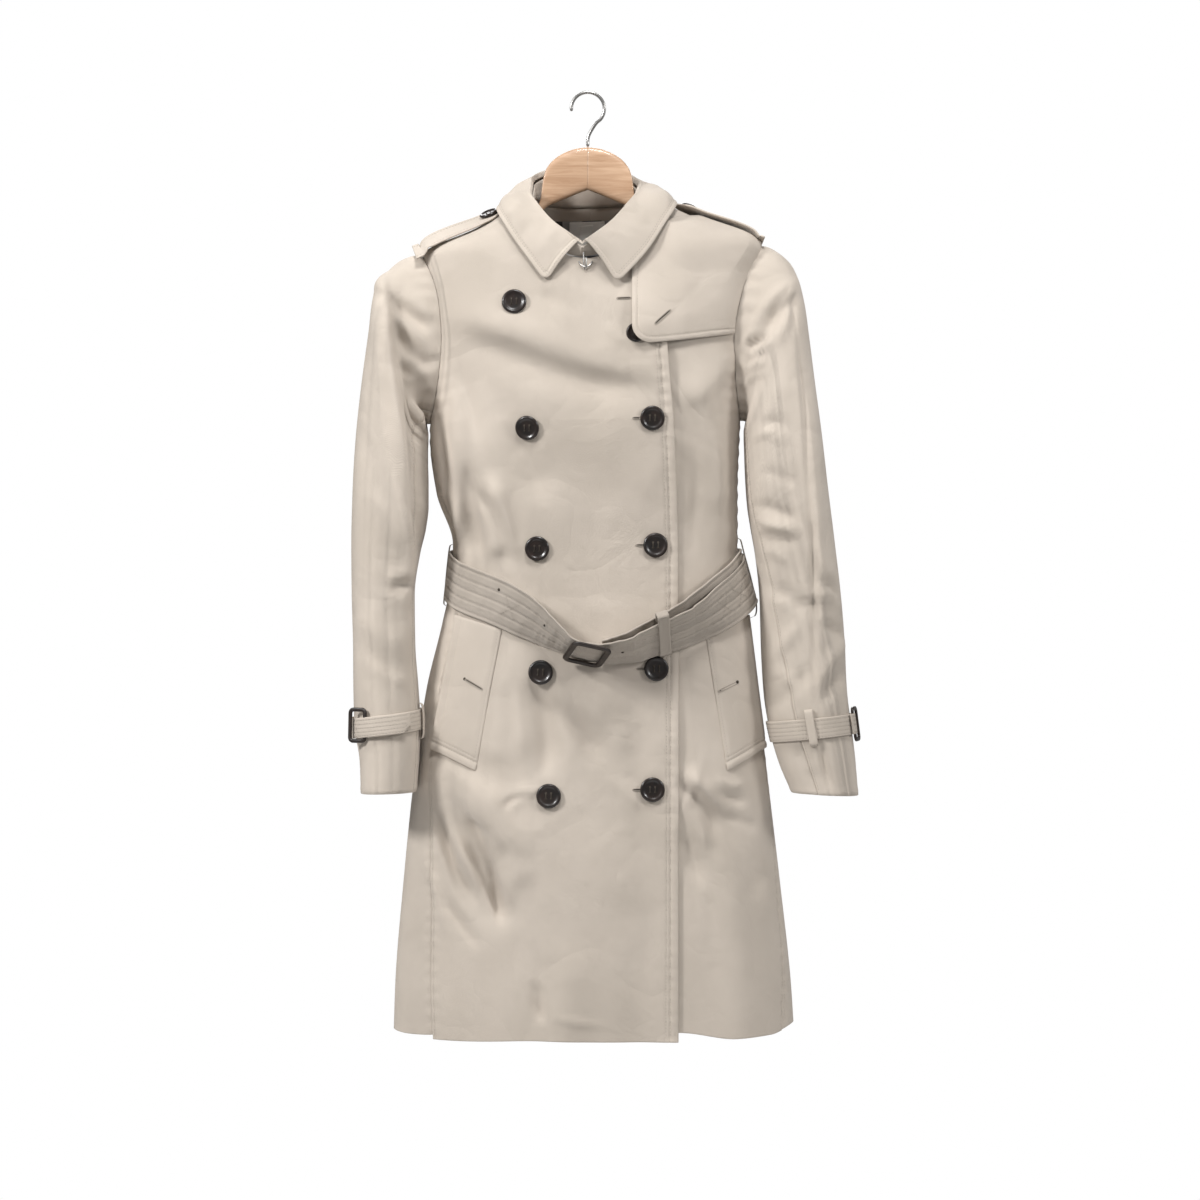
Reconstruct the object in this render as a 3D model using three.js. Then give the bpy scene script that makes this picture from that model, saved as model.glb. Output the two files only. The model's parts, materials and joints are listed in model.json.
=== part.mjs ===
// A double-breasted trench coat that hangs, belted and buttoned, on a wooden hanger.
// Units are millimetres, +Z is up, and the front of the coat faces -Y.
// The coat is drawn with z measured up from its hem. The exported group is then lowered,
// so that its origin is where the hanger's hook sits on a rail.

import * as THREE from "three";

// Driving dimensions
const HEM_TO_RAIL = 1078; // from the hem up to the underside of the rail
const CLOTH = 1.6; // shell cloth with its facing
const THIN_CLOTH = 1.2; // single cloth of loops, keepers and lining
const SEAM_GAP = 0.3; // between two pieces that are sewn together
const LAP_GAP = 0.6; // between the two fronts where they overlap
const LAP_SINK = 1.1; // how far the covered part of the under front is pressed in
const FULLNESS = 0.83; // power that squares the body's rings, 1 gives ellipses
const ARMPIT_Z = 700;
const SHOULDER_Z = 895;
const NECK_Z = 955;
const SHOULDER_FORWARD = 0.1; // how far the hanger brings the shoulders forward, a share of |x|
const SHOULDER_TILT = 0.03; // the coat's left shoulder hangs this share of x higher
const BUTTON_RADIUS = 14;
const HANGER_X = -2.5; // the hanger's middle, beside the coat's own
const BELT_WIDTH = 52;
const BELT_THICKNESS = 2.2;

const SHELL = { color: 0xd3c7b6, roughness: 0.85, metalness: 0 };
const SHELL_SHADE = { color: 0xc9bcaa, roughness: 0.85, metalness: 0 };
const LINING = { color: 0x5c5b60, roughness: 0.8, metalness: 0 };
const LABEL = { color: 0xeeeae4, roughness: 0.8, metalness: 0 };
const HORN = { color: 0x2a1d19, roughness: 0.3, metalness: 0 };
const LEATHER = { color: 0x2e1f1a, roughness: 0.45, metalness: 0 };
const WOOD = { color: 0xb98a5e, roughness: 0.55, metalness: 0 };
const STEEL = { color: 0xb9babd, roughness: 0.25, metalness: 1 };

// A table has named columns and one row for each section; its first column is the key.
function table(columns, rows) {
  return { columns, rows };
}

// The slope at each row, limited so that the curve between rows never overshoots them.
function limitedSlopes(keys, values) {
  const steps = values.slice(1).map((v, i) => (v - values[i]) / (keys[i + 1] - keys[i]));
  return values.map((_, i) => {
    if (i === 0) return steps[0];
    if (i === steps.length) return steps[steps.length - 1];
    const product = steps[i - 1] * steps[i];
    return product <= 0 ? 0 : (2 * product) / (steps[i - 1] + steps[i]);
  });
}

// One column of a table as a smooth function of its key.
function smoothColumn(data, name) {
  const column = data.columns.indexOf(name);
  const keys = data.rows.map((row) => row[0]);
  const values = data.rows.map((row) => row[column]);
  const slopes = limitedSlopes(keys, values);
  return (at) => {
    const key = Math.min(Math.max(at, keys[0]), keys[keys.length - 1]);
    let i = 0;
    while (i < keys.length - 2 && key > keys[i + 1]) i += 1;
    const span = keys[i + 1] - keys[i];
    const t = (key - keys[i]) / span;
    const square = t * t;
    const cube = square * t;
    return (
      (2 * cube - 3 * square + 1) * values[i] +
      (cube - 2 * square + t) * span * slopes[i] +
      (3 * square - 2 * cube) * values[i + 1] +
      (cube - square) * span * slopes[i + 1]
    );
  };
}

function smoothColumns(data) {
  const named = data.columns.slice(1).map((name) => [name, smoothColumn(data, name)]);
  return (at) => Object.fromEntries(named.map(([name, curve]) => [name, curve(at)]));
}

const radians = (degrees) => (degrees * Math.PI) / 180;
const mix = (a, b, t) => a + (b - a) * t;
const signedPower = (value, power) => Math.sign(value) * Math.abs(value) ** power;
const point = (x, y, z) => new THREE.Vector3(x, y, z);

function smoothStep(from, to, value) {
  const t = Math.min(Math.max((value - from) / (to - from), 0), 1);
  return t * t * (3 - 2 * t);
}

// Body: rings of half widths and half depths, up from the hem
const BODY = table(["z", "left", "right", "front", "back"], [
  [0, 224, 233, 88, 74],
  [60, 222, 229, 87, 74],
  [170, 213, 217, 84, 72],
  [280, 202, 204, 80, 70],
  [390, 187, 191, 75, 67],
  [470, 168, 180, 70, 63],
  [515, 159, 172, 66, 60],
  [560, 156, 168, 64, 58],
  [620, 175, 168, 68, 60],
  [680, 182, 170, 73, 62],
  [740, 181, 173, 76, 61],
  [800, 182, 177, 74, 56],
  [850, 186, 184, 66, 50],
  [895, 190, 190, 56, 44],
  [925, 127, 128, 50, 42],
  [955, 64, 66, 46, 40],
]);

// Drape folds: a ridge (height above 0) or trough from one point of the front view to another
const FRONT_FOLDS = table(["x0", "z0", "x1", "z1", "width", "height"], [
  [-150, 800, -60, 640, 26, -5],
  [-160, 730, -110, 560, 18, 4],
  [-140, 650, -130, 560, 13, -5],
  [-106, 640, -102, 560, 14, 4],
  [120, 760, 150, 620, 20, 4],
  [-100, 440, -110, 330, 22, 4],
  [-160, 270, -100, 150, 22, -6],
  [-130, 310, -80, 190, 18, 5],
  [130, 280, 190, 180, 22, -5],
  [-20, 110, -34, -20, 28, 5],
  [56, 120, 58, -20, 26, -4],
  [150, 230, 168, -20, 28, 5],
  [-196, 200, -208, -20, 22, -3],
]);
const BACK_FOLDS = table(["x0", "z0", "x1", "z1", "width", "height"], [
  [-110, 860, -76, 600, 28, 4],
  [100, 850, 68, 600, 28, 4],
  [-60, 420, -96, -20, 32, 6],
  [64, 430, 104, -20, 32, 6],
  [-150, 300, -172, -20, 26, -4],
  [150, 300, 170, -20, 26, -4],
]);

const bodySizes = smoothColumns(BODY);

// The height that the folds add at one point of the front or back view.
function foldHeight(folds, x, z) {
  return folds.rows.reduce((sum, [x0, z0, x1, z1, width, height]) => {
    const dx = x1 - x0;
    const dz = z1 - z0;
    const share = ((x - x0) * dx + (z - z0) * dz) / (dx * dx + dz * dz);
    const along = Math.min(Math.max(share, 0), 1);
    const away = Math.hypot(x - x0 - along * dx, z - z0 - along * dz) / width;
    const fade = smoothStep(-0.1, 0.35, share);
    return sum + height * fade * Math.exp(-away * away);
  }, 0);
}

// The belt presses the folds flat where it lies.
function freeOfBelt(x, z, isFront) {
  const beltZ = isFront ? mix(434, 522, smoothStep(0, 170, Math.abs(x))) : 530;
  return 1 - Math.exp(-(((z - beltZ) / 38) ** 2));
}

const shoulderShare = (z) => smoothStep(600, 850, z);

// A ring goes round by its angle: -90 degrees is the coat's side at -X, 0 the front, 180 the back.
function bodyPoint(angle, z) {
  const sizes = bodySizes(z);
  const s = Math.sin(angle);
  const c = Math.cos(angle);
  const x = (s < 0 ? sizes.left : sizes.right) * signedPower(s, FULLNESS);
  const depth = c > 0 ? sizes.front : sizes.back;
  const folds = foldHeight(c > 0 ? FRONT_FOLDS : BACK_FOLDS, x, z);
  const drape = folds * smoothStep(0, 0.5, Math.abs(c)) * freeOfBelt(x, z, c > 0);
  const share = shoulderShare(z);
  const inward = Math.sqrt(x * x + 900) - 30;
  const y = -depth * signedPower(c, FULLNESS) - Math.sign(c) * drape;
  return point(x, y - share * SHOULDER_FORWARD * inward, z + share * SHOULDER_TILT * x);
}

// The outward normal of any surface given as a function of two parameters.
function normalOf(surface, a, b, stepA, stepB) {
  const alongA = surface(a + stepA, b).sub(surface(a - stepA, b));
  const alongB = surface(a, b + stepB).sub(surface(a, b - stepB));
  return alongA.cross(alongB).normalize();
}

function onBody(angle, z, out) {
  const normal = normalOf(bodyPoint, angle, z, 0.01, 1.5);
  return bodyPoint(angle, z).addScaledVector(normal, out);
}

// The ring angle of the front point at a given x.
function angleAt(x, z) {
  const sizes = bodySizes(z);
  const share = Math.min(Math.abs(x) / (x < 0 ? sizes.left : sizes.right), 1);
  return Math.sign(x) * Math.asin(share ** (1 / FULLNESS));
}

// The ring angle next to the side of the coat, a small depth in front of it.
function angleBesideSide(side, z, depth) {
  const sizes = bodySizes(z);
  const share = Math.abs(depth) / (depth > 0 ? sizes.front : sizes.back);
  const turn = Math.acos(share ** (1 / FULLNESS));
  return side * (depth > 0 ? turn : Math.PI - turn);
}

// Walls: a grid of outer points and the same grid inside it, closed round the edges
function wallGeometry(outer, inner, isTube = false) {
  const rows = outer.length;
  const columns = outer[0].length;
  const positions = [...outer.flat(), ...inner.flat()].flatMap((p) => [p.x, p.y, p.z]);
  const index = [];
  const at = (layer, row, column) => layer * rows * columns + row * columns + (column % columns);
  const quad = (a, b, c, d) => index.push(a, b, c, a, c, d);
  const spans = isTube ? columns : columns - 1;
  for (let row = 0; row < rows - 1; row += 1) {
    for (let column = 0; column < spans; column += 1) {
      quad(at(0, row, column), at(0, row, column + 1), at(0, row + 1, column + 1), at(0, row + 1, column));
      quad(at(1, row, column), at(1, row + 1, column), at(1, row + 1, column + 1), at(1, row, column + 1));
    }
  }
  for (let column = 0; column < spans; column += 1) {
    const last = rows - 1;
    quad(at(0, 0, column), at(1, 0, column), at(1, 0, column + 1), at(0, 0, column + 1));
    quad(at(0, last, column), at(0, last, column + 1), at(1, last, column + 1), at(1, last, column));
  }
  if (!isTube) {
    const last = columns - 1;
    for (let row = 0; row < rows - 1; row += 1) {
      quad(at(0, row, 0), at(0, row + 1, 0), at(1, row + 1, 0), at(1, row, 0));
      quad(at(0, row, last), at(1, row, last), at(1, row + 1, last), at(0, row + 1, last));
    }
  }
  const geometry = new THREE.BufferGeometry();
  geometry.setAttribute("position", new THREE.Float32BufferAttribute(positions, 3));
  geometry.setIndex(facingOut(positions, index));
  return geometry;
}

// Six times the volume that the faces enclose tells whether they point out.
function facingOut(positions, index) {
  const corner = (i) => new THREE.Vector3().fromArray(positions, index[i] * 3);
  let volume = 0;
  for (let i = 0; i < index.length; i += 3) {
    volume += corner(i).dot(corner(i + 1).cross(corner(i + 2)));
  }
  if (volume > 0) return index;
  return index.map((_, i) => index[i - (i % 3) + (2 - (i % 3))]);
}

// A wall on a surface, from a grid of its two parameters and how far out it lies at each.
function wallOn(surface, grid, thickness, lift = () => 0) {
  const layer = (extra) => grid.map((row) => row.map(([a, b]) => surface(a, b, lift(a, b) + extra)));
  return wallGeometry(layer(thickness), layer(0));
}

const steps = (count) => Array.from({ length: count + 1 }, (_, i) => i / count);

// The edge of a panel as straight or curved runs of [angle, z], each with its own point count.
function joinRuns(...runs) {
  return runs.flatMap((run, i) => (i ? run.slice(1) : run));
}

// A grid between four edges: each inner point is blended from the edges across from it.
function gridBetween(bottom, top, left, right, heights = steps(left.length - 1)) {
  return left.map((leftPoint, row) => {
    const v = heights[row];
    return bottom.map((bottomPoint, column) => {
      const u = column / (bottom.length - 1);
      return [0, 1].map((k) => {
        const across = mix(leftPoint[k], right[row][k], u);
        const up = mix(bottomPoint[k], top[column][k], v);
        const low = mix(bottom[0][k], bottom[bottom.length - 1][k], u);
        const high = mix(top[0][k], top[top.length - 1][k], u);
        return across + up - mix(low, high, v);
      });
    });
  });
}

// Armholes: an upright oval cut into the rings at each side
const ARMHOLE = { front: 36, back: 34 };

const BACK_ARMPIT = -Math.PI + 1e-9;

// Turn 0 is the shoulder, 180 the armpit. A shoulder seam or side seam starts half a gap away.
function armholeEdge(side, turn) {
  const z = mix(ARMPIT_Z, SHOULDER_Z, (1 + Math.cos(turn)) / 2);
  const isFront = Math.sin(turn) >= 0;
  const reach = isFront ? ARMHOLE.front : -ARMHOLE.back;
  const rounded = reach * Math.abs(Math.sin(turn)) ** 0.9;
  const depth = Math.max(Math.abs(rounded), SEAM_GAP / 2) * (isFront ? 1 : -1);
  return [angleBesideSide(side, z, depth), z];
}

const SIDE_SEAMS = table(["z", "left", "right"], [
  [0, 49, 67],
  [150, 53, 77],
  [330, 63, 84],
  [450, 62, 86],
  [550, 73, 86],
  [620, 75, 87],
  [660, 82, 88],
  [700, 89.9, 89.9],
]);
const sideSeam = smoothColumns(SIDE_SEAMS);
const seamAngle = (side, z) => side * radians(side < 0 ? sideSeam(z).left : sideSeam(z).right);

// The angle that leaves half of a seam's gap along the ring.
function halfGap(angle, z) {
  const ahead = bodyPoint(angle + 0.004, z).distanceTo(bodyPoint(angle - 0.004, z));
  return (SEAM_GAP / 2) * (0.008 / ahead);
}

// The ring angle of the centre back seam's edge on one half.
function centreBack(side, z) {
  const sizes = bodySizes(z);
  const half = (SEAM_GAP / 2 / (side < 0 ? sizes.left : sizes.right)) ** (1 / FULLNESS);
  return side * (Math.PI - Math.asin(half));
}

const FRONT_EDGE = table(["z", "x"], [
  [0, 99],
  [520, 99],
  [690, 94],
  [750, 89],
  [872, 80],
]);
const frontEdge = smoothColumn(FRONT_EDGE, "x");
const UNDER_EDGE_X = -88;
const THROAT = { x: -9, z: 883, overTop: 870 };

// The neckline of one front, from the shoulder's neck point down to the throat.
function neckRun(side, count) {
  const sizes = bodySizes(NECK_Z);
  const halfWidth = side < 0 ? sizes.left : sizes.right;
  return steps(count).map((t) => {
    const turn = radians(90) * t ** 1.35;
    const x = mix(side * halfWidth, THROAT.x, 1 - Math.cos(turn));
    const z = mix(NECK_Z, THROAT.z, Math.sin(turn));
    const beside = angleBesideSide(side, z, SEAM_GAP / 2);
    const angle = angleAt(x, z);
    return [side * Math.min(Math.abs(angle), Math.abs(beside)) * (Math.sign(angle) * side || 1), z];
  });
}

// The back neckline of one half, from the neck point to the centre back.
function backNeckRun(side, count) {
  const sizes = bodySizes(NECK_Z);
  const halfWidth = side < 0 ? sizes.left : sizes.right;
  return steps(count).map((t) => {
    const turn = radians(90) * t;
    const z = NECK_Z - 5 * Math.sin(turn);
    const share = (halfWidth * Math.cos(turn)) / (side < 0 ? bodySizes(z).left : bodySizes(z).right);
    const angle = Math.PI - Math.asin(Math.min(share, 1) ** (1 / FULLNESS));
    const beside = Math.abs(angleBesideSide(side, z, -SEAM_GAP / 2));
    return [side * Math.min(Math.max(angle, beside), Math.abs(centreBack(side, z))), z];
  });
}

function shoulderRun(side, depth, count) {
  return steps(count).map((t) => {
    const z = mix(SHOULDER_Z, NECK_Z, t);
    return [angleBesideSide(side, z, depth), z];
  });
}

const BODY_ROWS = 22;
const CHEST_ROWS = 9;

// How far the hem lies above its lowest line, by x
const HEM = table(["x", "over", "under", "back"], [
  [-226, 5, 5, 5],
  [-205, 0.5, 0.5, 3],
  [-140, -1.5, 4, 6],
  [-60, 0.5, 7, 4],
  [20, -1, 9, 7],
  [99, -1.5, 9, 4],
  [165, 1, 1, 6],
  [205, 3, 3, 5],
  [233, 13, 13, 13],
]);
const hemRise = smoothColumns(HEM);

// One front: the skirt's rows lie level, the rows above the armpit bend to the neckline.
function frontGrid(side, edgeX, topRun, counts) {
  const columns = counts.shoulder + counts.neck + counts.lapel;
  const level = (z) => {
    const seam = seamAngle(side, z);
    const from = z < ARMPIT_Z ? seam - side * halfGap(seam, z) : armholeEdge(side, Math.PI)[0];
    const to = angleAt(edgeX(z), z);
    return steps(columns).map((t) => [mix(from, to, t), z]);
  };
  const skirt = steps(BODY_ROWS).map((t) => level(ARMPIT_Z * t));
  const armhole = steps(CHEST_ROWS).map((t) => armholeEdge(side, Math.PI * (1 - t)));
  const topEdgeZ = topRun[topRun.length - 1][1];
  const edge = steps(CHEST_ROWS).map((t) => {
    const z = mix(ARMPIT_Z, topEdgeZ, t);
    return [angleAt(edgeX(z), z), z];
  });
  const top = joinRuns(
    shoulderRun(side, SEAM_GAP / 2, counts.shoulder),
    neckRun(side, counts.neck),
    topRun,
  );
  const chest = gridBetween(skirt[BODY_ROWS], top, armhole, edge);
  return [...skirt, ...chest.slice(1)];
}

// The hem rises and falls a few millimetres round the coat.
function withHem(grid, name) {
  return grid.map((row) =>
    row.map(([angle, z]) => [angle, z + (1 - smoothStep(0, 120, z)) * hemRise(bodyPoint(angle, 0).x)[name]]),
  );
}

const lapelRun = (toX, count) =>
  steps(count).map((t) => {
    const z = mix(THROAT.z, THROAT.overTop, t);
    return [angleAt(mix(THROAT.x, toX, t), z), z];
  });

// The over front rides on the under front past the side of the overlap.
const LAP_OUT = CLOTH + LAP_GAP;
const overLift = (angle, z) => LAP_OUT * smoothStep(-140, -96, bodyPoint(angle, z).x);
const underLift = (angle, z) => -LAP_SINK * smoothStep(96, 66, bodyPoint(angle, z).x);

// How far out the outermost face of the two fronts or the back lies.
function faceOut(angle, z) {
  const { x } = bodyPoint(angle, z);
  const onFront = smoothStep(-0.15, 0.1, Math.cos(angle));
  return CLOTH + LAP_OUT * onFront * smoothStep(-140, -96, x) * smoothStep(116, 102, x);
}

const overCounts = { shoulder: 4, neck: 7, lapel: 7 };
const underCounts = { shoulder: 5, neck: 6, lapel: 4 };

function overFront() {
  const grid = frontGrid(-1, frontEdge, lapelRun(frontEdge(THROAT.overTop), overCounts.lapel), overCounts);
  return wallOn(onBody, withHem(grid, "over"), CLOTH, overLift);
}

function underFront() {
  const grid = frontGrid(1, () => UNDER_EDGE_X, lapelRun(UNDER_EDGE_X, underCounts.lapel), underCounts);
  return wallOn(onBody, withHem(grid, "under"), CLOTH, underLift);
}

// One half of the back, from the centre back seam round the side to the side seam.
function backHalf(side) {
  const counts = { shoulder: 4, neck: 5 };
  const columns = counts.shoulder + counts.neck;
  const level = (z) => {
    const seam = seamAngle(side, z);
    const from = z < ARMPIT_Z ? seam + side * halfGap(seam, z) : armholeEdge(side, BACK_ARMPIT)[0];
    const to = centreBack(side, z);
    return steps(columns).map((t) => [mix(from, to, t), z]);
  };
  const skirt = steps(BODY_ROWS).map((t) => level(ARMPIT_Z * t));
  const armhole = steps(CHEST_ROWS).map((t) => armholeEdge(side, mix(BACK_ARMPIT, -1e-9, t)));
  const top = joinRuns(shoulderRun(side, -SEAM_GAP / 2, counts.shoulder), backNeckRun(side, counts.neck));
  const centreTop = top[top.length - 1][1];
  const centre = steps(CHEST_ROWS).map((t) => {
    const z = mix(ARMPIT_Z, centreTop, t);
    return [centreBack(side, z), z];
  });
  const chest = gridBetween(skirt[BODY_ROWS], top, armhole, centre);
  return wallOn(onBody, withHem([...skirt, ...chest.slice(1)], "back"), CLOTH);
}

// Sleeves: rings that fan out from the armhole and then hang; outer and inner points of each
const SLEEVES = {
  left: table(["ring", "outerX", "outerZ", "innerX", "innerZ", "front", "back", "forward"], [
    [0, -192, 893, -182, 700, 36, 34, -18],
    [1, -203, 891, -184, 696, 41, 38, -18],
    [2, -218, 884, -184.5, 691, 45, 42, -18],
    [3, -231, 872, -185, 685, 49, 46, -17],
    [4, -242, 853, -185, 677, 52, 49, -17],
    [5, -249, 828, -185.5, 667, 54, 51, -16],
    [6, -254.5, 794, -185.5, 652, 56, 52, -15],
    [7, -262, 740, -185, 630, 56, 52, -14],
    [8, -268.5, 680, -185, 604, 55, 51, -13],
    [9, -272, 620, -188, 578, 53, 50, -12],
    [10, -273.5, 562, -195, 548, 51, 49, -11],
    [11, -273, 505, -201, 502, 50, 48, -12],
    [12, -271, 445, -200, 446, 49, 46, -18],
    [13, -270, 395, -196, 397, 48, 43, -26],
    [14, -268, 350, -193, 353, 47, 40, -35],
    [15, -262, 315, -194, 318, 46, 38, -41],
    [16, -260, 277, -197, 279, 46, 37, -46],
  ]),
  right: table(["ring", "outerX", "outerZ", "innerX", "innerZ", "front", "back", "forward"], [
    [0, 192, 902, 173, 705, 36, 34, -18],
    [1, 203, 900, 175, 700, 41, 38, -18],
    [2, 217, 892, 176, 695, 45, 42, -18],
    [3, 230, 880, 176, 689, 49, 46, -17],
    [4, 239, 861, 176, 680, 52, 49, -17],
    [5, 246, 833, 176.5, 668, 54, 51, -16],
    [6, 251, 797, 177, 652, 56, 52, -15],
    [7, 258, 742, 178, 630, 56, 52, -14],
    [8, 266, 682, 180, 604, 55, 51, -13],
    [9, 273, 622, 184, 578, 54, 51, -12],
    [10, 280.5, 562, 189.5, 546, 53, 50, -11],
    [11, 287.5, 502, 194.5, 496, 52, 49, -11],
    [12, 292, 445, 196, 440, 51, 48, -13],
    [13, 294, 395, 199, 388, 50, 47, -17],
    [14, 299, 350, 207, 341, 48, 46, -22],
    [15, 303, 315, 217, 307, 46, 45, -26],
    [16, 306, 274, 230, 277, 45, 44, -29],
  ]),
};
const SLEEVE_RINGS = 16;
const SLEEVE_FULLNESS = 0.9;

// The pinched ridge that falls from the hanger's end, and the seams, as angles round the ring
const SLEEVE_LINES = {
  left: table(["ring", "ridge", "height", "frontSeam", "backSeam"], [
    [0, 60, 0, 150, 140],
    [3, 62, 1, 150, 140],
    [5, 66, 7, 150, 138],
    [8, 96, 9, 152, 135],
    [11, 140, 5, 156, 130],
    [13, 142, 1, 156, 128],
    [16, 142, 0, 156, 126],
  ]),
  right: table(["ring", "ridge", "height", "frontSeam", "backSeam"], [
    [0, 52, 0, 158, 140],
    [3, 52, 1, 158, 140],
    [5, 50, 6, 158, 138],
    [8, 58, 8, 156, 135],
    [11, 68, 6, 134, 130],
    [13, 78, 3, 112, 128],
    [16, 84, 0, 104, 126],
  ]),
};
const RIDGE_SPREAD = radians(46);

const sleeveSides = Object.fromEntries(
  Object.keys(SLEEVES).map((name) => [
    name,
    { side: name === "left" ? -1 : 1, sizes: smoothColumns(SLEEVES[name]), lines: smoothColumns(SLEEVE_LINES[name]) },
  ]),
);

// A ring goes round by its turn: 0 is its outer line, 90 degrees the front, 180 the inner line.
function sleevePoint(name, turn, ring) {
  const { side, sizes, lines } = sleeveSides[name];
  const r = sizes(ring);
  const l = lines(ring);
  const outer = point(r.outerX, r.forward, r.outerZ);
  const inner = point(r.innerX, r.forward, r.innerZ);
  const reach = outer.clone().sub(inner).multiplyScalar(0.5);
  const centre = outer.add(inner).multiplyScalar(0.5);
  const s = Math.sin(turn);
  const c = Math.cos(turn);
  const nearRidge = Math.max(0, 1 - Math.abs(turn - radians(l.ridge)) / RIDGE_SPREAD);
  const fuller = 1 + (l.height * nearRidge * nearRidge) / reach.length();
  const hung = centre
    .addScaledVector(reach, fuller * signedPower(c, SLEEVE_FULLNESS))
    .add(point(0, -fuller * (s > 0 ? r.front : r.back) * signedPower(s, SLEEVE_FULLNESS), 0));
  const sewn = onBody(...armholeEdge(side, turn), CLOTH);
  sewn.x += side * (0.9 + Math.max(0, ring) * 7);
  return sewn.lerp(hung, smoothStep(-0.4, 3, ring));
}

function onSleeve(name) {
  const surface = (turn, ring) => sleevePoint(name, turn, ring);
  const outwards = sleeveSides[name].side;
  return (turn, ring, out) => {
    const near = Math.min(Math.max(ring, 0.12), SLEEVE_RINGS - 0.12);
    const normal = normalOf(surface, turn, near, 0.03, 0.1).multiplyScalar(outwards);
    return surface(turn, ring).addScaledVector(normal, out);
  };
}

const SLEEVE_STEPS = 20;
const seamTurn = radians(0.35);

// The ring numbers of the grid's rows: closer together round the sleeve head.
const sleeveRows = steps(SLEEVE_STEPS).map((t) => SLEEVE_RINGS * t ** 1.15);

function topSleeve(name) {
  const grid = sleeveRows.map((ring) => {
    const l = sleeveSides[name].lines(ring);
    const from = -radians(l.backSeam) + seamTurn;
    const ridge = radians(l.ridge);
    const to = radians(l.frontSeam) - seamTurn;
    const back = steps(9).map((t) => mix(from, ridge, t));
    const front = steps(4).map((t) => mix(ridge, to, t));
    return joinRuns(back, front).map((turn) => [turn, ring]);
  });
  return wallOn(onSleeve(name), grid, CLOTH, () => -CLOTH);
}

function underSleeve(name) {
  const grid = sleeveRows.map((ring) => {
    const l = sleeveSides[name].lines(ring);
    const from = radians(l.frontSeam) + seamTurn;
    const to = 2 * Math.PI - radians(l.backSeam) - seamTurn;
    return steps(6).map((t) => [mix(from, to, t), ring]);
  });
  return wallOn(onSleeve(name), grid, CLOTH, () => -CLOTH);
}

// Collar: the stand rises from the neckline to the roll, the fall turns over it
// The rows run from the front end at -X, round the back (0.5), to the front end at +X.
const COLLAR = table(
  ["share", "rollX", "rollY", "rollZ", "edgeX", "edgeZ", "onBack", "off", "bulge"],
  [
    [0, -11, -72, 903, -50, 855, 0, 8, 2],
    [0.06, -25, -68, 913, -60, 869, 0, 8, 5],
    [0.13, -42, -60, 926, -74, 889, 0, 8, 7],
    [0.22, -60, -44, 948, -93, 917, 0, 9, 8],
    [0.3, -69, -24, 965, -102, 936, 0, 12, 9],
    [0.38, -68, 2, 981, -97, 944, 1, 9, 9],
    [0.44, -50, 25, 994, -66, 944, 1, 7, 6],
    [0.5, -9, 38, 1000, -9, 944, 1, 7, 5],
    [0.56, 36, 29, 993, 52, 944, 1, 7, 6],
    [0.62, 57, 10, 978, 86, 946, 1, 8, 8],
    [0.7, 55, -24, 966, 96, 938, 0, 10, 9],
    [0.78, 43, -46, 948, 86, 919, 0, 11, 8],
    [0.87, 24, -60, 926, 64, 885, 0, 14, 7],
    [0.94, 8, -68, 913, 46, 865, 0, 14, 5],
    [1, -6, -72, 903, 31, 851, 0, 10, 2],
  ],
);
const collarAt = smoothColumns(COLLAR);

// The point of the neckline under a share of the collar's length.
function neckline(share) {
  const side = share <= 0.5 ? -1 : 1;
  const fromFront = share <= 0.5 ? share : 1 - share;
  const runs = fromFront < 0.3 ? neckRun(side, 24) : backNeckRun(side, 24);
  const t = fromFront < 0.3 ? 1 - fromFront / 0.3 : (fromFront - 0.3) / 0.2;
  const spot = Math.min(t, 0.9999) * 24;
  const low = Math.floor(spot);
  return [0, 1].map((k) => mix(runs[low][k], runs[low + 1][k], spot - low));
}

// The section of the collar at a share of its length, as named points.
function collarSection(share) {
  const row = collarAt(share);
  const roll = point(row.rollX, row.rollY, row.rollZ);
  const [baseAngle, baseZ] = neckline(share);
  const lap = share < 0.3 || share > 0.7 ? LAP_OUT * 0.5 : 0;
  const base = onBody(baseAngle, baseZ, CLOTH / 2 + lap);
  base.z += 2;
  const onFront = angleAt(row.edgeX, row.edgeZ);
  const back = Math.sign(row.edgeX) * Math.PI - onFront;
  const edge = onBody(onFront, row.edgeZ, row.off).lerp(onBody(back, row.edgeZ, row.off), row.onBack);
  const away = edge.clone().sub(roll).normalize();
  const out = point(away.x, away.y, 0).normalize();
  base.addScaledVector(out, -1.8);
  const standTop = roll.clone().addScaledVector(out, -3.4).add(point(0, 0, -8.8));
  return { roll, base, edge, out, standTop, bulge: row.bulge };
}

function collarProfile(share) {
  const { roll, edge, out, standTop, bulge } = collarSection(share);
  const inside = roll.clone().addScaledVector(out, -2.6).add(point(0, 0, -2.6));
  const over = roll.clone().addScaledVector(out, 3.2).add(point(0, 0, -1.6));
  const middle = over.clone().lerp(edge, 0.5).addScaledVector(out, bulge * 0.7).add(point(0, 0, bulge * 0.7));
  const start = standTop.clone().add(point(0, 0, 3.6));
  return new THREE.CatmullRomCurve3([start, inside, roll, over, middle, edge], false, "centripetal");
}

const FALL_STEPS = [0, 0.09, 0.16, 0.23, 0.31, 0.5, 0.74, 1];

function gridNormals(points) {
  const rows = points.length;
  const columns = points[0].length;
  return points.map((line, i) =>
    line.map((_, j) => {
      const down = points[Math.min(i + 1, rows - 1)][j].clone().sub(points[Math.max(i - 1, 0)][j]);
      const across = line[Math.min(j + 1, columns - 1)].clone().sub(line[Math.max(j - 1, 0)]);
      return down.cross(across).normalize();
    }),
  );
}

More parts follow.
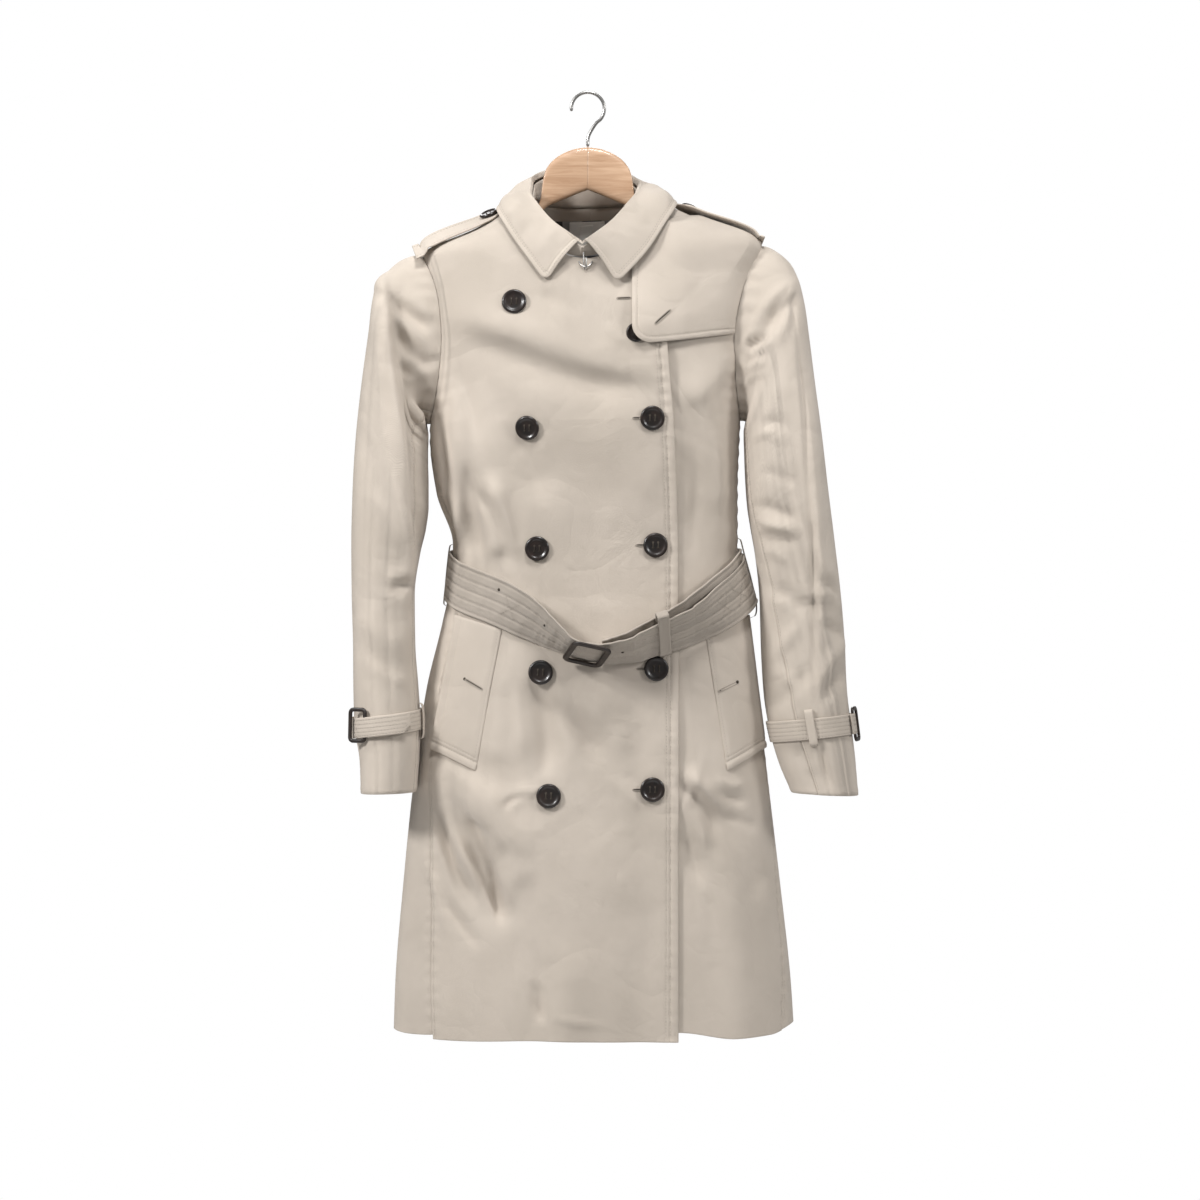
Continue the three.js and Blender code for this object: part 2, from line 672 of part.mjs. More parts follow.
// A wall from a grid of points on one face, thickened along the grid's own normals.
function wallFrom(points, thickness, flip = 1) {
  const normals = gridNormals(points);
  const inner = points.map((line, i) =>
    line.map((p, j) => p.clone().addScaledVector(normals[i][j], -flip * thickness)),
  );
  return wallGeometry(points, inner);
}

const collarShares = [0, 0.03, 0.08, 0.13, 0.18, 0.22, 0.26, 0.3, 0.34, 0.38, 0.42, 0.46, 0.5];
const bothEnds = [...collarShares, ...collarShares.slice(0, -1).reverse().map((share) => 1 - share)];

function collarFall() {
  const sections = bothEnds.map((share) => {
    const profile = collarProfile(share);
    return FALL_STEPS.map((t) => profile.getPoint(t));
  });
  return wallFrom(sections, CLOTH, 1);
}

function collarStand() {
  const sections = bothEnds.map((share) => {
    const { base, standTop } = collarSection(share);
    return steps(3).map((t) => base.clone().lerp(standTop, t));
  });
  return wallFrom(sections, CLOTH, -1);
}

// Storm flap over the chest at +X, sewn at the shoulder and the armhole
const FLAP = { innerX: 48, bottomAtEdge: 784, bottomAtArm: 795, corner: 21, collarX: 82, collarZ: 927 };

function flapLift(angle, z) {
  const { x } = bodyPoint(angle, z);
  const overLap = LAP_OUT * smoothStep(122, 100, x);
  const corner = smoothStep(100, 52, x) * smoothStep(862, 800, z);
  const hem = smoothStep(880, 800, z);
  const overSeam = smoothStep(862, 890, z) * smoothStep(84, 96, x);
  return CLOTH + 0.9 + overLap + 5.5 * corner + 1.2 * hem + 2.9 * overSeam;
}

// The ring angle of the front armhole edge at a height.
function armEdgeAngle(side, z) {
  const turn = Math.acos(((z - ARMPIT_Z) / (SHOULDER_Z - ARMPIT_Z)) * 2 - 1);
  return armholeEdge(side, turn)[0];
}

function stormFlap() {
  const edgeRises = [0, 2.5, 8, 21, 42, 60, 74, 84, 90, 94];
  const left = edgeRises.map((rise) => {
    const toCorner = Math.max(0, FLAP.corner - rise);
    const inset = FLAP.corner - Math.sqrt(FLAP.corner ** 2 - toCorner ** 2);
    const z = FLAP.bottomAtEdge + rise;
    return [angleAt(FLAP.innerX + inset, z), z];
  });
  const right = edgeRises.map((rise) => {
    const z = mix(FLAP.bottomAtArm, SHOULDER_Z - 3, rise / 94);
    return [armEdgeAngle(1, z) - 0.024, z];
  });
  const [leftEnd, rightEnd] = [left[left.length - 1][1], right[right.length - 1][1]];
  const underCollar = steps(4).map((t) => {
    const z = mix(leftEnd, FLAP.collarZ, t);
    return [angleAt(mix(FLAP.innerX, FLAP.collarX, t), z), z];
  });
  const shoulder = steps(5).map((t) => {
    const z = mix(FLAP.collarZ, rightEnd, t);
    return [angleBesideSide(1, z, mix(12, 5, t)), z];
  });
  const bottom = steps(9).map((t) => {
    const z = mix(FLAP.bottomAtEdge, FLAP.bottomAtArm, t);
    return [mix(left[0][0], right[0][0], t), z];
  });
  const top = joinRuns(underCollar, shoulder);
  top[top.length - 1] = right[right.length - 1];
  const heights = edgeRises.map((rise) => rise / 94);
  return wallOn(onBody, gridBetween(bottom, top, left, right, heights), CLOTH, flapLift);
}

// Pocket welts: slanted patches beside the side seams
const WELTS = {
  left: { topOuter: [-150, 478], bottomOuter: [-178, 327], topInner: [-99, 462], bottomInner: [-128, 303] },
  right: { topOuter: [177, 478], bottomOuter: [196, 327], topInner: [130, 462], bottomInner: [155, 303] },
};

function pocketWelt(name) {
  const side = name === "left" ? -1 : 1;
  const w = WELTS[name];
  const grid = steps(7).map((v) =>
    steps(5).map((u) => {
      const outer = [0, 1].map((k) => mix(w.topOuter[k], w.bottomOuter[k], v));
      const inner = [0, 1].map((k) => mix(w.topInner[k], w.bottomInner[k], v));
      const [x, z] = [0, 1].map((k) => mix(outer[k], inner[k], u));
      const limit = Math.abs(seamAngle(side, z)) - 0.012;
      return [side * Math.min(Math.abs(angleAt(x, z)), limit), z];
    }),
  );
  const lift = (angle, z) => faceOut(angle, z) + 0.8 + 0.6 * smoothStep(140, 175, Math.abs(bodyPoint(angle, z).x));
  return wallOn(onBody, grid, CLOTH, lift);
}

// Belt: it leaves its buckle to +X, goes round the back, and passes through the buckle again.
// Its lower edge lies on the coat; lean tips its top edge outward from the cloth below.
const BELT = table(["row", "angle", "low", "out", "lean", "over"], [
  [0, 3, 431, 1.2, 67, 0],
  [1, 8, 433, 1.2, 63, 0],
  [2, 21, 445, 1, 51, 0],
  [3, 39, 460, 1.2, 35, 0],
  [4, 62, 482, 1.6, 13, 0],
  [5, 90, 502, 1.9, 0.5, 0],
  [6, 120, 503, 1.7, 1.5, 0],
  [7, 150, 503, 1.3, 1.5, 0],
  [8, 180, 503, 1.2, 1.2, 0],
  [9, 210, 503, 1.3, 1.5, 0],
  [10, 240, 502, 1.7, 1.5, 0],
  [11, 270, 498, 1.7, -0.5, 0],
  [12, 292, 487, 1.2, 1, 0],
  [13, 321, 470, 1, 10, 0],
  [14, 341, 450, 1, 36, 0],
  [15, 350, 440, 1, 58, 0.4],
  [16, 358, 431, 1.6, 72, 2],
  [17, 364, 427, 2.4, 68, 3],
  [18, 371, 428, 2.4, 61, 3],
  [19, 381, 437, 3.2, 52, 3],
  [20, 399, 451, 1.6, 37, 3],
  [21, 422, 470, 4, 9, 3.4],
  [22, 450, 492, 9.5, -10, 3.6],
  [23, 476, 500, 5, -4, 3.2],
]);
const beltAt = smoothColumns(BELT);
const BELT_ROWS = BELT.rows.length - 1;

function beltPath(row) {
  const lowEdge = (at) => {
    const { angle, low, out } = beltAt(at);
    return onBody(radians(angle), low, faceOut(radians(angle), low) + out + BELT_THICKNESS / 2);
  };
  const { angle, low, lean, over } = beltAt(row);
  const inside = Math.min(Math.max(row, 0.1), BELT_ROWS - 0.1);
  const along = lowEdge(inside + 0.1).sub(lowEdge(inside - 0.1)).normalize();
  const normal = normalOf(bodyPoint, radians(angle), low + BELT_WIDTH / 2, 0.01, 1.5);
  const outward = normal.addScaledVector(along, -normal.dot(along)).normalize();
  const upright = outward.clone().cross(along);
  const tip = radians(lean);
  const across = upright.multiplyScalar(Math.cos(tip)).addScaledVector(outward, Math.sin(tip));
  const face = along.clone().cross(across).normalize();
  const centre = lowEdge(row).addScaledVector(across, BELT_WIDTH / 2).addScaledVector(face, over);
  return { centre, along, across, face };
}

function belt() {
  const layer = (out) =>
    steps(62).map((t) => {
      const { centre, across, face } = beltPath(t * BELT_ROWS);
      const width = BELT_WIDTH * (1 - 0.8 * smoothStep(0.985, 1.002, t));
      return [-0.5, 0, 0.5].map((u) =>
        centre.clone().addScaledVector(across, u * width).addScaledVector(face, out),
      );
    });
  return wallGeometry(layer(BELT_THICKNESS / 2), layer(-BELT_THICKNESS / 2));
}

// A belt loop at the side: a narrow strip sewn above and below the belt, which it stands over.
function beltLoop(angle, low, high, height, taper) {
  const halfTurn = 0.02;
  const grid = steps(11).map((t) => [-halfTurn, halfTurn].map((turn) => [radians(angle) + turn, mix(low, high, t)]));
  const arch = (_, z) => {
    const share = (z - low) / (high - low);
    return CLOTH + 0.6 + height * (1 - taper * share) * Math.max(0, Math.sin(Math.PI * share)) ** 0.25;
  };
  return wallOn(onBody, grid, THIN_CLOTH, arch);
}

// A frame, buckle or ring laid across a band: its own axes are along, across and face.
function placedOn({ centre, along, across, face }, out, geometry, name, look) {
  const piece = mesh(name, geometry, look);
  const basis = new THREE.Matrix4().makeBasis(along, across, face);
  piece.quaternion.setFromRotationMatrix(basis);
  piece.position.copy(centre).addScaledVector(face, out);
  return piece;
}

function roundedRectangle(shape, width, height, radius) {
  const x = width / 2;
  const y = height / 2;
  shape.moveTo(-x + radius, -y);
  shape.lineTo(x - radius, -y);
  shape.absarc(x - radius, -y + radius, radius, -Math.PI / 2, 0);
  shape.lineTo(x, y - radius);
  shape.absarc(x - radius, y - radius, radius, 0, Math.PI / 2);
  shape.lineTo(-x + radius, y);
  shape.absarc(-x + radius, y - radius, radius, Math.PI / 2, Math.PI);
  shape.lineTo(-x, -y + radius);
  shape.absarc(-x + radius, -y + radius, radius, Math.PI, Math.PI * 1.5);
  return shape;
}

function frameGeometry(width, height, bar, thickness, radius) {
  const shape = roundedRectangle(new THREE.Shape(), width, height, radius);
  shape.holes.push(roundedRectangle(new THREE.Path(), width - 2 * bar, height - 2 * bar, radius * 0.5));
  const bevel = width > 30 ? thickness * 0.22 : 0;
  return new THREE.ExtrudeGeometry(shape, {
    depth: thickness - 2 * bevel,
    curveSegments: 2,
    bevelEnabled: bevel > 0,
    bevelSegments: 1,
    bevelThickness: bevel,
    bevelSize: bevel,
    bevelOffset: -bevel,
  }).translate(0, 0, bevel);
}

// A keeper: a flat sleeve of thin cloth round one or two layers of a band.
function keeperGeometry(width, height, depth) {
  const wall = THIN_CLOTH;
  const shape = roundedRectangle(new THREE.Shape(), depth + 2 * wall, height + 2 * wall, wall * 1.2);
  shape.holes.push(roundedRectangle(new THREE.Path(), depth, height, 0.6));
  const geometry = new THREE.ExtrudeGeometry(shape, { depth: width, curveSegments: 1, bevelEnabled: false });
  return geometry.translate(0, 0, -width / 2).rotateY(Math.PI / 2);
}

// Buttons: a turned rim with a dished middle, and four holes sunk in it
function buttonGeometry(radius) {
  const profile = [
    [0, 0],
    [radius * 0.88, 0],
    [radius, 1.8],
    [radius * 0.86, 3.8],
    [radius * 0.62, 2.4],
    [0, 2.4],
  ].map(([x, y]) => new THREE.Vector2(x, y));
  return new THREE.LatheGeometry(profile, 12).rotateX(Math.PI / 2);
}

// Stands a turned piece on the body: its axis is the surface's normal.
function standOn(angle, z, out, geometry, name, look) {
  const piece = mesh(name, geometry, look);
  const normal = normalOf(bodyPoint, angle, z, 0.01, 1.5);
  piece.quaternion.setFromUnitVectors(point(0, 0, 1), normal);
  piece.position.copy(onBody(angle, z, out));
  return piece;
}

const BUTTONS = table(["name", "x", "z"], [
  ["button_left_1", -85, 834],
  ["button_left_2", -69, 692],
  ["button_left_3", -59, 554],
  ["button_left_4", -55, 414],
  ["button_left_5", -46, 275],
  ["button_right_2", 70, 701],
  ["button_right_3", 73.5, 558],
  ["button_right_4", 74.5, 418],
  ["button_right_5", 70, 282],
]);
const FLAP_BUTTON = { x: 52, z: 796, radius: 11 };

function frontButtons() {
  return BUTTONS.rows.map(([name, x, z]) => {
    const angle = angleAt(x, z);
    const out = overLift(angle, z) + CLOTH + 0.9;
    return standOn(angle, z, out, buttonGeometry(BUTTON_RADIUS), name, HORN);
  });
}

// Shoulder straps: a tapered strip from the armhole to the collar, standing off the seam
const EPAULETTES = {
  left: { side: -1, loopY: -5.4, loopHalf: 9, loopUp: 0, armX: 200, neckX: 98, rise: 4.6, armRise: 5, arch: 2, lean: 27, neckLean: 21, shift: -9 },
  right: { side: 1, loopY: 5, loopHalf: 5, loopUp: 0.7, armX: 197, neckX: 97, rise: 3.6, armRise: 4.4, arch: 1.5, lean: -13, neckLean: -13, shift: 1 },
};

// The highest line of one shoulder, by x.
function shoulderRidge(side, x) {
  let low = SHOULDER_Z;
  let high = NECK_Z;
  const reachAt = (z) => (side < 0 ? bodySizes(z).left : bodySizes(z).right);
  for (let i = 0; i < 24; i += 1) {
    const z = (low + high) / 2;
    if (reachAt(z) > Math.abs(x)) low = z;
    else high = z;
  }
  const ridge = bodyPoint(side * radians(90), low);
  ridge.z -= Math.max(0, Math.abs(x) - reachAt(low)) * 0.35;
  ridge.x = x;
  return ridge;
}

function epaulettePath(name) {
  const e = EPAULETTES[name];
  return (t) => {
    const at = (share) => {
      const x = e.side * mix(e.armX, e.neckX, share);
      const p = shoulderRidge(e.side, x);
      const lift = mix(e.armRise, e.rise, share) + e.arch * Math.sin(Math.PI * share);
      return p.add(point(0, e.shift, lift + CLOTH));
    };
    const centre = at(t);
    const along = at(t + 0.02).sub(at(t - 0.02)).normalize();
    const lean = radians(mix(e.lean, e.neckLean, t));
    const backward = point(0, Math.cos(lean), Math.sin(lean));
    const across = backward.addScaledVector(along, -backward.dot(along)).normalize();
    const face = along.clone().cross(across).normalize();
    if (face.z < 0) face.negate();
    return { centre, along, across, face };
  };
}

function epaulette(name) {
  const path = epaulettePath(name);
  const shares = [0, 0.12, 0.25, 0.4, 0.55, 0.7, 0.8, 0.88, 0.95, 1];
  const layer = (out) =>
    shares.map((t) => {
      const { centre, across, face } = path(t);
      const width = mix(44, 36, t) * (1 - 0.72 * smoothStep(0.8, 1.03, t));
      return [-0.5, -0.17, 0.17, 0.5].map((u) =>
        centre.clone().addScaledVector(across, u * width).addScaledVector(face, out),
      );
    });
  return wallGeometry(layer(CLOTH + 0.4), layer(0));
}

function epauletteButton(name) {
  const { centre, along, across, face } = epaulettePath(name)(0.84);
  const forward = { centre, along, across, face };
  if (along.clone().cross(across).dot(face) < 0) forward.across = across.clone().negate();
  return placedOn(forward, CLOTH + 0.9, buttonGeometry(11), "button_epaulette_" + name, HORN);
}

// The loop under each shoulder strap: a small arch of thin cloth on the seam.
function epauletteLoop(name) {
  const e = EPAULETTES[name];
  const at = shoulderRidge(e.side, e.side * 170);
  const layer = (out) =>
    [-4, 4].map((alongX) =>
      steps(6).map((t) => {
        const turn = Math.PI * t;
        const p = at.clone();
        p.x += alongX;
        p.y += e.loopY - (e.loopHalf + out) * Math.cos(turn);
        p.z += -e.side * alongX * 0.5 + CLOTH + e.loopUp + (1.4 + out) * Math.sin(turn);
        return p;
      }),
    );
  return wallGeometry(layer(THIN_CLOTH), layer(0));
}

// Cuff straps: one and a bit turns of a band round the sleeve, with the tapered end outside
const CUFFS = {
  left: { ring: 13.9, tiltFront: 0.06, start: 14, sweep: 430, width: 26 },
  right: { ring: 13.9, tiltFront: 0.02, start: -10, sweep: 400, width: 26 },
};

function cuffBand(name) {
  const c = CUFFS[name];
  const { side } = sleeveSides[name];
  const surface = onSleeve(name);
  const count = 28;
  const grid = (extra) =>
    steps(count).map((t) => {
      const turn = radians(c.start + c.sweep * t);
      const second = smoothStep(300, 352, c.sweep * t);
      const out = 1.1 + 3.6 * second + extra;
      const isEnd = name === "left" ? smoothStep(0.955, 1, t) : 0;
      const wave = c.tiltFront * Math.cos(turn - radians(160)) * 8;
      const half = 0.27 * (1 - 0.5 * isEnd);
      return [-1, 0, 1].map((v) => surface(turn, c.ring + wave + v * half, out));
    });
  const band = wallGeometry(grid(CLOTH), grid(0));
  return mesh("cuff_strap_" + name, band, side ? SHELL_SHADE : SHELL);
}

// A local frame on the sleeve at a turn, for the buckle and the strap's loop.
function sleeveFrame(name, turn, ring) {
  const surface = onSleeve(name);
  const centre = surface(turn, ring, 0);
  const along = surface(turn + 0.05, ring, 0).sub(surface(turn - 0.05, ring, 0)).normalize();
  const face = surface(turn, ring, 5).sub(centre).normalize();
  const across = face.clone().cross(along).normalize();
  return { centre, along, across, face };
}

// Hanger: two bent wooden arms mitred at the middle, and a steel hook
const HANGER = table(["reach", "top", "bottom"], [
  [0, 1016.6, 967.6],
  [12, 1015.2, 963],
  [26, 1010.5, 957],
  [38, 1003, 952],
  [47, 992.5, 947.5],
  [50.5, 983, 944],
  [52.5, 970, 941],
  [54, 958, 938],
  [57, 950, 934],
  [66, 947, 925],
]);
const HANGER_HALF_THICKNESS = 6.5;
const HANGER_END = 178;
const ARM_HEIGHT = 25;
const hangerHump = smoothColumns(HANGER);

// Past its hump, each arm's top follows the underside of the shoulder seam.
function hangerEdges(side, reach) {
  const hump = hangerHump(reach);
  const under = shoulderRidge(side, HANGER_X + side * reach).z - mix(2.1, 2.3, smoothStep(110, 178, reach));
  const blend = smoothStep(57, 70, reach);
  return { top: mix(hump.top, under, blend), bottom: mix(hump.bottom, under - ARM_HEIGHT, blend) };
}

const forwardAt = (x) => -SHOULDER_FORWARD * (Math.sqrt(x * x + 900) - 30);

function hangerArm(side) {
  const reaches = [0.15, 10, 20, 30, 38, 45, 50, 52, 54, 57, 62, 70, 84, 106, 130, 154, 168, 174, HANGER_END];
  const profile = [
    [-1, 0.12],
    [-0.62, 0],
    [0.62, 0],
    [1, 0.12],
    [1, 0.88],
    [0.62, 1],
    [-0.62, 1],
    [-1, 0.88],
  ];
  const sections = reaches.map((reach) => {
    const { top, bottom } = hangerEdges(side, reach);
    const x = HANGER_X + side * reach;
    const thinner = mix(1, 0.75, smoothStep(90, HANGER_END, reach));
    const rounding = 0.22 * smoothStep(166, HANGER_END, reach);
    return profile.map(([across, down]) => {
      const share = mix(rounding, 1 - rounding, down);
      return point(x, forwardAt(x) + across * HANGER_HALF_THICKNESS * thinner, mix(top, bottom, share));
    });
  });
  return solidFromSections(sections);
}

// A closed body through sections of equal point count, with flat ends.
function solidFromSections(sections) {
  const count = sections[0].length;
  const positions = sections.flat().flatMap((p) => [p.x, p.y, p.z]);
  const index = [];
  for (let s = 0; s < sections.length - 1; s += 1) {
    for (let i = 0; i < count; i += 1) {
      const next = (i + 1) % count;
      const a = s * count + i;
      const b = s * count + next;
      index.push(a, b, b + count, a, b + count, a + count);
    }
  }
  const last = (sections.length - 1) * count;
  for (let i = 1; i < count - 1; i += 1) {
    index.push(0, i + 1, i, last, last + i, last + i + 1);
  }
  const geometry = new THREE.BufferGeometry();
  geometry.setAttribute("position", new THREE.Float32BufferAttribute(positions, 3));
  geometry.setIndex(facingOut(positions, index));
  return geometry;
}

const HOOK = { wire: 1.9, radius: 19, foot: 1017 };

// The hook: up from the wood, then over the rail and round to its free end.
function hangerHook() {
  const seatZ = HEM_TO_RAIL + HOOK.wire;
  const centre = seatZ - HOOK.radius - HOOK.wire;
  const arc = steps(14).map((t) => {
    const turn = radians(mix(-58, 188, t));
    return point(HANGER_X + HOOK.radius * Math.cos(turn), 0, centre + HOOK.wire + HOOK.radius * Math.sin(turn));
  });
  const neck = [
    point(HANGER_X, 0, HOOK.foot),
    point(HANGER_X, 0, HOOK.foot + 8),
    point(HANGER_X + 1.5, 0, HOOK.foot + 14),
  ];
  const path = new THREE.CatmullRomCurve3([...neck, ...arc], false, "centripetal");
  return tube(path, HOOK.wire, 28, 6);
}

// A round bar along a path with closed ends.
function tube(path, radius, count, sides) {
  const outline = new THREE.Shape(
    steps(sides)
      .slice(0, -1)
      .map((t) => new THREE.Vector2(radius * Math.cos(2 * Math.PI * t), radius * Math.sin(2 * Math.PI * t))),
  );
  return new THREE.ExtrudeGeometry(outline, { steps: count, bevelEnabled: false, extrudePath: path });
}

// Neck lining and its plain label, which show inside the back neck
function neckPatch(x0, x1, z0, z1, out, thickness, columns, rows) {
  const grid = steps(rows).map((v) =>
    steps(columns).map((u) => {
      const z = mix(z0, z1, v);
      const x = mix(x0, x1, u);
      return [Math.PI - angleAt(x, z), z];
    }),
  );
  return wallOn(onBody, grid, thickness, () => out);
}

// Throat hook and eye: bent wire at the top of the over front
function throatWire(points, name) {
  const path = new THREE.CatmullRomCurve3(points, false, "centripetal");
  return mesh(name, tube(path, 0.9, 11, 5), STEEL);
}

function throatHookAndEye() {
  const front = onBody(angleAt(-5, 880), 880, LAP_OUT + CLOTH + 4);
  const eye = [
    [-6, 2.6, -2],
    [-4, 0.2, -5.4],
    [0, -0.5, -7.2],
    [4, 0.2, -5.4],
    [6, 2.6, -2],
  ].map(([x, y, z]) => front.clone().add(point(x, y, z)));
  const hook = [
    [-1.6, 1.8, 7],
    [-1.6, 1.4, -3],
    [-1, 1.5, -7.4],
    [0, -0.5, -9.6],
    [0.6, -2.8, -7.4],
    [0.8, -2.8, 1],
  ].map(([x, y, z]) => front.clone().add(point(x, y, z)));
  return [throatWire(eye, "throat_eye"), throatWire(hook, "throat_hook")];
}

function mesh(name, geometry, look) {
  const made = new THREE.Mesh(geometry, new THREE.MeshStandardMaterial(look));
  made.name = name;
  return made;
}

function beltFittings() {
  const atBuckle = beltPath(16.9);
  const atKeeper = beltPath(19.1);
  const keeper = keeperGeometry(13, BELT_WIDTH + 12, 8);
  atBuckle.centre.addScaledVector(atBuckle.across, 3);
  atKeeper.centre.addScaledVector(atKeeper.across, 5.2);
  return [
    placedOn(atBuckle, BELT_THICKNESS / 2 + 1.2, frameGeometry(46, 62, 7, 4.2, 7), "belt_buckle", LEATHER),
    placedOn(atKeeper, -1.5, keeper, "belt_keeper", SHELL_SHADE),
    mesh("belt_loop_left", beltLoop(-92, 489, 560, 6, 0), SHELL),
    mesh("belt_loop_right", beltLoop(92, 474, 567, 21, 0.75), SHELL),
  ];
}

function cuffFittings(name) {
  const turn = name === "left" ? 44 : -2;
  const frame = sleeveFrame(name, radians(turn), CUFFS[name].ring);
  const buckle = placedOn(frame, name === "left" ? 6.6 : 6.8, frameGeometry(24, 40, 4.6, 3.4, 4), "cuff_buckle_" + name, LEATHER);
  return [buckle];
}

function coat() {
  const group = new THREE.Group();
  group.add(
    mesh("over_front", overFront(), SHELL),
    mesh("under_front", underFront(), SHELL),
    mesh("back_left", backHalf(-1), SHELL),
    mesh("back_right", backHalf(1), SHELL),
    mesh("collar_fall", collarFall(), SHELL),
    mesh("collar_stand", collarStand(), SHELL_SHADE),
    mesh("storm_flap", stormFlap(), SHELL),
    mesh("belt", belt(), SHELL_SHADE),
    ...beltFittings(),
    ...frontButtons(),
    standOn(
      angleAt(FLAP_BUTTON.x, FLAP_BUTTON.z),
      FLAP_BUTTON.z,
      LAP_OUT + CLOTH + 0.9,
      buttonGeometry(FLAP_BUTTON.radius),
      "button_flap",
      HORN,
    ),
    mesh("lining_neck", neckPatch(-66, 58, 862, 936, -2.1, THIN_CLOTH, 6, 4), LINING),
    mesh("neck_label", neckPatch(-24, 17, 905, 935, -3.5, 1, 3, 2), LABEL),
    ...throatHookAndEye(),
    mesh("hanger_arm_left", hangerArm(-1), WOOD),
    mesh("hanger_arm_right", hangerArm(1), WOOD),
    mesh("hanger_hook", hangerHook(), STEEL),
  );
  for (const name of ["left", "right"]) {
    group.add(
      mesh("top_sleeve_" + name, topSleeve(name), SHELL),
      mesh("under_sleeve_" + name, underSleeve(name), SHELL_SHADE),
      mesh("epaulette_" + name, epaulette(name), SHELL),
      epauletteButton(name),
      mesh("epaulette_loop_" + name, epauletteLoop(name), SHELL),
      mesh("pocket_welt_" + name, pocketWelt(name), SHELL),
      cuffBand(name),
      ...cuffFittings(name),
    );
  }
  group.position.set(-HANGER_X, 0, -HEM_TO_RAIL);
  return group;
}

export default coat();
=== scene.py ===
"""A belted trench coat on its wooden hanger: cloth, horn, leather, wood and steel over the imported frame.

Numbers are millimetres with z measured up from the hem until a mesh is made. A mesh is in metres,
with its origin where the hanger's hook sits on a rail.
"""

import json
import math

import bpy
import mathutils
import numpy as np
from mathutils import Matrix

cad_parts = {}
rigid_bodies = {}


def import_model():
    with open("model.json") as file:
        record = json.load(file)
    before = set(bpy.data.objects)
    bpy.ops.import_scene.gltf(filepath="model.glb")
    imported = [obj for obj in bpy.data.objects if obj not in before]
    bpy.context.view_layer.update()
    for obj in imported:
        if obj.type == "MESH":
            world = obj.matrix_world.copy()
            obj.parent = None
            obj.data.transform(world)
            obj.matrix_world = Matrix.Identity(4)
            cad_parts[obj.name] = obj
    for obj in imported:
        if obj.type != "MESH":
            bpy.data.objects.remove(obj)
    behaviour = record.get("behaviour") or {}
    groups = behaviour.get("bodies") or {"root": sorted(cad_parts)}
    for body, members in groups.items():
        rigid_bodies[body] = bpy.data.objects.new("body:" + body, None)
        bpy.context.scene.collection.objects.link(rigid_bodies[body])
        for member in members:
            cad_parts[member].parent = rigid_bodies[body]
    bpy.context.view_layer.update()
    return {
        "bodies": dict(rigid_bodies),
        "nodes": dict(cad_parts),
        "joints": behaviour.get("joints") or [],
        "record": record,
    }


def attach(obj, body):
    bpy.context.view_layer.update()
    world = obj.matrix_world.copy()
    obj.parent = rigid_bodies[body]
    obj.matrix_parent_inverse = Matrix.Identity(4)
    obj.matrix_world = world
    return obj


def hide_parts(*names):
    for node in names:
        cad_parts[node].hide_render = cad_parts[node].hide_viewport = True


bl_info = {
    "name": "Belted trench coat",
    "version": (1, 0, 0),
    "blender": (4, 5, 0),
    "location": "3D View > Sidebar > Trench coat",
    "description": "Makes the pieces of a belted trench coat that hangs on a wooden hanger",
    "category": "Object",
}

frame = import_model()

# Where the coat's own hem line and middle lie in the frame, in millimetres
COAT_PLACE = np.array([2.5, 0.0, -1078.0])
METRE = 0.001

CLOTH = 1.6
THIN_CLOTH = 1.2
SEAM_GAP = 0.3
LAP_OUT = CLOTH + 0.6
LAP_SINK = 1.1
FULLNESS = 0.83
ARMPIT_Z = 700.0
SHOULDER_Z = 895.0
NECK_Z = 955.0
SHOULDER_FORWARD = 0.1
SHOULDER_TILT = 0.03
HANGER_X = -2.5
BELT_WIDTH = 52.0
BELT_THICKNESS = 2.2
LEFT, RIGHT = -1, 1
SIDES = {"left": LEFT, "right": RIGHT}


# Tables and curves

def table(columns, rows):
    """Named columns of numbers, one row for each section; the first column is the key."""
    grid = np.array(rows, dtype=float)
    names = columns.split()
    return {"key": grid[:, 0], **{name: grid[:, i] for i, name in enumerate(names)}}


def curve(data, name, at):
    """One column of a table as a smooth function of its key.

    Between two rows it is a cubic whose slopes are the harmonic means of the steps on either side,
    so it never overshoots the rows.
    """
    keys, values = data["key"], data[name]
    slope = np.diff(values) / np.diff(keys)
    total = slope[:-1] + slope[1:]
    product = slope[:-1] * slope[1:]
    inner = np.where(product > 0, 2 * product / np.where(total == 0, 1, total), 0)
    slopes = np.concatenate([slope[:1], inner, slope[-1:]])
    at = np.clip(np.asarray(at, dtype=float), keys[0], keys[-1])
    low = np.clip(np.searchsorted(keys, at, side="left") - 1, 0, len(keys) - 2)
    span = keys[low + 1] - keys[low]
    t = (at - keys[low]) / span
    square, cube = t * t, t * t * t
    return (
        (2 * cube - 3 * square + 1) * values[low]
        + (cube - 2 * square + t) * span * slopes[low]
        + (3 * square - 2 * cube) * values[low + 1]
        + (cube - square) * span * slopes[low + 1]
    )


def smooth_step(start, end, value):
    """0 before start, 1 after end, and a smooth S between them."""
    t = np.clip((value - start) / (end - start), 0, 1)
    return t * t * (3 - 2 * t)


def mix(a, b, t):
    return a + (b - a) * t


def signed_power(value, power):
    return np.sign(value) * np.abs(value) ** power


def bump_at(value, centre, width):
    """A bell that is 1 at its centre and fades over its width."""
    return np.exp(-(((value - centre) / width) ** 2))


def unit(vectors):
    length = np.linalg.norm(vectors, axis=-1, keepdims=True)
    return vectors / np.where(length == 0, 1, length)


def normal_of(surface, a, b, step_a, step_b):
    """The unit normal of a surface of two parameters, from the cross product of its two slopes."""
    along_a = surface(a + step_a, b) - surface(a - step_a, b)
    along_b = surface(a, b + step_b) - surface(a, b - step_b)
    return unit(np.cross(along_a, along_b))


def stack(x, y, z):
    return np.stack(np.broadcast_arrays(x, y, z), axis=-1).astype(float)


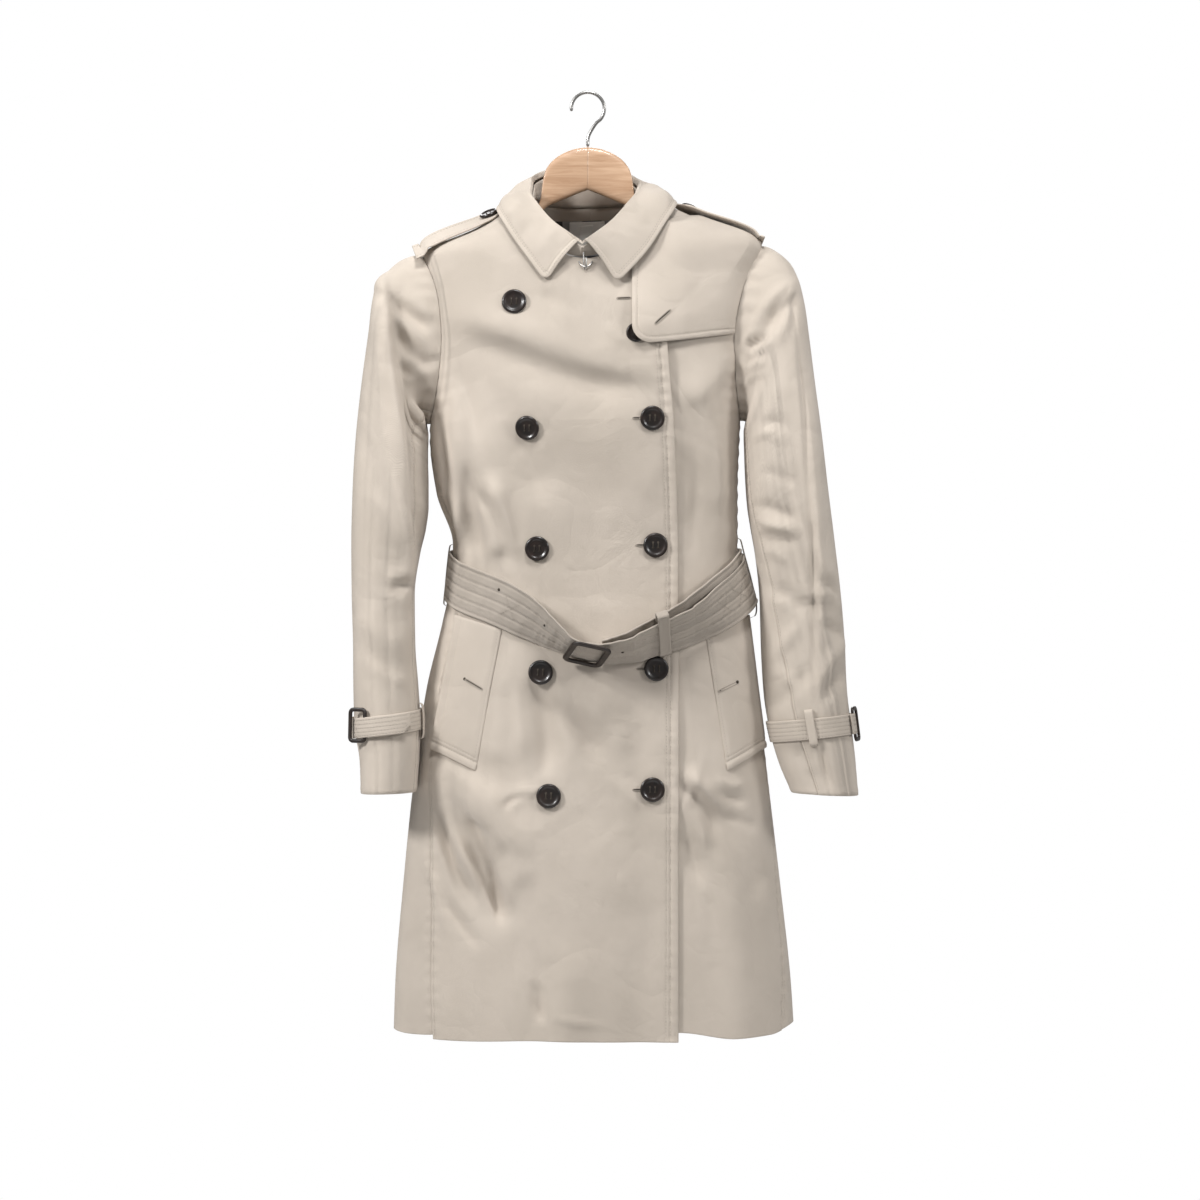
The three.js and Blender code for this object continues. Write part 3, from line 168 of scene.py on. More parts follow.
# Body: rings of half widths and half depths, up from the hem
BODY = table("z left right front back", [
    [0, 224, 233, 88, 74],
    [60, 222, 229, 87, 74],
    [170, 213, 217, 84, 72],
    [280, 202, 204, 80, 70],
    [390, 187, 191, 75, 67],
    [470, 168, 180, 70, 63],
    [515, 159, 172, 66, 60],
    [560, 156, 168, 64, 58],
    [620, 175, 168, 68, 60],
    [680, 182, 170, 73, 62],
    [740, 181, 173, 76, 61],
    [800, 182, 177, 74, 56],
    [850, 186, 184, 66, 50],
    [895, 190, 190, 56, 44],
    [925, 127, 128, 50, 42],
    [955, 64, 66, 46, 40],
])

# Drape folds of the whole body, as ridges or troughs between two points of the front or back view
FRONT_FOLDS = [
    [-150, 800, -60, 640, 23.4, -6.2],
    [-160, 730, -110, 560, 16.2, 5],
    [-140, 650, -130, 560, 11.7, -6.2],
    [-106, 640, -102, 560, 12.6, 5],
    [120, 760, 150, 620, 18, 5],
    [-100, 440, -110, 330, 19.8, 5],
    [-160, 270, -100, 150, 19.8, -7.5],
    [-130, 310, -80, 190, 16.2, 6.2],
    [130, 280, 190, 180, 19.8, -6.2],
    [-20, 110, -34, -20, 25.2, 6.2],
    [56, 120, 58, -20, 23.4, -5],
    [150, 230, 168, -20, 25.2, 6.2],
    [-196, 200, -208, -20, 19.8, -3.8],
]
BACK_FOLDS = [
    [-110, 860, -76, 600, 28, 4],
    [100, 850, 68, 600, 28, 4],
    [-60, 420, -96, -20, 32, 6],
    [64, 430, 104, -20, 32, 6],
    [-150, 300, -172, -20, 26, -4],
    [150, 300, 170, -20, 26, -4],
]

# Creases: from x0, z0 to x1, z1, width, height (below 0 a trough), bow to one side, lean to one side
FRONT_CREASES = [
    [-150, 822, 66, 756, 20.4, 6.3, -6, 0.35],
    [-140, 796, 66, 730, 17, -6.6, -8, -0.2],
    [-154, 780, -130, 672, 10.2, -3.9, 4, 0.2],
    [-128, 622, -94, 548, 6.8, -4.8, 3, 0.3],
    [-114, 628, -82, 552, 7.6, 3.9, 2, -0.2],
    [-150, 610, -136, 556, 6, 3.3, 0, 0],
    [168, 772, 104, 722, 15.3, 4.5, 5, -0.3],
    [118, 700, 112, 560, 10.2, -3, 0, 0],
    [142, 690, 148, 566, 9.3, 2.7, 3, 0.2],
    [10, 690, 70, 610, 22.1, 2.4, 4, 0.2],
    [-40, 700, 20, 560, 25.5, -2.1, 6, 0],
    [-62, 404, -48, 296, 12.8, -7.5, 5, 0.25],
    [-84, 398, -76, 318, 9.3, 4.2, 2, 0],
    [-30, 372, 16, 312, 11.9, -5.7, 4, 0.2],
    [-8, 388, 40, 328, 11, 3.9, 3, -0.2],
    [36, 392, 66, 300, 11.9, -2.4, 3, 0],
    [-146, 286, -60, 216, 18.7, 7.5, -8, 0.3],
    [-174, 250, -130, 160, 6.8, -6.6, -5, 0.4],
    [-138, 256, -101, 138, 6.8, -6.9, 6, 0.4],
    [-156, 236, -116, 152, 6.8, 5.4, 0, 0],
    [-122, 232, -84, 150, 8.5, 4.5, 3, 0],
    [-166, 166, -124, 102, 6.8, -4.2, -3, 0.3],
    [-184, 200, -160, 120, 6, 3.3, 0, 0],
    [-90, 262, -58, 282, 5.1, 2.7, 1, 0],
    [102, 306, 152, 248, 7.6, 5.7, 5, 0.3],
    [101, 288, 142, 236, 6, -5.4, 4, 0],
    [104, 262, 132, 214, 6, 4.2, 3, 0.3],
    [101, 236, 124, 180, 6.8, -3.9, 3, 0],
    [142, 294, 174, 284, 4.2, 3, -2, 0],
    [138, 279, 178, 268, 4.2, -3, -2, 0],
    [118, 190, 134, 110, 11.9, 2.7, 2, 0],
    [206, 216, 216, 122, 6.8, -2.7, 3, 0],
    [-46, 30, 14, 16, 4.2, 2.2, -2, 0],
    [-62, 64, -50, 26, 7.6, -3.9, 0, 0],
    [-8, 240, 44, 150, 20.4, 2.4, 6, 0],
    [-90, 130, -20, 40, 18.7, -2.2, -5, 0],
    [50, 250, 70, 90, 13.6, -2, 3, 0],
    [18, 800, 60, 786, 7.6, 2.4, -3, 0],
    [-60, 842, -12, 822, 8.5, -2.1, 3, 0],
    [-108, 600, -60, 470, 11.9, -2.4, 5, 0],
    [-176, 312, -98, 244, 15, 5.5, 6, -0.4],
    [-170, 250, -137, 150, 6, -5, -4, 0.3],
    [-134, 218, -102, 138, 5, -4.5, 3, 0.3],
    [-152, 226, -124, 158, 6, 4, 0, 0],
    [-100, 262, -60, 276, 4, -2.6, 2, 0],
    [-100, 272, -62, 284, 5, 2.4, 2, 0],
    [-140, 246, -106, 226, 9, -4, 3, 0],
    [-34, 380, 4, 316, 13, -4.5, 3, 0.2],
    [-66, 400, -40, 300, 16, -4, 5, 0],
    [-186, 600, -172, 540, 6, -3.5, 0, 0],
    [-171, 710, -158, 545, 5, -4.5, 2, 0.2],
    [-158, 700, -147, 548, 7, 4, 2, 0],
    [-168, 640, -150, 545, 6, 3.5, 2, 0],
    [-140, 660, -126, 550, 7, -3.5, 2, 0],
    [-60, 52, -56, 22, 6, -3.5, 0, 0],
    [40, 300, 58, 284, 4, -2, 1, 0],
    [24, 292, 56, 262, 5, 2, 2, 0],
    [106, 214, 140, 120, 7, -2.6, 4, 0],
    [150, 252, 188, 236, 5, -2.6, 2, 0],
    [128, 318, 104, 250, 6, 3, -2, 0],
    [110, 640, 106, 540, 6, 2.4, 1, 0],
]
BACK_CREASES = [
    [-130, 840, -20, 760, 21.6, 4.4, -6, 0.3],
    [140, 838, 30, 752, 19.8, 3.9, 6, 0.3],
    [-120, 650, -90, 546, 10.8, -3.9, 3, 0.2],
    [-84, 640, -66, 544, 9, 3.6, 2, 0],
    [-40, 620, -34, 548, 8.1, -3.1, 0, 0],
    [22, 628, 16, 548, 9, 3.4, 0, 0],
    [62, 640, 48, 546, 9, -3.6, -2, 0],
    [112, 660, 90, 548, 11.7, 3.9, -4, 0.2],
    [-110, 506, -120, 380, 10.8, 4.2, 3, 0.2],
    [-70, 500, -64, 400, 9, -3.4, 2, 0],
    [-26, 502, -30, 372, 9.9, 3.1, 0, 0],
    [30, 500, 24, 396, 9, -3.6, 0, 0],
    [80, 500, 96, 360, 11.7, 4.2, -3, 0.2],
    [128, 504, 140, 400, 9.9, -3.4, 2, 0],
    [-150, 330, -100, 240, 11.7, -4.2, 5, 0.3],
    [148, 300, 108, 210, 11.7, -3.9, -5, 0.3],
    [-60, 250, -88, 120, 16.2, 3.1, 4, 0],
    [40, 270, 70, 130, 16.2, -2.9, 4, 0],
    [-170, 220, -186, 60, 10.8, 2.9, 2, 0],
    [176, 240, 196, 70, 10.8, 2.9, -2, 0],
]

# Creases of the sleeves, in the same form, seen from the front and from the back
SLEEVE_CREASES = {
    "left": {
        "front": [
            [-238, 884, -210, 650, 10, 8, -2, -0.7],
            [-215, 750, -197, 470, 10, 7.5, -2, -0.7],
            [-214, 872, -192, 660, 15, -12, -2, 0.2],
            [-197, 730, -186, 500, 12, -12, -2, 0.2],
            [-206, 516, -200, 470, 6, -3, 0, 0],
            [-240, 500, -206, 494, 6, 2.4, 2, 0],
            [-240, 858, -178, 814, 9.7, 4.5, 3, 0.3],
            [-234, 840, -176, 797, 7, -4.5, 3, 0],
            [-229, 824, -174, 774, 8.8, 5.1, 3, 0.3],
            [-224, 803, -176, 754, 7.9, -5.1, 2, 0],
            [-218, 786, -178, 738, 7.9, 3.9, 2, 0.2],
            [-214, 766, -181, 716, 7.9, -4.2, 3, 0],
            [-209, 756, -190, 742, 3.5, 2.4, 0, 0],
            [-205, 700, -188, 640, 8.8, 3, 2, 0],
            [-262, 700, -240, 560, 10.6, -2.4, 4, 0],
            [-226, 506, -203, 516, 4.4, -3.9, 1, 0],
            [-230, 520, -206, 528, 5.3, 3.3, 1, 0],
            [-262, 476, -214, 436, 11.4, 3.3, 4, 0.2],
            [-264, 446, -220, 404, 9.7, -3.3, 4, 0.2],
            [-250, 620, -216, 560, 8.8, 2.4, 3, 0],
            [-246, 420, -206, 398, 6.2, 2.7, 2, 0],
        ],
        "back": [
            [-240, 850, -182, 790, 11.4, 4.5, 4, 0.2],
            [-236, 822, -184, 756, 9.7, -4.5, 4, 0],
            [-262, 640, -206, 570, 11.4, 4.8, 5, 0.2],
            [-262, 600, -206, 536, 9.7, -4.5, 4, 0],
            [-264, 540, -212, 470, 10.6, 3.6, 3, 0],
            [-262, 450, -216, 420, 7.9, -3, 3, 0],
        ],
    },
    "right": {
        "front": [
            [236, 800, 250, 580, 4.6, -4.4, 1, 0.3],
            [229, 856, 201, 806, 6, -4.5, -2, 0],
            [236, 852, 229, 800, 5, -3.6, 0, 0],
            [178, 745, 202, 754, 4.5, 3, 1, 0],
            [180, 768, 200, 778, 3.5, -3, 0, 0],
            [259, 336, 274, 276, 5, -5, 0, 0.2],
            [236, 336, 254, 276, 10, -4, 0, 0],
            [206, 420, 238, 384, 6, 2.6, 3, 0],
            [250, 620, 254, 376, 4.2, -4, 1, 0.3],
            [246, 744, 262, 560, 12, 3, 1, 0],
            [192, 700, 226, 690, 5, -2, 2, 0],
            [190, 684, 222, 676, 5, 2, 2, 0],
            [196, 640, 236, 628, 6, -2.4, 2, 0],
            [262, 520, 284, 500, 5, -3, 2, 0],
            [262, 508, 286, 486, 5, 3, 2, 0],
            [264, 470, 296, 452, 5, -2.6, 2, 0],
            [240, 862, 182, 798, 9.7, 5.1, -4, 0.3],
            [234, 840, 180, 774, 7, -5.1, -3, 0],
            [226, 812, 184, 760, 8.8, 3.6, -3, 0],
            [174, 790, 202, 802, 4, 3.3, 1, 0],
            [174, 774, 204, 783, 4, 3, -1, 0],
            [176, 756, 206, 764, 4.4, 2.7, 1, 0],
            [176, 783, 200, 793, 3.5, -2.4, 0, 0],
            [190, 602, 234, 588, 6.2, -3.9, 2, 0.2],
            [191, 588, 240, 572, 6.2, 4.2, -2, 0],
            [194, 571, 232, 561, 5.3, -3.3, 1, 0],
            [196, 552, 226, 540, 5.3, 2.7, 2, 0],
            [202, 512, 264, 486, 7.9, -4.2, -3, 0.3],
            [206, 494, 270, 500, 7, 3.9, 3, 0],
            [256, 398, 302, 458, 7, 3.9, 3, 0.2],
            [262, 378, 306, 430, 6.2, -3.9, 3, 0],
            [206, 376, 250, 420, 7.9, -3.9, -3, 0],
            [202, 430, 242, 474, 7, 3.3, -3, 0],
            [266, 470, 292, 440, 6.2, -3, 0, 0],
            [250, 560, 276, 520, 7, 2.7, 0, 0],
            [262, 640, 268, 540, 7.9, -2.4, 2, 0],
        ],
        "back": [
            [238, 856, 178, 790, 11.4, 4.5, -4, 0.2],
            [236, 828, 180, 752, 9.7, -4.5, -4, 0],
            [264, 640, 200, 566, 11.4, 4.8, -5, 0.2],
            [268, 600, 202, 530, 9.7, -4.5, -4, 0],
            [284, 500, 214, 450, 9.7, 3.6, -3, 0],
            [290, 440, 226, 404, 8.8, -3.3, 3, 0],
        ],
    },
}

def ridges(folds, x, z):
    """The summed height of straight folds: a bell across each, which rises over its first third."""
    total = np.zeros(np.broadcast(x, z).shape)
    for x0, z0, x1, z1, width, height in folds:
        dx, dz = x1 - x0, z1 - z0
        share = ((x - x0) * dx + (z - z0) * dz) / (dx * dx + dz * dz)
        along = np.clip(share, 0, 1)
        away = np.hypot(x - x0 - along * dx, z - z0 - along * dz) / width
        total += height * smooth_step(-0.1, 0.35, share) * np.exp(-away * away)
    return total


def creases(rows, x, z):
    """The summed height of soft creases.

    Each is a bell across a bowed line, wider on the side that it leans to, and it fades out
    towards both ends. A slow wave along it makes its height and place uneven.
    """
    total = np.zeros(np.broadcast(x, z).shape)
    for number, (x0, z0, x1, z1, width, height, bow, lean) in enumerate(rows):
        dx, dz = x1 - x0, z1 - z0
        length = math.hypot(dx, dz)
        share = ((x - x0) * dx + (z - z0) * dz) / length**2
        beside = ((z - z0) * dx - (x - x0) * dz) / length
        wander = 0.16 * width * np.sin(share * 5.1 + number * 1.7)
        beside = beside - bow * 4 * np.clip(share, 0, 1) * np.clip(1 - share, 0, 1) - wander
        wide = width * (1 + lean * np.tanh(beside / width))
        fade = smooth_step(-0.18, 0.32, share) * smooth_step(1.18, 0.68, share)
        uneven = 1 + 0.22 * np.sin(share * 6.3 + number * 2.3)
        total += height * fade * uneven * np.exp(-((beside / wide) ** 2))
    return total * bpy.context.scene.trench_coat.crease_depth


def ripple(x, z, seed):
    """A faint unevenness of hung cloth: five slow waves across each other."""
    total = 0
    for k in range(5):
        turn = seed * 1.3 + k * 2.4
        scale = 0.021 * (1 + 0.55 * k)
        along = x * math.cos(turn) + z * math.sin(turn)
        total = total + np.sin(along * scale + seed * 7 + k * 1.9) / (1 + 0.6 * k)
    return 0.34 * total


def free_of_belt(x, z, is_front):
    """0 where the belt presses the folds flat, 1 away from it."""
    belt_z = np.where(is_front, mix(434, 522, smooth_step(0, 170, np.abs(x))), 530)
    return 1 - np.exp(-(((z - belt_z) / 38) ** 2))


def body_point(angle, z):
    """A squared oval round each height, which leans forward and tilts towards the shoulders."""
    s, c = np.sin(angle), np.cos(angle)
    half = np.where(s < 0, curve(BODY, "left", z), curve(BODY, "right", z))
    depth = np.where(c > 0, curve(BODY, "front", z), curve(BODY, "back", z))
    x = half * signed_power(s, FULLNESS)
    folds = np.where(c > 0, ridges(FRONT_FOLDS, x, z), ridges(BACK_FOLDS, x, z))
    drape = folds * smooth_step(0, 0.5, np.abs(c)) * free_of_belt(x, z, c > 0)
    share = smooth_step(600, 850, z)
    inward = np.sqrt(x * x + 900) - 30
    y = -depth * signed_power(c, FULLNESS) - np.sign(c) * drape
    return stack(x, y - share * SHOULDER_FORWARD * inward, z + share * SHOULDER_TILT * x)


def body_normal(angle, z):
    return normal_of(body_point, angle, z, 0.01, 1.5)


def on_body(angle, z, out):
    """A point on the body's cloth, moved out along the normal by out and by the creases there."""
    angle, z, out = np.broadcast_arrays(np.asarray(angle, float), np.asarray(z, float), np.asarray(out, float))
    base = body_point(angle, z)
    c = np.cos(angle)
    x = base[..., 0]
    front = creases(FRONT_CREASES, x, z) + ripple(x, z, 1)
    back = 1.6 * creases(BACK_CREASES, x, z) + ripple(x, z, 2)
    facing = smooth_step(0.06, 0.5, np.abs(c))
    free = free_of_belt(x, z, c > 0) * smooth_step(935, 860, z)
    extra = np.where(c > 0, front, back) * facing * free
    return base + body_normal(angle, z) * (out + extra)[..., None]


def half_at(side, z):
    return curve(BODY, "left" if side < 0 else "right", z)


def angle_at(x, z):
    """The ring angle of the front point at a given x."""
    half = np.where(np.asarray(x) < 0, curve(BODY, "left", z), curve(BODY, "right", z))
    share = np.minimum(np.abs(x) / half, 1)
    return np.sign(x) * np.arcsin(share ** (1 / FULLNESS))


def angle_beside_side(side, z, depth):
    """The ring angle next to the side of the coat, a small depth in front of it or behind it."""
    reach = np.where(np.asarray(depth) > 0, curve(BODY, "front", z), curve(BODY, "back", z))
    turn = np.arccos(np.clip(np.abs(depth) / reach, 0, 1) ** (1 / FULLNESS))
    return side * np.where(np.asarray(depth) > 0, turn, math.pi - turn)


# Armholes: an upright oval cut into the rings at each side
ARMHOLE_FRONT, ARMHOLE_BACK = 36.0, 34.0
BACK_ARMPIT = -math.pi + 1e-9


def armhole_edge(side, turn):
    """Turn 0 is the shoulder and pi the armpit; the depth follows the power 0.9 of the sine."""
    turn = np.asarray(turn, float)
    z = mix(ARMPIT_Z, SHOULDER_Z, (1 + np.cos(turn)) / 2)
    in_front = np.sin(turn) >= 0
    reach = np.where(in_front, ARMHOLE_FRONT, ARMHOLE_BACK) * np.abs(np.sin(turn)) ** 0.9
    depth = np.maximum(reach, SEAM_GAP / 2) * np.where(in_front, 1, -1)
    return angle_beside_side(side, z, depth), z


def arm_edge_angle(side, z):
    turn = np.arccos(np.clip((z - ARMPIT_Z) / (SHOULDER_Z - ARMPIT_Z) * 2 - 1, -1, 1))
    return armhole_edge(side, turn)[0]


SIDE_SEAMS = table("z left right", [
    [0, 49, 67],
    [150, 53, 77],
    [330, 63, 84],
    [450, 62, 86],
    [550, 73, 86],
    [620, 75, 87],
    [660, 82, 88],
    [700, 89.9, 89.9],
])


def seam_angle(side, z):
    return side * np.radians(curve(SIDE_SEAMS, "left" if side < 0 else "right", z))


def half_gap(angle, z):
    ahead = np.linalg.norm(body_point(angle + 0.004, z) - body_point(angle - 0.004, z), axis=-1)
    return (SEAM_GAP / 2) * (0.008 / ahead)


def centre_back(side, z):
    half = (SEAM_GAP / 2 / half_at(side, z)) ** (1 / FULLNESS)
    return side * (math.pi - np.arcsin(half))


FRONT_EDGE = table("z x", [[0, 99], [520, 99], [690, 94], [750, 89], [872, 80]])
UNDER_EDGE_X = -88.0
THROAT_X, THROAT_Z, THROAT_OVER_TOP = -9.0, 883.0, 870.0


def over_edge_x(z):
    return curve(FRONT_EDGE, "x", z)


def under_edge_x(z):
    return np.full(np.shape(z), UNDER_EDGE_X)


def neck_run(side, t):
    """The neckline of one front: a quarter turn from the shoulder's neck point to the throat."""
    turn = math.radians(90) * np.asarray(t, float) ** 1.35
    half = half_at(side, NECK_Z)
    x = mix(side * half, THROAT_X, 1 - np.cos(turn))
    z = mix(NECK_Z, THROAT_Z, np.sin(turn))
    beside = np.abs(angle_beside_side(side, z, SEAM_GAP / 2))
    angle = angle_at(x, z)
    sign = np.sign(angle) * side
    return side * np.minimum(np.abs(angle), beside) * np.where(sign == 0, 1, sign), z


def back_neck_run(side, t):
    """The back neckline of one half, from the neck point to the centre back."""
    turn = math.radians(90) * np.asarray(t, float)
    z = NECK_Z - 5 * np.sin(turn)
    share = half_at(side, NECK_Z) * np.cos(turn) / half_at(side, z)
    angle = math.pi - np.arcsin(np.clip(share, 0, 1) ** (1 / FULLNESS))
    beside = np.abs(angle_beside_side(side, z, -SEAM_GAP / 2))
    return side * np.minimum(np.maximum(angle, beside), np.abs(centre_back(side, z))), z


def shoulder_run(side, depth, t):
    z = mix(SHOULDER_Z, NECK_Z, np.asarray(t, float))
    return angle_beside_side(side, z, depth), z


HEM = table("x over under back", [
    [-226, 5, 5, 5],
    [-205, 0.5, 0.5, 3],
    [-140, -1.5, 4, 6],
    [-60, 0.5, 7, 4],
    [20, -1, 9, 7],
    [99, -1.5, 9, 4],
    [165, 1, 1, 6],
    [205, 3, 3, 5],
    [233, 13, 13, 13],
])


def with_hem(angle, z, name):
    """The hem rises and falls a few millimetres round the coat, fading out 120 above it."""
    rise = curve(HEM, name, body_point(angle, np.zeros_like(z))[..., 0])
    return z + (1 - smooth_step(0, 120, z)) * rise


def coons(bottom, top, left, right, u, v):
    """A grid between four edges, each blended from the edges across from it."""
    out = []
    for k in range(2):
        across = mix(left[k], right[k], u)
        up = mix(bottom[k], top[k], v)
        corners = mix(mix(bottom[k][:, :1], bottom[k][:, -1:], u), mix(top[k][:, :1], top[k][:, -1:], u), v)
        out.append(across + up - corners)
    return out


# Meshes

def new_object(name, vertices, faces, material, uv=None):
    """Puts whole arrays of points and faces into a mesh object, smooth, with its place in the mesh."""
    mesh = bpy.data.meshes.new(name)
    points = (np.asarray(vertices) + COAT_PLACE) * METRE
    mesh.from_pydata(points.tolist(), [], faces.tolist() if isinstance(faces, np.ndarray) else faces)
    if uv is not None:
        corners = np.empty(len(mesh.loops), dtype=np.int32)
        mesh.loops.foreach_get("vertex_index", corners)
        layer = mesh.uv_layers.new(name="cloth")
        layer.data.foreach_set("uv", np.asarray(uv, dtype=np.float32)[corners].ravel())
    mesh.polygons.foreach_set("use_smooth", np.ones(len(mesh.polygons), dtype=bool))
    mesh.materials.append(material)
    mesh.update()
    made = bpy.data.objects.new(name, mesh)
    bpy.context.scene.collection.objects.link(made)
    return made


def facing_out(vertices, faces):
    """Turns all faces round where the volume that they enclose is below 0."""
    corners = vertices[faces]
    middle = corners.mean(axis=1, keepdims=True)
    ahead = np.roll(corners, -1, axis=1)
    volume = np.einsum("fij,fij->", np.broadcast_to(middle, corners.shape), np.cross(corners, ahead))
    return faces if volume > 0 else faces[:, ::-1]


def arc_uv(points):
    """The lengths along a grid's rows and columns, in metres, as the cloth's own flat coordinates."""
    along = np.cumsum(np.linalg.norm(np.diff(points, axis=1), axis=-1), axis=1)
    up = np.cumsum(np.linalg.norm(np.diff(points, axis=0), axis=-1), axis=0)
    u = np.pad(along, ((0, 0), (1, 0)))
    v = np.pad(up, ((1, 0), (0, 0)))
    return np.stack([u, v], axis=-1) * METRE


def wall(name, outer, inner, material, is_tube=False, roll=0.3):
    """A closed wall between two grids, whose rim bulges by a share of its thickness so that it is round."""
    rows, columns = outer.shape[:2]
    count = rows * columns
    index = np.arange(count).reshape(rows, columns)
    if is_tube:
        index = np.concatenate([index, index[:, :1]], axis=1)
    a, b, c, d = index[:-1, :-1], index[:-1, 1:], index[1:, 1:], index[1:, :-1]
    outer_faces = np.stack([a, b, c, d], axis=-1).reshape(-1, 4)
    inner_faces = outer_faces[:, ::-1] + count
    if is_tube:
        rims = [index[0, :-1], index[-1, :-1][::-1]]
        inward = [index[1, :-1], index[-2, :-1][::-1]]
    else:
        rims = [np.concatenate([index[0], index[1:, -1], index[-1, -2::-1], index[-2:0:-1, 0]])]
        low, high = np.minimum(np.arange(rows), rows - 2), np.minimum(np.arange(columns), columns - 2)
        inside = index[np.maximum(low, 1)][:, np.maximum(high, 1)]
        inward = [np.concatenate([inside[0], inside[1:, -1], inside[-1, -2::-1], inside[-2:0:-1, 0]])]
    flat_outer, flat_inner = outer.reshape(-1, 3), inner.reshape(-1, 3)
    vertices, faces = [flat_outer, flat_inner], [outer_faces, inner_faces]
    uv = arc_uv(outer).reshape(-1, 2)
    uvs = [uv, uv]
    start = 2 * count
    for rim, behind in zip(rims, inward):
        across = unit(flat_outer[rim] - flat_inner[rim])
        thick = np.linalg.norm(flat_outer[rim] - flat_inner[rim], axis=-1, keepdims=True)
        away = flat_outer[rim] - flat_outer[behind]
        away = unit(away - across * (away * across).sum(axis=-1, keepdims=True))
        vertices.append((flat_outer[rim] + flat_inner[rim]) / 2 + away * thick * roll)
        uvs.append(uv[rim])
        middle = start + np.arange(len(rim))
        after, rim_after = np.roll(middle, -1), np.roll(rim, -1)
        faces.append(np.stack([rim_after, rim, middle, after], axis=-1))
        faces.append(np.stack([after, middle, rim + count, rim_after + count], axis=-1))
        start += len(rim)
    vertices, faces = np.concatenate(vertices), np.concatenate(faces)
    return new_object(name, vertices, facing_out(vertices, faces), material, np.concatenate(uvs))


def grid_normals(points):
    """The unit normals of a grid of points, from its central differences."""
    down = np.gradient(points, axis=0)
    across = np.gradient(points, axis=1)
    return unit(np.cross(down, across))


def loft(name, rings, material, closed_path=False, uv_scale=1.0):
    """A closed skin through rings of points; each end is closed by a fan unless the path is a loop."""
    count, sides = rings.shape[:2]
    index = np.arange(count * sides).reshape(count, sides)
    index = np.concatenate([index, index[:, :1]], axis=1)
    if closed_path:
        index = np.concatenate([index, index[:1]], axis=0)
    a, b, c, d = index[:-1, :-1], index[:-1, 1:], index[1:, 1:], index[1:, :-1]
    faces = np.stack([a, b, c, d], axis=-1).reshape(-1, 4).tolist()
    vertices = rings.reshape(-1, 3)
    around = np.linspace(0, 1, sides, endpoint=False)
    length = np.pad(np.cumsum(np.linalg.norm(np.diff(rings.mean(axis=1), axis=0), axis=-1)), (1, 0))
    girth = np.linalg.norm(np.diff(rings[0], axis=0), axis=-1).sum()
    uv = stack(around[None, :] * girth, length[:, None], 0)[..., :2].reshape(-1, 2) * METRE
    quads = np.array(faces)
    turned = facing_out(vertices, quads)
    is_turned = not np.array_equal(turned, quads)
    faces = turned.tolist()
    if not closed_path:
        caps = [index[0, :-1][::-1].tolist(), index[count - 1, :-1].tolist()]
        faces += [cap[::-1] for cap in caps] if is_turned else caps
    return new_object(name, vertices, faces, material, uv * uv_scale)


def catmull_rom(points, t):
    """A centripetal curve through points, at shares t of its equal spans."""
    count = points.shape[-2]
    first = 2 * points[..., :1, :] - points[..., 1:2, :]
    last = 2 * points[..., -1:, :] - points[..., -2:-1, :]
    padded = np.concatenate([first, points, last], axis=-2)
    spot = np.clip(np.asarray(t, float) * (count - 1), 0, count - 1 - 1e-9)
    low = spot.astype(int)
    w = (spot - low)[:, None]
    p0, p1, p2, p3 = (padded[..., low + k, :] for k in range(4))
    spans = (p1 - p0, p2 - p1, p3 - p2)
    d0, d1, d2 = (np.sqrt(np.linalg.norm(span, axis=-1, keepdims=True)) for span in spans)
    start = ((p1 - p0) / d0 - (p2 - p0) / (d0 + d1) + (p2 - p1) / d1) * d1
    end = ((p2 - p1) / d1 - (p3 - p1) / (d1 + d2) + (p3 - p2) / d2) * d1
    square, cube = w * w, w * w * w
    return p1 + start * w + (3 * (p2 - p1) - 2 * start - end) * square + (2 * (p1 - p2) + start + end) * cube


def tube_rings(path, radius, sides=12):
    """Rings round a path of points, each turned as little as possible from the one before it."""
    along = unit(np.gradient(path, axis=0))
    aside = [np.cross(along[0], [0.3, 0.5, 0.81])]
    for direction in along[1:]:
        aside.append(aside[-1] - direction * np.dot(aside[-1], direction))
    aside = unit(np.array(aside))
    up = np.cross(along, aside)
    turn = np.linspace(0, 2 * math.pi, sides, endpoint=False)
    radius = np.broadcast_to(radius, len(path))[:, None, None]
    return path[:, None] + radius * (np.cos(turn)[:, None] * aside[:, None] + np.sin(turn)[:, None] * up[:, None])


def own(piece, slot, *nodes):
    """The piece rides on the coat and stands for its solids, which are hidden; its slot is not used."""
    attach(piece, "root")
    if nodes:
        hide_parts(*nodes)
    return piece


def cloth_piece(piece, flat, slot, *nodes, area=None, rests_on=("hanger_arm_left", "hanger_arm_right")):
    """A cut piece of cloth; the size of its flat cut, in metres, is not used."""
    own(piece, slot, *nodes)
    return piece


def spaced(*runs):
    """One rising array from runs of (end, count), starting at 0."""
    parts, start = [np.zeros(1)], 0.0
    for end, count in runs:
        parts.append(np.linspace(start, end, count + 1)[1:])
        start = end
    return np.concatenate(parts)


# Stitches: a short flattened thread, pointed at both ends, every few millimetres along a line

# Stitches and small closed skins wait here, by the name of the piece that they are joined into
threads = {}
small_solids = {}


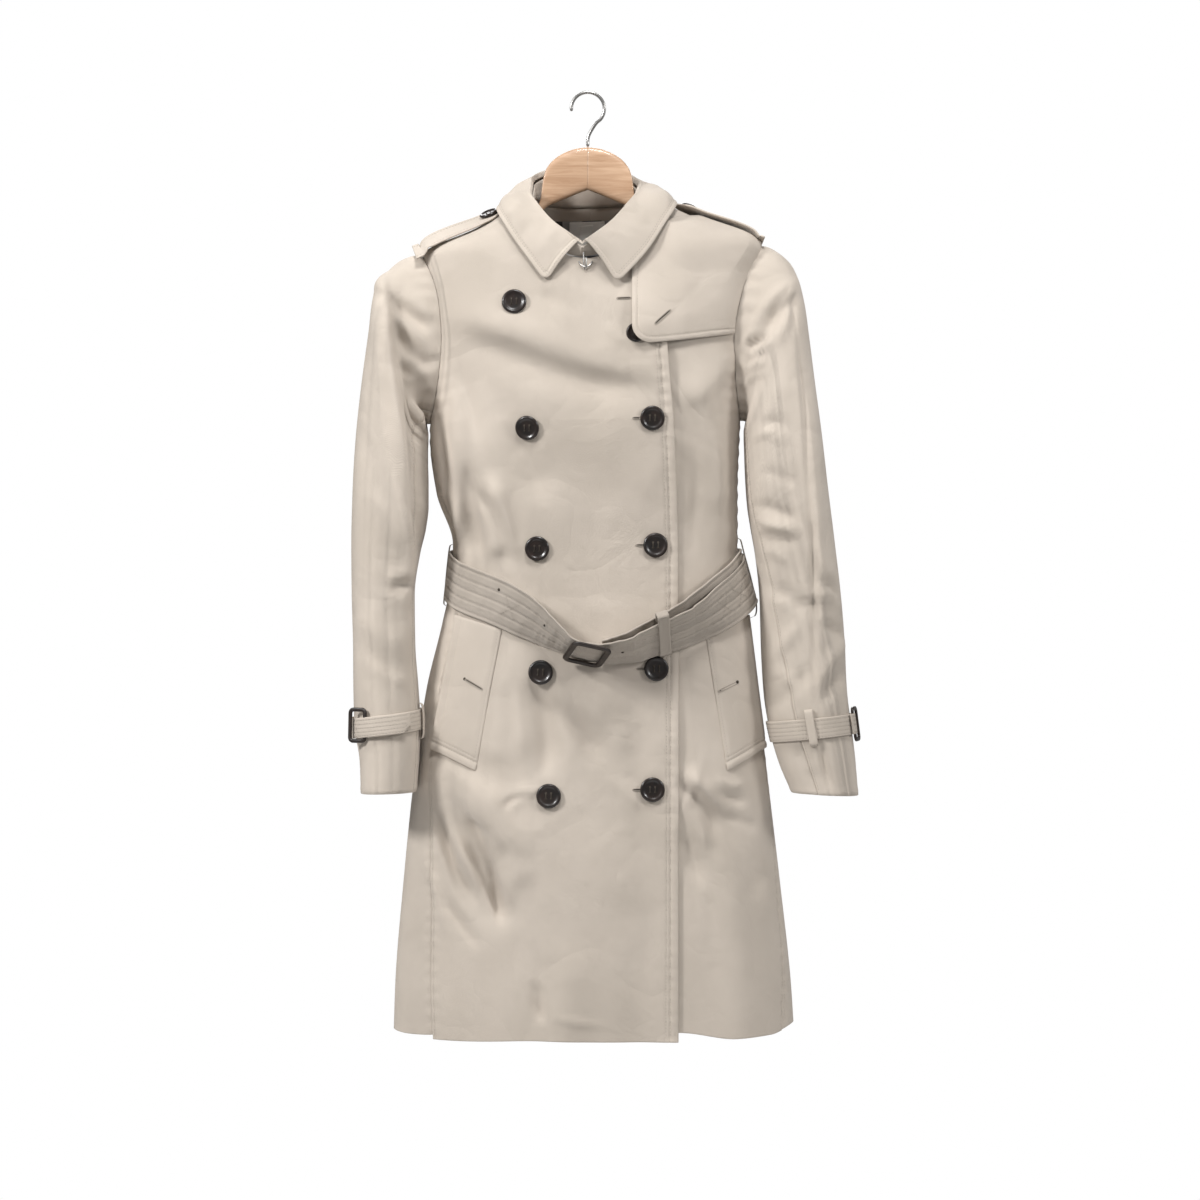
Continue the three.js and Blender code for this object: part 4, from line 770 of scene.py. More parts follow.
def sew(group, points, normals, length=2.7, step=3.7, width=0.62, height=0.32):
    """Adds a line of stitches to a group; points and their normals are on the cloth's face."""
    lengths = np.pad(np.cumsum(np.linalg.norm(np.diff(points, axis=0), axis=-1)), (1, 0))
    if lengths[-1] < step:
        return
    middles = np.arange(step / 2, lengths[-1] - step / 4, step)
    place = np.stack([np.interp(middles, lengths, points[:, k]) for k in range(3)], axis=-1)
    up = unit(np.stack([np.interp(middles, lengths, normals[:, k]) for k in range(3)], axis=-1))
    before = np.stack([np.interp(middles - 1, lengths, points[:, k]) for k in range(3)], axis=-1)
    along = unit(place - before)
    aside = np.cross(up, along)
    half = np.array([
        [-0.5 * length, 0, -0.12], [0, -0.5 * width, 0], [0, 0, height],
        [0, 0.5 * width, 0], [0, 0, -0.2], [0.5 * length, 0, -0.12],
    ])
    vertices = place[:, None] + sum(
        half[None, :, k, None] * axis[:, None] for k, axis in enumerate((along, aside, up)))
    corners = np.array([
        [0, 2, 1], [0, 3, 2], [0, 4, 3], [0, 1, 4], [5, 1, 2], [5, 2, 3], [5, 3, 4], [5, 4, 1],
    ])
    offset = sum(len(v) for v, _ in threads.get(group, []))
    faces = corners[None] + offset + 6 * np.arange(len(middles))[:, None, None]
    threads.setdefault(group, []).append((vertices.reshape(-1, 3), faces.reshape(-1, 3)))


def sewn_rows(group, material, slot):
    """Joins a group's stitches into one piece."""
    rows = threads.pop(group)
    vertices = np.concatenate([v for v, _ in rows])
    faces = np.concatenate([f for _, f in rows])
    return own(new_object(group, vertices, facing_out(vertices, faces), material), slot)


def sew_on_body(group, angle, z, out, **stitch):
    points = on_body(angle, z, out)
    sew(group, points, body_normal(angle, z), **stitch)


# The two fronts and the back

def over_lift(x):
    return LAP_OUT * smooth_step(-140, -96, x)


def under_lift(x):
    return -LAP_SINK * smooth_step(96, 66, x)


def face_out(angle, z):
    """How far out the outermost face of the fronts or the back lies."""
    x = body_point(angle, z)[..., 0]
    on_front = smooth_step(-0.15, 0.1, np.cos(angle))
    return CLOTH + LAP_OUT * on_front * smooth_step(-140, -96, x) * smooth_step(116, 102, x)


def lapel_run(to_x, t):
    z = mix(THROAT_Z, THROAT_OVER_TOP, t)
    return angle_at(mix(THROAT_X, to_x, t), z), z


def front_top(side, to_x, counts, u):
    """The top edge of a front: shoulder, then neckline, then the short run to its front edge."""
    shoulder, neck, lapel = counts
    t = u * sum(counts)
    parts = [
        shoulder_run(side, SEAM_GAP / 2, np.clip(t / shoulder, 0, 1)),
        neck_run(side, np.clip((t - shoulder) / neck, 0, 1)),
        lapel_run(to_x, np.clip((t - shoulder - neck) / lapel, 0, 1)),
    ]
    tests = [t <= shoulder, t <= shoulder + neck]
    return [np.select(tests, [parts[0][k], parts[1][k]], parts[2][k]) for k in range(2)]


def front_grid(side, edge_x, to_x, counts, u, skirt_z, chest_v):
    """Ring angles and heights of a front: level rows up to the armpit, then rows that bend to the neckline."""
    u, z = u[None, :], skirt_z[:, None]
    seam = seam_angle(side, z)
    armpit = armhole_edge(side, math.pi)[0]
    start = np.where(z < ARMPIT_Z, seam - side * half_gap(seam, z), armpit)
    skirt = [mix(start, angle_at(edge_x(z), z), u), z + 0 * u]
    v = chest_v[:, None]
    top = [line[None, :] for line in front_top(side, to_x, counts, u[0])]
    edge_z = mix(ARMPIT_Z, top[1][0, -1], v)
    edge = [angle_at(edge_x(edge_z), edge_z), edge_z]
    arm = armhole_edge(side, math.pi * (1 - v))
    bottom = [line[-1:] for line in skirt]
    chest = coons(bottom, top, arm, edge, u, v)
    return [np.concatenate([skirt[k], chest[k]]) for k in range(2)]


def back_grid(side, u, skirt_z, chest_v):
    """Ring angles and heights of a half of the back, from its side seam to the centre back seam."""
    counts = (4, 5)
    u, z = u[None, :], skirt_z[:, None]
    seam = seam_angle(side, z)
    armpit = armhole_edge(side, BACK_ARMPIT)[0]
    start = np.where(z < ARMPIT_Z, seam + side * half_gap(seam, z), armpit)
    skirt = [mix(start, centre_back(side, z), u), z + 0 * u]
    t = u * sum(counts)
    shoulder = shoulder_run(side, -SEAM_GAP / 2, np.clip(t / counts[0], 0, 1))
    neck = back_neck_run(side, np.clip((t - counts[0]) / counts[1], 0, 1))
    top = [np.where(t <= counts[0], shoulder[k], neck[k]) for k in range(2)]
    v = chest_v[:, None]
    arm = armhole_edge(side, mix(BACK_ARMPIT, -1e-9, v))
    centre_z = mix(ARMPIT_Z, top[1][0, -1], v)
    centre = [centre_back(side, centre_z), centre_z]
    chest = coons([line[-1:] for line in skirt], top, arm, centre, u, v)
    return [np.concatenate([skirt[k], chest[k]]) for k in range(2)]


def puckers(z, wave, seed):
    """Uneven little gathers along a line, by the sine of a length that itself wavers."""
    return np.sin(z * 2 * math.pi / wave + 1.9 * np.sin(z / (2.9 * wave) + seed) + seed)


def edge_relief(x, z):
    """The over front's edge: a full rim, a sewn groove beside it, and gathers between the stitches."""
    away = over_edge_x(z) - x
    rim = 0.5 * bump_at(away, 3.6, 3) - 0.75 * bump_at(away, 8.6, 1.3) - 0.35 * bump_at(away, 13.2, 1.2)
    return rim + 0.55 * puckers(z, 12, 1) * bump_at(away, 8, 6)


def seam_relief(side, angle, z):
    """Beside a side seam: the seam's own groove and one row of stitches on each side of it."""
    away = np.abs(angle - seam_angle(side, z)) * half_at(side, z) * 0.85
    below = smooth_step(705, 690, z)
    groove = -0.5 * bump_at(away, 0, 1.8) - 0.45 * bump_at(away, 4.6, 1.2) + 0.3 * bump_at(away, 2.6, 1.2)
    return below * (groove + 0.6 * puckers(z, 15, 2) * bump_at(away, 5, 7))


def armhole_relief(side, x, z, in_front):
    """Beside an armhole: a groove at the seam and gathers that run out from it."""
    edge_z = np.clip(z, ARMPIT_Z + 1, SHOULDER_Z - 1)
    angle = arm_edge_angle(side, edge_z)
    angle = angle if in_front else side * math.pi - angle
    away = np.abs(x - body_point(angle, edge_z)[..., 0])
    along = smooth_step(ARMPIT_Z - 4, ARMPIT_Z + 18, z) * smooth_step(905, 880, z)
    return along * (-0.35 * bump_at(away, 0, 1.6) + 0.4 * puckers(z, 15, side) * bump_at(away, 6, 9))


SKIRT_Z = np.concatenate([spaced((4, 4)), np.linspace(8, 700, 168)])
CHEST_V = np.linspace(0, 1, 62)[1:]
OVER_COUNTS, UNDER_COUNTS = (4, 7, 7), (5, 6, 4)


def body_wall(name, angle, z, lift, material):
    return wall(name, on_body(angle, z, lift + CLOTH), on_body(angle, z, lift), material)


def edge_curl(x, z):
    """The over front stands off the cloth below along its edge, most beside the storm flap."""
    open_by = 0.9 + 2.2 * bump_at(z, 745, 60) + 1.1 * bump_at(z, 600, 55) + 1.3 * bump_at(z, 330, 90)
    return open_by * smooth_step(46, 0, over_edge_x(z) - x) * smooth_step(865, 830, z)


def over_relief(angle, z):
    x = body_point(angle, z)[..., 0]
    relief = edge_relief(x, z) + seam_relief(LEFT, angle, z) + armhole_relief(LEFT, x, z, True)
    return over_lift(x) + relief + edge_curl(x, z)


def make_over_front(material):
    """The front that laps over the other: a sheet on the body's rings, lifted past the overlap."""
    u = spaced((0.03, 8), (0.935, 84), (1, 20))
    angle, z = front_grid(LEFT, over_edge_x, 80.0, OVER_COUNTS, u, SKIRT_Z, CHEST_V)
    z = with_hem(angle, z, "over")
    piece = body_wall("cloth_over_front", angle, z, over_relief(angle, z), material)
    cloth_piece(piece, (0.40, 0.95), "coat_cloth", "over_front", area=0.262)


def make_under_front(material):
    """The front below it, pressed in a little where it is covered."""
    u = spaced((0.03, 6), (0.5, 40), (1, 24))
    angle, z = front_grid(RIGHT, under_edge_x, UNDER_EDGE_X, UNDER_COUNTS, u, SKIRT_Z, CHEST_V)
    z = with_hem(angle, z, "under")
    x = body_point(angle, z)[..., 0]
    lift = under_lift(x) + seam_relief(RIGHT, angle, z) + armhole_relief(RIGHT, x, z, True)
    piece = body_wall("cloth_under_front", angle, z, lift, material)
    cloth_piece(piece, (0.42, 0.95), "coat_cloth", "under_front", area=0.275)


def make_back(side, name, material):
    """Half of the back, with the sewn grooves of its two seams."""
    u = spaced((0.05, 6), (0.95, 44), (1, 5))
    angle, z = back_grid(side, u, SKIRT_Z, CHEST_V)
    z = with_hem(angle, z, "back")
    x = body_point(angle, z)[..., 0]
    centre = -0.6 * bump_at(x, 0, 1.8) - 0.4 * bump_at(np.abs(x), 5.2, 1.3)
    centre = centre + 0.25 * puckers(z, 19, 4) * bump_at(x, 0, 8)
    lift = seam_relief(side, angle, z) + armhole_relief(side, x, z, False) + centre
    piece = body_wall(f"cloth_back_{name}", angle, z, lift, material)
    flat, area = ((0.30, 0.955), 0.237) if side < 0 else ((0.28, 0.955), 0.216)
    cloth_piece(piece, flat, "coat_cloth", f"back_{name}", area=area)


def sew_body():
    """Stitches along the front edge, both side seams and the centre back."""
    z = np.linspace(5, 864, 400)
    for inset in (8.6, 13.2):
        angle = angle_at(over_edge_x(z) - inset, z)
        sew_on_body("stitches_body", angle, z, over_relief(angle, z) + CLOTH + 0.05)
    z = np.linspace(8, 690, 300)
    for side in (LEFT, RIGHT):
        for inset in (-4.6, 4.6):
            angle = seam_angle(side, z) + inset / (half_at(side, z) * 0.85)
            sew_on_body("stitches_body", angle, z, CLOTH + seam_relief(side, angle, z) + 0.05)
    z = np.linspace(12, 940, 300)
    for inset in (-5.2, 5.2):
        angle = math.pi - np.sign(inset) * np.abs(angle_at(np.full_like(z, inset), z))
        sew_on_body("stitches_body", angle, z, CLOTH - 0.35)


# Storm flap over the chest, sewn at the shoulder and the armhole
FLAP_X, FLAP_Z, FLAP_ARM_Z, FLAP_CORNER = 48.0, 784.0, 795.0, 21.0
FLAP_COLLAR_X, FLAP_COLLAR_Z, FLAP_RISE = 82.0, 927.0, 94.0
FLAP_STITCH_INSET = 6.0


def flap_grid(u, v):
    """Ring angles and heights of the flap between its rounded front, its hem, the armhole and the collar."""
    def front_line(share):
        rise = FLAP_RISE * share
        to_corner = np.maximum(0, FLAP_CORNER - rise)
        inset = FLAP_CORNER - np.sqrt(FLAP_CORNER**2 - to_corner**2)
        return angle_at(FLAP_X + inset, FLAP_Z + rise), FLAP_Z + rise

    def arm_line(share):
        z = mix(FLAP_ARM_Z, SHOULDER_Z - 3, share)
        return arm_edge_angle(1, z) - 0.024, z

    u, v = u[None, :], v[:, None]
    left, right = front_line(v), arm_line(v)
    bottom = mix(left[0][0], right[0][0], u), mix(FLAP_Z, FLAP_ARM_Z, u)
    t = u * 9
    collar_z = mix(FLAP_Z + FLAP_RISE, FLAP_COLLAR_Z, np.clip(t / 4, 0, 1))
    shoulder_t = np.clip((t - 4) / 5, 0, 1)
    shoulder_z = mix(FLAP_COLLAR_Z, SHOULDER_Z - 3, shoulder_t)
    under_collar = angle_at(mix(FLAP_X, FLAP_COLLAR_X, np.clip(t / 4, 0, 1)), collar_z)
    shoulder = angle_beside_side(1, shoulder_z, mix(12, 5, shoulder_t))
    top = np.where(t <= 4, under_collar, shoulder), np.where(t <= 4, collar_z, shoulder_z)
    top[0][:, -1], top[1][:, -1] = right[0][-1, 0], right[1][-1, 0]
    return coons(bottom, top, left, right, u, v)


def flap_lift(angle, z):
    x = body_point(angle, z)[..., 0]
    over_lap = LAP_OUT * smooth_step(122, 100, x)
    corner = smooth_step(100, 52, x) * smooth_step(862, 800, z)
    over_seam = smooth_step(862, 890, z) * smooth_step(84, 96, x)
    return CLOTH + 0.9 + over_lap + 5.5 * corner + 1.2 * smooth_step(880, 800, z) + 2.9 * over_seam


def flap_edge_distance(x, z):
    """How far inside the flap's front and lower edges a point lies, round the corner's arc."""
    beside, above = x - FLAP_X, z - mix(FLAP_Z, FLAP_ARM_Z, smooth_step(60, 190, x))
    arc = FLAP_CORNER - np.hypot(FLAP_CORNER - beside, FLAP_CORNER - above)
    in_corner = (beside < FLAP_CORNER) & (above < FLAP_CORNER)
    return np.where(in_corner, arc, np.minimum(beside, above))


def flap_relief(angle, z):
    x = body_point(angle, z)[..., 0]
    away = flap_edge_distance(x, z)
    rim = 0.45 * bump_at(away, 2.8, 2.2) - 0.6 * bump_at(away, FLAP_STITCH_INSET, 1.1)
    return rim + 0.15 * puckers(x + z, 14, 3) * bump_at(away, 5, 4)


def make_storm_flap(material):
    u, v = spaced((0.06, 12), (1, 50)), spaced((0.1, 14), (1, 36))
    angle, z = flap_grid(u, v)
    lift = flap_lift(angle, z) + flap_relief(angle, z)
    piece = body_wall("cloth_storm_flap", angle, z, lift, material)
    cloth_piece(piece, (0.16, 0.16), "coat_cloth", "storm_flap", area=0.0205, rests_on=("cloth_over_front",))
    turn, low_x = np.linspace(math.pi, 1.5 * math.pi, 16), np.linspace(70, 168, 30)
    radius = FLAP_CORNER - FLAP_STITCH_INSET
    front_z = np.linspace(874, FLAP_Z + FLAP_CORNER, 20)
    low_z = mix(FLAP_Z, FLAP_ARM_Z, smooth_step(60, 190, low_x)) + FLAP_STITCH_INSET
    corner_x, corner_z = FLAP_X + FLAP_CORNER, FLAP_Z + FLAP_CORNER
    x = np.concatenate([np.full(20, FLAP_X + FLAP_STITCH_INSET), corner_x + radius * np.cos(turn), low_x])
    z = np.concatenate([front_z, corner_z + radius * np.sin(turn), low_z])
    angle = angle_at(x, z)
    sew_on_body("stitches_patches", angle, z, flap_lift(angle, z) + flap_relief(angle, z) + CLOTH + 0.05)


# Pocket welts beside the side seams
WELTS = {
    "left": [(-150, 478), (-178, 327), (-99, 462), (-128, 303)],
    "right": [(177, 478), (196, 327), (130, 462), (155, 303)],
}
WELT_LENGTH, WELT_WIDTH = 152, 50


def welt_spot(name, u, v):
    """A point of a welt, blended from its four corners: u from the outer edge, v down from the top."""
    side = SIDES[name]
    top_outer, low_outer, top_inner, low_inner = WELTS[name]
    x, z = (mix(mix(top_outer[k], low_outer[k], v), mix(top_inner[k], low_inner[k], v), u) for k in range(2))
    limit = np.abs(seam_angle(side, z)) - 0.012
    return side * np.minimum(np.abs(angle_at(x, z)), limit), z


def welt_out(u, v, angle, z):
    """The welt's lift: a little more towards its open outer edge, full at its lower rim and sewn behind it."""
    x = np.abs(body_point(angle, z)[..., 0])
    from_low, from_inner, from_outer = (1 - v) * WELT_LENGTH, (1 - u) * WELT_WIDTH, u * WELT_WIDTH
    relief = 0.8 * bump_at(from_low, 3.6, 3) - 0.7 * bump_at(from_low, 8.5, 1.4) - 0.3 * bump_at(from_low, 13, 1.3)
    relief = relief - 0.25 * bump_at(from_inner, 3, 1.3) - 0.4 * bump_at(from_outer, 6, 1.5)
    relief = relief - 1.3 * smooth_step(0.86, 1, u) + 1.8 * smooth_step(0.14, 0, u)
    drag = 0.9 * np.sin(z / 13 + u * 2.2) * bump_at(u, 0.6, 0.4) * bump_at(v, 0.55, 0.4)
    return face_out(angle, z) + 0.8 + 0.6 * smooth_step(140, 175, x) + relief + 0.5 * drag


def make_welts(material):
    for name in SIDES:
        u, v = np.meshgrid(np.linspace(0, 1, 30), spaced((0.88, 44), (1, 22)))
        angle, z = welt_spot(name, u, v)
        piece = body_wall(f"cloth_welt_{name}", angle, z, welt_out(u, v, angle, z), material)
        below = "cloth_over_front" if name == "left" else "cloth_under_front"
        cloth_piece(piece, (0.06, 0.168), "coat_cloth", f"pocket_welt_{name}", rests_on=(below,))
        t = np.linspace(0.02, 0.98, 60)
        low_rows = [(t, 0 * t + 1 - inset / WELT_LENGTH) for inset in (8.5, 13)]
        for line in (*low_rows, (0 * t + 0.94, t * 0.94), (0 * t + 0.12, t * 0.94)):
            angle, z = welt_spot(name, *line)
            sew_on_body("stitches_patches", angle, z, welt_out(*line, angle, z) + CLOTH + 0.05, width=0.5)


# Sleeves: rings from the armhole to the cuff
SLEEVES = {
    "left": table("ring outer_x outer_z inner_x inner_z front back forward", [
        [0, -192, 893, -182, 700, 36, 34, -18],
        [1, -203, 891, -184, 696, 41, 38, -18],
        [2, -218, 884, -184.5, 691, 45, 42, -18],
        [3, -231, 872, -185, 685, 49, 46, -17],
        [4, -242, 853, -185, 677, 52, 49, -17],
        [5, -249, 828, -185.5, 667, 54, 51, -16],
        [6, -254.5, 794, -185.5, 652, 56, 52, -15],
        [7, -262, 740, -185, 630, 56, 52, -14],
        [8, -268.5, 680, -185, 604, 55, 51, -13],
        [9, -272, 620, -188, 578, 53, 50, -12],
        [10, -273.5, 562, -195, 548, 51, 49, -11],
        [11, -273, 505, -201, 502, 50, 48, -12],
        [12, -271, 445, -200, 446, 49, 46, -18],
        [13, -270, 395, -196, 397, 48, 43, -26],
        [14, -268, 350, -193, 353, 47, 40, -35],
        [15, -262, 315, -194, 318, 46, 38, -41],
        [16, -260, 277, -197, 279, 46, 37, -46],
    ]),
    "right": table("ring outer_x outer_z inner_x inner_z front back forward", [
        [0, 192, 902, 173, 705, 36, 34, -18],
        [1, 203, 900, 175, 700, 41, 38, -18],
        [2, 217, 892, 176, 695, 45, 42, -18],
        [3, 230, 880, 176, 689, 49, 46, -17],
        [4, 239, 861, 176, 680, 52, 49, -17],
        [5, 246, 833, 176.5, 668, 54, 51, -16],
        [6, 251, 797, 177, 652, 56, 52, -15],
        [7, 258, 742, 178, 630, 56, 52, -14],
        [8, 266, 682, 180, 604, 55, 51, -13],
        [9, 273, 622, 184, 578, 54, 51, -12],
        [10, 280.5, 562, 189.5, 546, 53, 50, -11],
        [11, 287.5, 502, 194.5, 496, 52, 49, -11],
        [12, 292, 445, 196, 440, 51, 48, -13],
        [13, 294, 395, 199, 388, 50, 47, -17],
        [14, 299, 350, 207, 341, 48, 46, -22],
        [15, 303, 315, 217, 307, 46, 45, -26],
        [16, 306, 274, 230, 277, 45, 44, -29],
    ]),
}
SLEEVE_RINGS = 16

# The pinched ridge that falls from the hanger's end, and the seams, in degrees round the ring
SLEEVE_LINES = {
    "left": table("ring ridge height front_seam back_seam", [
        [0, 60, 0, 150, 140],
        [3, 62, 1, 150, 140],
        [5, 66, 7, 150, 138],
        [8, 96, 9, 152, 135],
        [11, 140, 5, 156, 130],
        [13, 142, 1, 156, 128],
        [16, 142, 0, 156, 126],
    ]),
    "right": table("ring ridge height front_seam back_seam", [
        [0, 52, 0, 158, 140],
        [3, 52, 1, 158, 140],
        [5, 50, 6, 158, 138],
        [8, 58, 8, 156, 135],
        [11, 68, 6, 134, 130],
        [13, 78, 3, 112, 128],
        [16, 84, 0, 104, 126],
    ]),
}
RIDGE_SPREAD = math.radians(46)

# The size of each sleeve piece's flat cut, and its area, in metres
SLEEVE_CUTS = {
    ("top", "left"): ((0.25, 0.67), 0.138),
    ("under", "left"): ((0.06, 0.6), 0.028),
    ("top", "right"): ((0.26, 0.67), 0.145),
    ("under", "right"): ((0.1, 0.6), 0.0375),
}
CUFF_RING = 13.9


def sleeve_point(name, turn, ring):
    """A squared oval between the sleeve's outer and inner lines, blended out of the armhole's edge."""
    side, rows, lines = SIDES[name], SLEEVES[name], SLEEVE_LINES[name]
    turn, ring = np.broadcast_arrays(np.asarray(turn, float), np.asarray(ring, float))
    outer = stack(curve(rows, "outer_x", ring), curve(rows, "forward", ring), curve(rows, "outer_z", ring))
    inner = stack(curve(rows, "inner_x", ring), curve(rows, "forward", ring), curve(rows, "inner_z", ring))
    reach, centre = (outer - inner) / 2, (outer + inner) / 2
    s, c = np.sin(turn), np.cos(turn)
    near = np.maximum(0, 1 - np.abs(turn - np.radians(curve(lines, "ridge", ring))) / RIDGE_SPREAD)
    fuller = 1 + curve(lines, "height", ring) * near * near / np.linalg.norm(reach, axis=-1)
    depth = np.where(s > 0, curve(rows, "front", ring), curve(rows, "back", ring))
    hung = centre + reach * (fuller * signed_power(c, 0.9))[..., None]
    hung[..., 1] -= fuller * depth * signed_power(s, 0.9)
    sewn = on_body(*armhole_edge(side, turn), CLOTH)
    sewn[..., 0] += side * (0.25 + 7 * np.maximum(0, ring))
    return mix(sewn, hung, smooth_step(-0.1, 3, ring)[..., None])


def on_sleeve(name, turn, ring, out):
    """A point on a sleeve's cloth, moved out along its normal by out and by the creases there."""
    turn, ring, out = np.broadcast_arrays(*(np.asarray(value, float) for value in (turn, ring, out)))
    near = np.clip(ring, 0.12, SLEEVE_RINGS - 0.12)
    normal = normal_of(lambda a, b: sleeve_point(name, a, b), turn, near, 0.03, 0.1) * SIDES[name]
    base = sleeve_point(name, turn, ring)
    x, z = base[..., 0], base[..., 2]
    front = creases(SLEEVE_CREASES[name]["front"], x, z) + ripple(x, z, 3)
    back = creases(SLEEVE_CREASES[name]["back"], x, z) + ripple(x, z, 4)
    facing = smooth_step(0, 0.4, np.abs(normal[..., 1]))
    free = smooth_step(0.1, 1.5, ring) * (1 - 0.85 * bump_at(ring, CUFF_RING, 0.5))
    extra = np.where(normal[..., 1] < 0, front, back) * facing * free
    return base + normal * (out + extra)[..., None]


def sleeve_relief(name, turn, ring):
    """The grooves of the sleeve's two seams, the turned cuff and the eased sleeve head."""
    lines = SLEEVE_LINES[name]
    full = 2 * math.pi
    front = np.abs(turn - np.radians(curve(lines, "front_seam", ring)))
    back_turn = np.radians(curve(lines, "back_seam", ring))
    back = np.minimum(np.abs(turn + back_turn), np.abs(turn - full + back_turn))
    relief = 0
    for away in (front * 50, back * 50):
        relief = relief - 0.6 * bump_at(away, 0, 1.8) + 0.3 * bump_at(away, 3, 1.6)
        relief = relief + 0.22 * puckers(ring * 40, 18, 5) * bump_at(away, 4, 6)
    from_head, from_cuff = ring * 9, (SLEEVE_RINGS - ring) * 40
    eased = 0.6 * puckers(turn * 80, 17, 6) * bump_at(from_head, 7, 7)
    return relief + eased + 0.5 * bump_at(from_cuff, 4, 4) - 0.35 * bump_at(from_cuff, 27, 1.4)


def make_sleeve_part(name, part, columns, material):
    """One of the two pieces of a sleeve, between its seams."""
    ring = (SLEEVE_RINGS * np.linspace(0, 1, 156) ** 1.15)[:, None]
    lines, gap = SLEEVE_LINES[name], math.radians(0.35)
    front, back = np.radians(curve(lines, "front_seam", ring)), np.radians(curve(lines, "back_seam", ring))
    u = np.linspace(0, 1, columns)[None, :]
    turn = mix(gap - back, front - gap, u) if part == "top" else mix(front + gap, 2 * math.pi - back - gap, u)
    ring = ring + 0 * u
    relief = sleeve_relief(name, turn, ring)
    piece = wall(
        f"cloth_{part}_sleeve_{name}",
        on_sleeve(name, turn, ring, relief), on_sleeve(name, turn, ring, relief - CLOTH), material,
    )
    flat, area = SLEEVE_CUTS[part, name]
    cloth_piece(piece, flat, "coat_cloth", f"{part}_sleeve_{name}", area=area)


def make_sleeves(material):
    for name in SIDES:
        make_sleeve_part(name, "top", 110, material)
        make_sleeve_part(name, "under", 52, material)
        ring = np.linspace(0.6, 15.9, 400)
        line = np.radians(curve(SLEEVE_LINES[name], "front_seam", ring)) - 3.4 / 50
        points = on_sleeve(name, line, ring, sleeve_relief(name, line, ring) + 0.05)
        sew("stitches_sleeves", points, points - on_sleeve(name, line, ring, -3))


# Collar: the stand rises from the neckline to the roll, and the fall turns over it
COLLAR = table("share roll_x roll_y roll_z edge_x edge_z on_back off bulge", [
    [0, -11, -72, 903, -50, 855, 0, 8, 2],
    [0.06, -25, -68, 913, -60, 869, 0, 8, 5],
    [0.13, -42, -60, 926, -74, 889, 0, 8, 7],
    [0.22, -60, -44, 948, -93, 917, 0, 9, 8],
    [0.3, -69, -24, 965, -102, 936, 0, 12, 9],
    [0.38, -68, 2, 981, -97, 944, 1, 9, 9],
    [0.44, -50, 25, 994, -66, 944, 1, 7, 6],
    [0.5, -9, 38, 1000, -9, 944, 1, 7, 5],
    [0.56, 36, 29, 993, 52, 944, 1, 7, 6],
    [0.62, 57, 10, 978, 86, 946, 1, 8, 8],
    [0.7, 55, -24, 966, 96, 938, 0, 10, 9],
    [0.78, 43, -46, 948, 86, 919, 0, 11, 8],
    [0.87, 24, -60, 926, 64, 885, 0, 14, 7],
    [0.94, 8, -68, 913, 46, 865, 0, 14, 5],
    [1, -6, -72, 903, 31, 851, 0, 10, 2],
])
UP = np.array([0.0, 0.0, 1.0])
COLLAR_CREASES = [
    [36, 946, 66, 930, 5, 1.6, 2, 0.2],
    [28, 932, 70, 918, 6, -1.6, 2, 0],
    [20, 914, 44, 905, 4, 1.2, 1, 0],
    [60, 958, 92, 944, 6, 1.4, 2, 0],
    [-40, 926, -58, 884, 9, 1.4, 3, 0],
    [-66, 930, -84, 900, 7, -1.3, 2, 0],
    [-74, 950, -96, 934, 6, 1.4, 2, 0],
]


def neckline(share):
    """The point of the neckline under a share of the collar's length, 0.5 being the centre back."""
    from_front = np.minimum(share, 1 - share)
    front_t, back_t = np.clip(1 - from_front / 0.3, 0, 0.9999), np.clip((from_front - 0.3) / 0.2, 0, 0.9999)
    runs = [(neck_run(side, front_t), back_neck_run(side, back_t)) for side in (LEFT, RIGHT)]
    in_front, at_left = from_front < 0.3, share <= 0.5
    left, right = ([np.where(in_front, front[k], back[k]) for k in range(2)] for front, back in runs)
    return [np.where(at_left, left[k], right[k]) for k in range(2)]


def collar_section(share):
    row = {name: curve(COLLAR, name, share) for name in COLLAR if name != "key"}
    roll = stack(row["roll_x"], row["roll_y"], row["roll_z"])
    lap = np.where((share < 0.3) | (share > 0.7), LAP_OUT * 0.5, 0)
    base_angle, base_z = neckline(share)
    base = on_body(base_angle, base_z, CLOTH / 2 + lap) + 2 * UP
    front = angle_at(row["edge_x"], row["edge_z"])
    back = np.sign(row["edge_x"]) * math.pi - front
    edge = mix(
        on_body(front, row["edge_z"], row["off"]), on_body(back, row["edge_z"], row["off"]), row["on_back"][:, None]
    )
    out = unit((edge - roll) * [1, 1, 0])
    return roll, base - 1.8 * out, edge, out, roll - 3.4 * out - 8.8 * UP, row["bulge"][:, None]


def collar_fall_grid(share, t):
    roll, _, edge, out, stand_top, bulge = collar_section(share)
    inside = roll - 2.6 * out - 2.6 * UP
    over = roll + 3.2 * out - 1.6 * UP
    middle = mix(over, edge, 0.5) + (out + UP) * bulge * 0.7
    points = np.stack([stand_top + 3.6 * UP, inside, roll, over, middle, edge], axis=1)
    return catmull_rom(points, t)


def inside_edge(points, normals, distance):
    """The line that lies a distance in from the last column of a grid, with its normals."""
    line, line_normals = [], []
    for row, row_normals in zip(points[:, ::-1], normals[:, ::-1]):
        length = np.pad(np.cumsum(np.linalg.norm(np.diff(row, axis=0), axis=-1)), (1, 0))
        line.append([np.interp(distance, length, row[:, k]) for k in range(3)])
        line_normals.append([np.interp(distance, length, row_normals[:, k]) for k in range(3)])
    return np.array(line), np.array(line_normals)


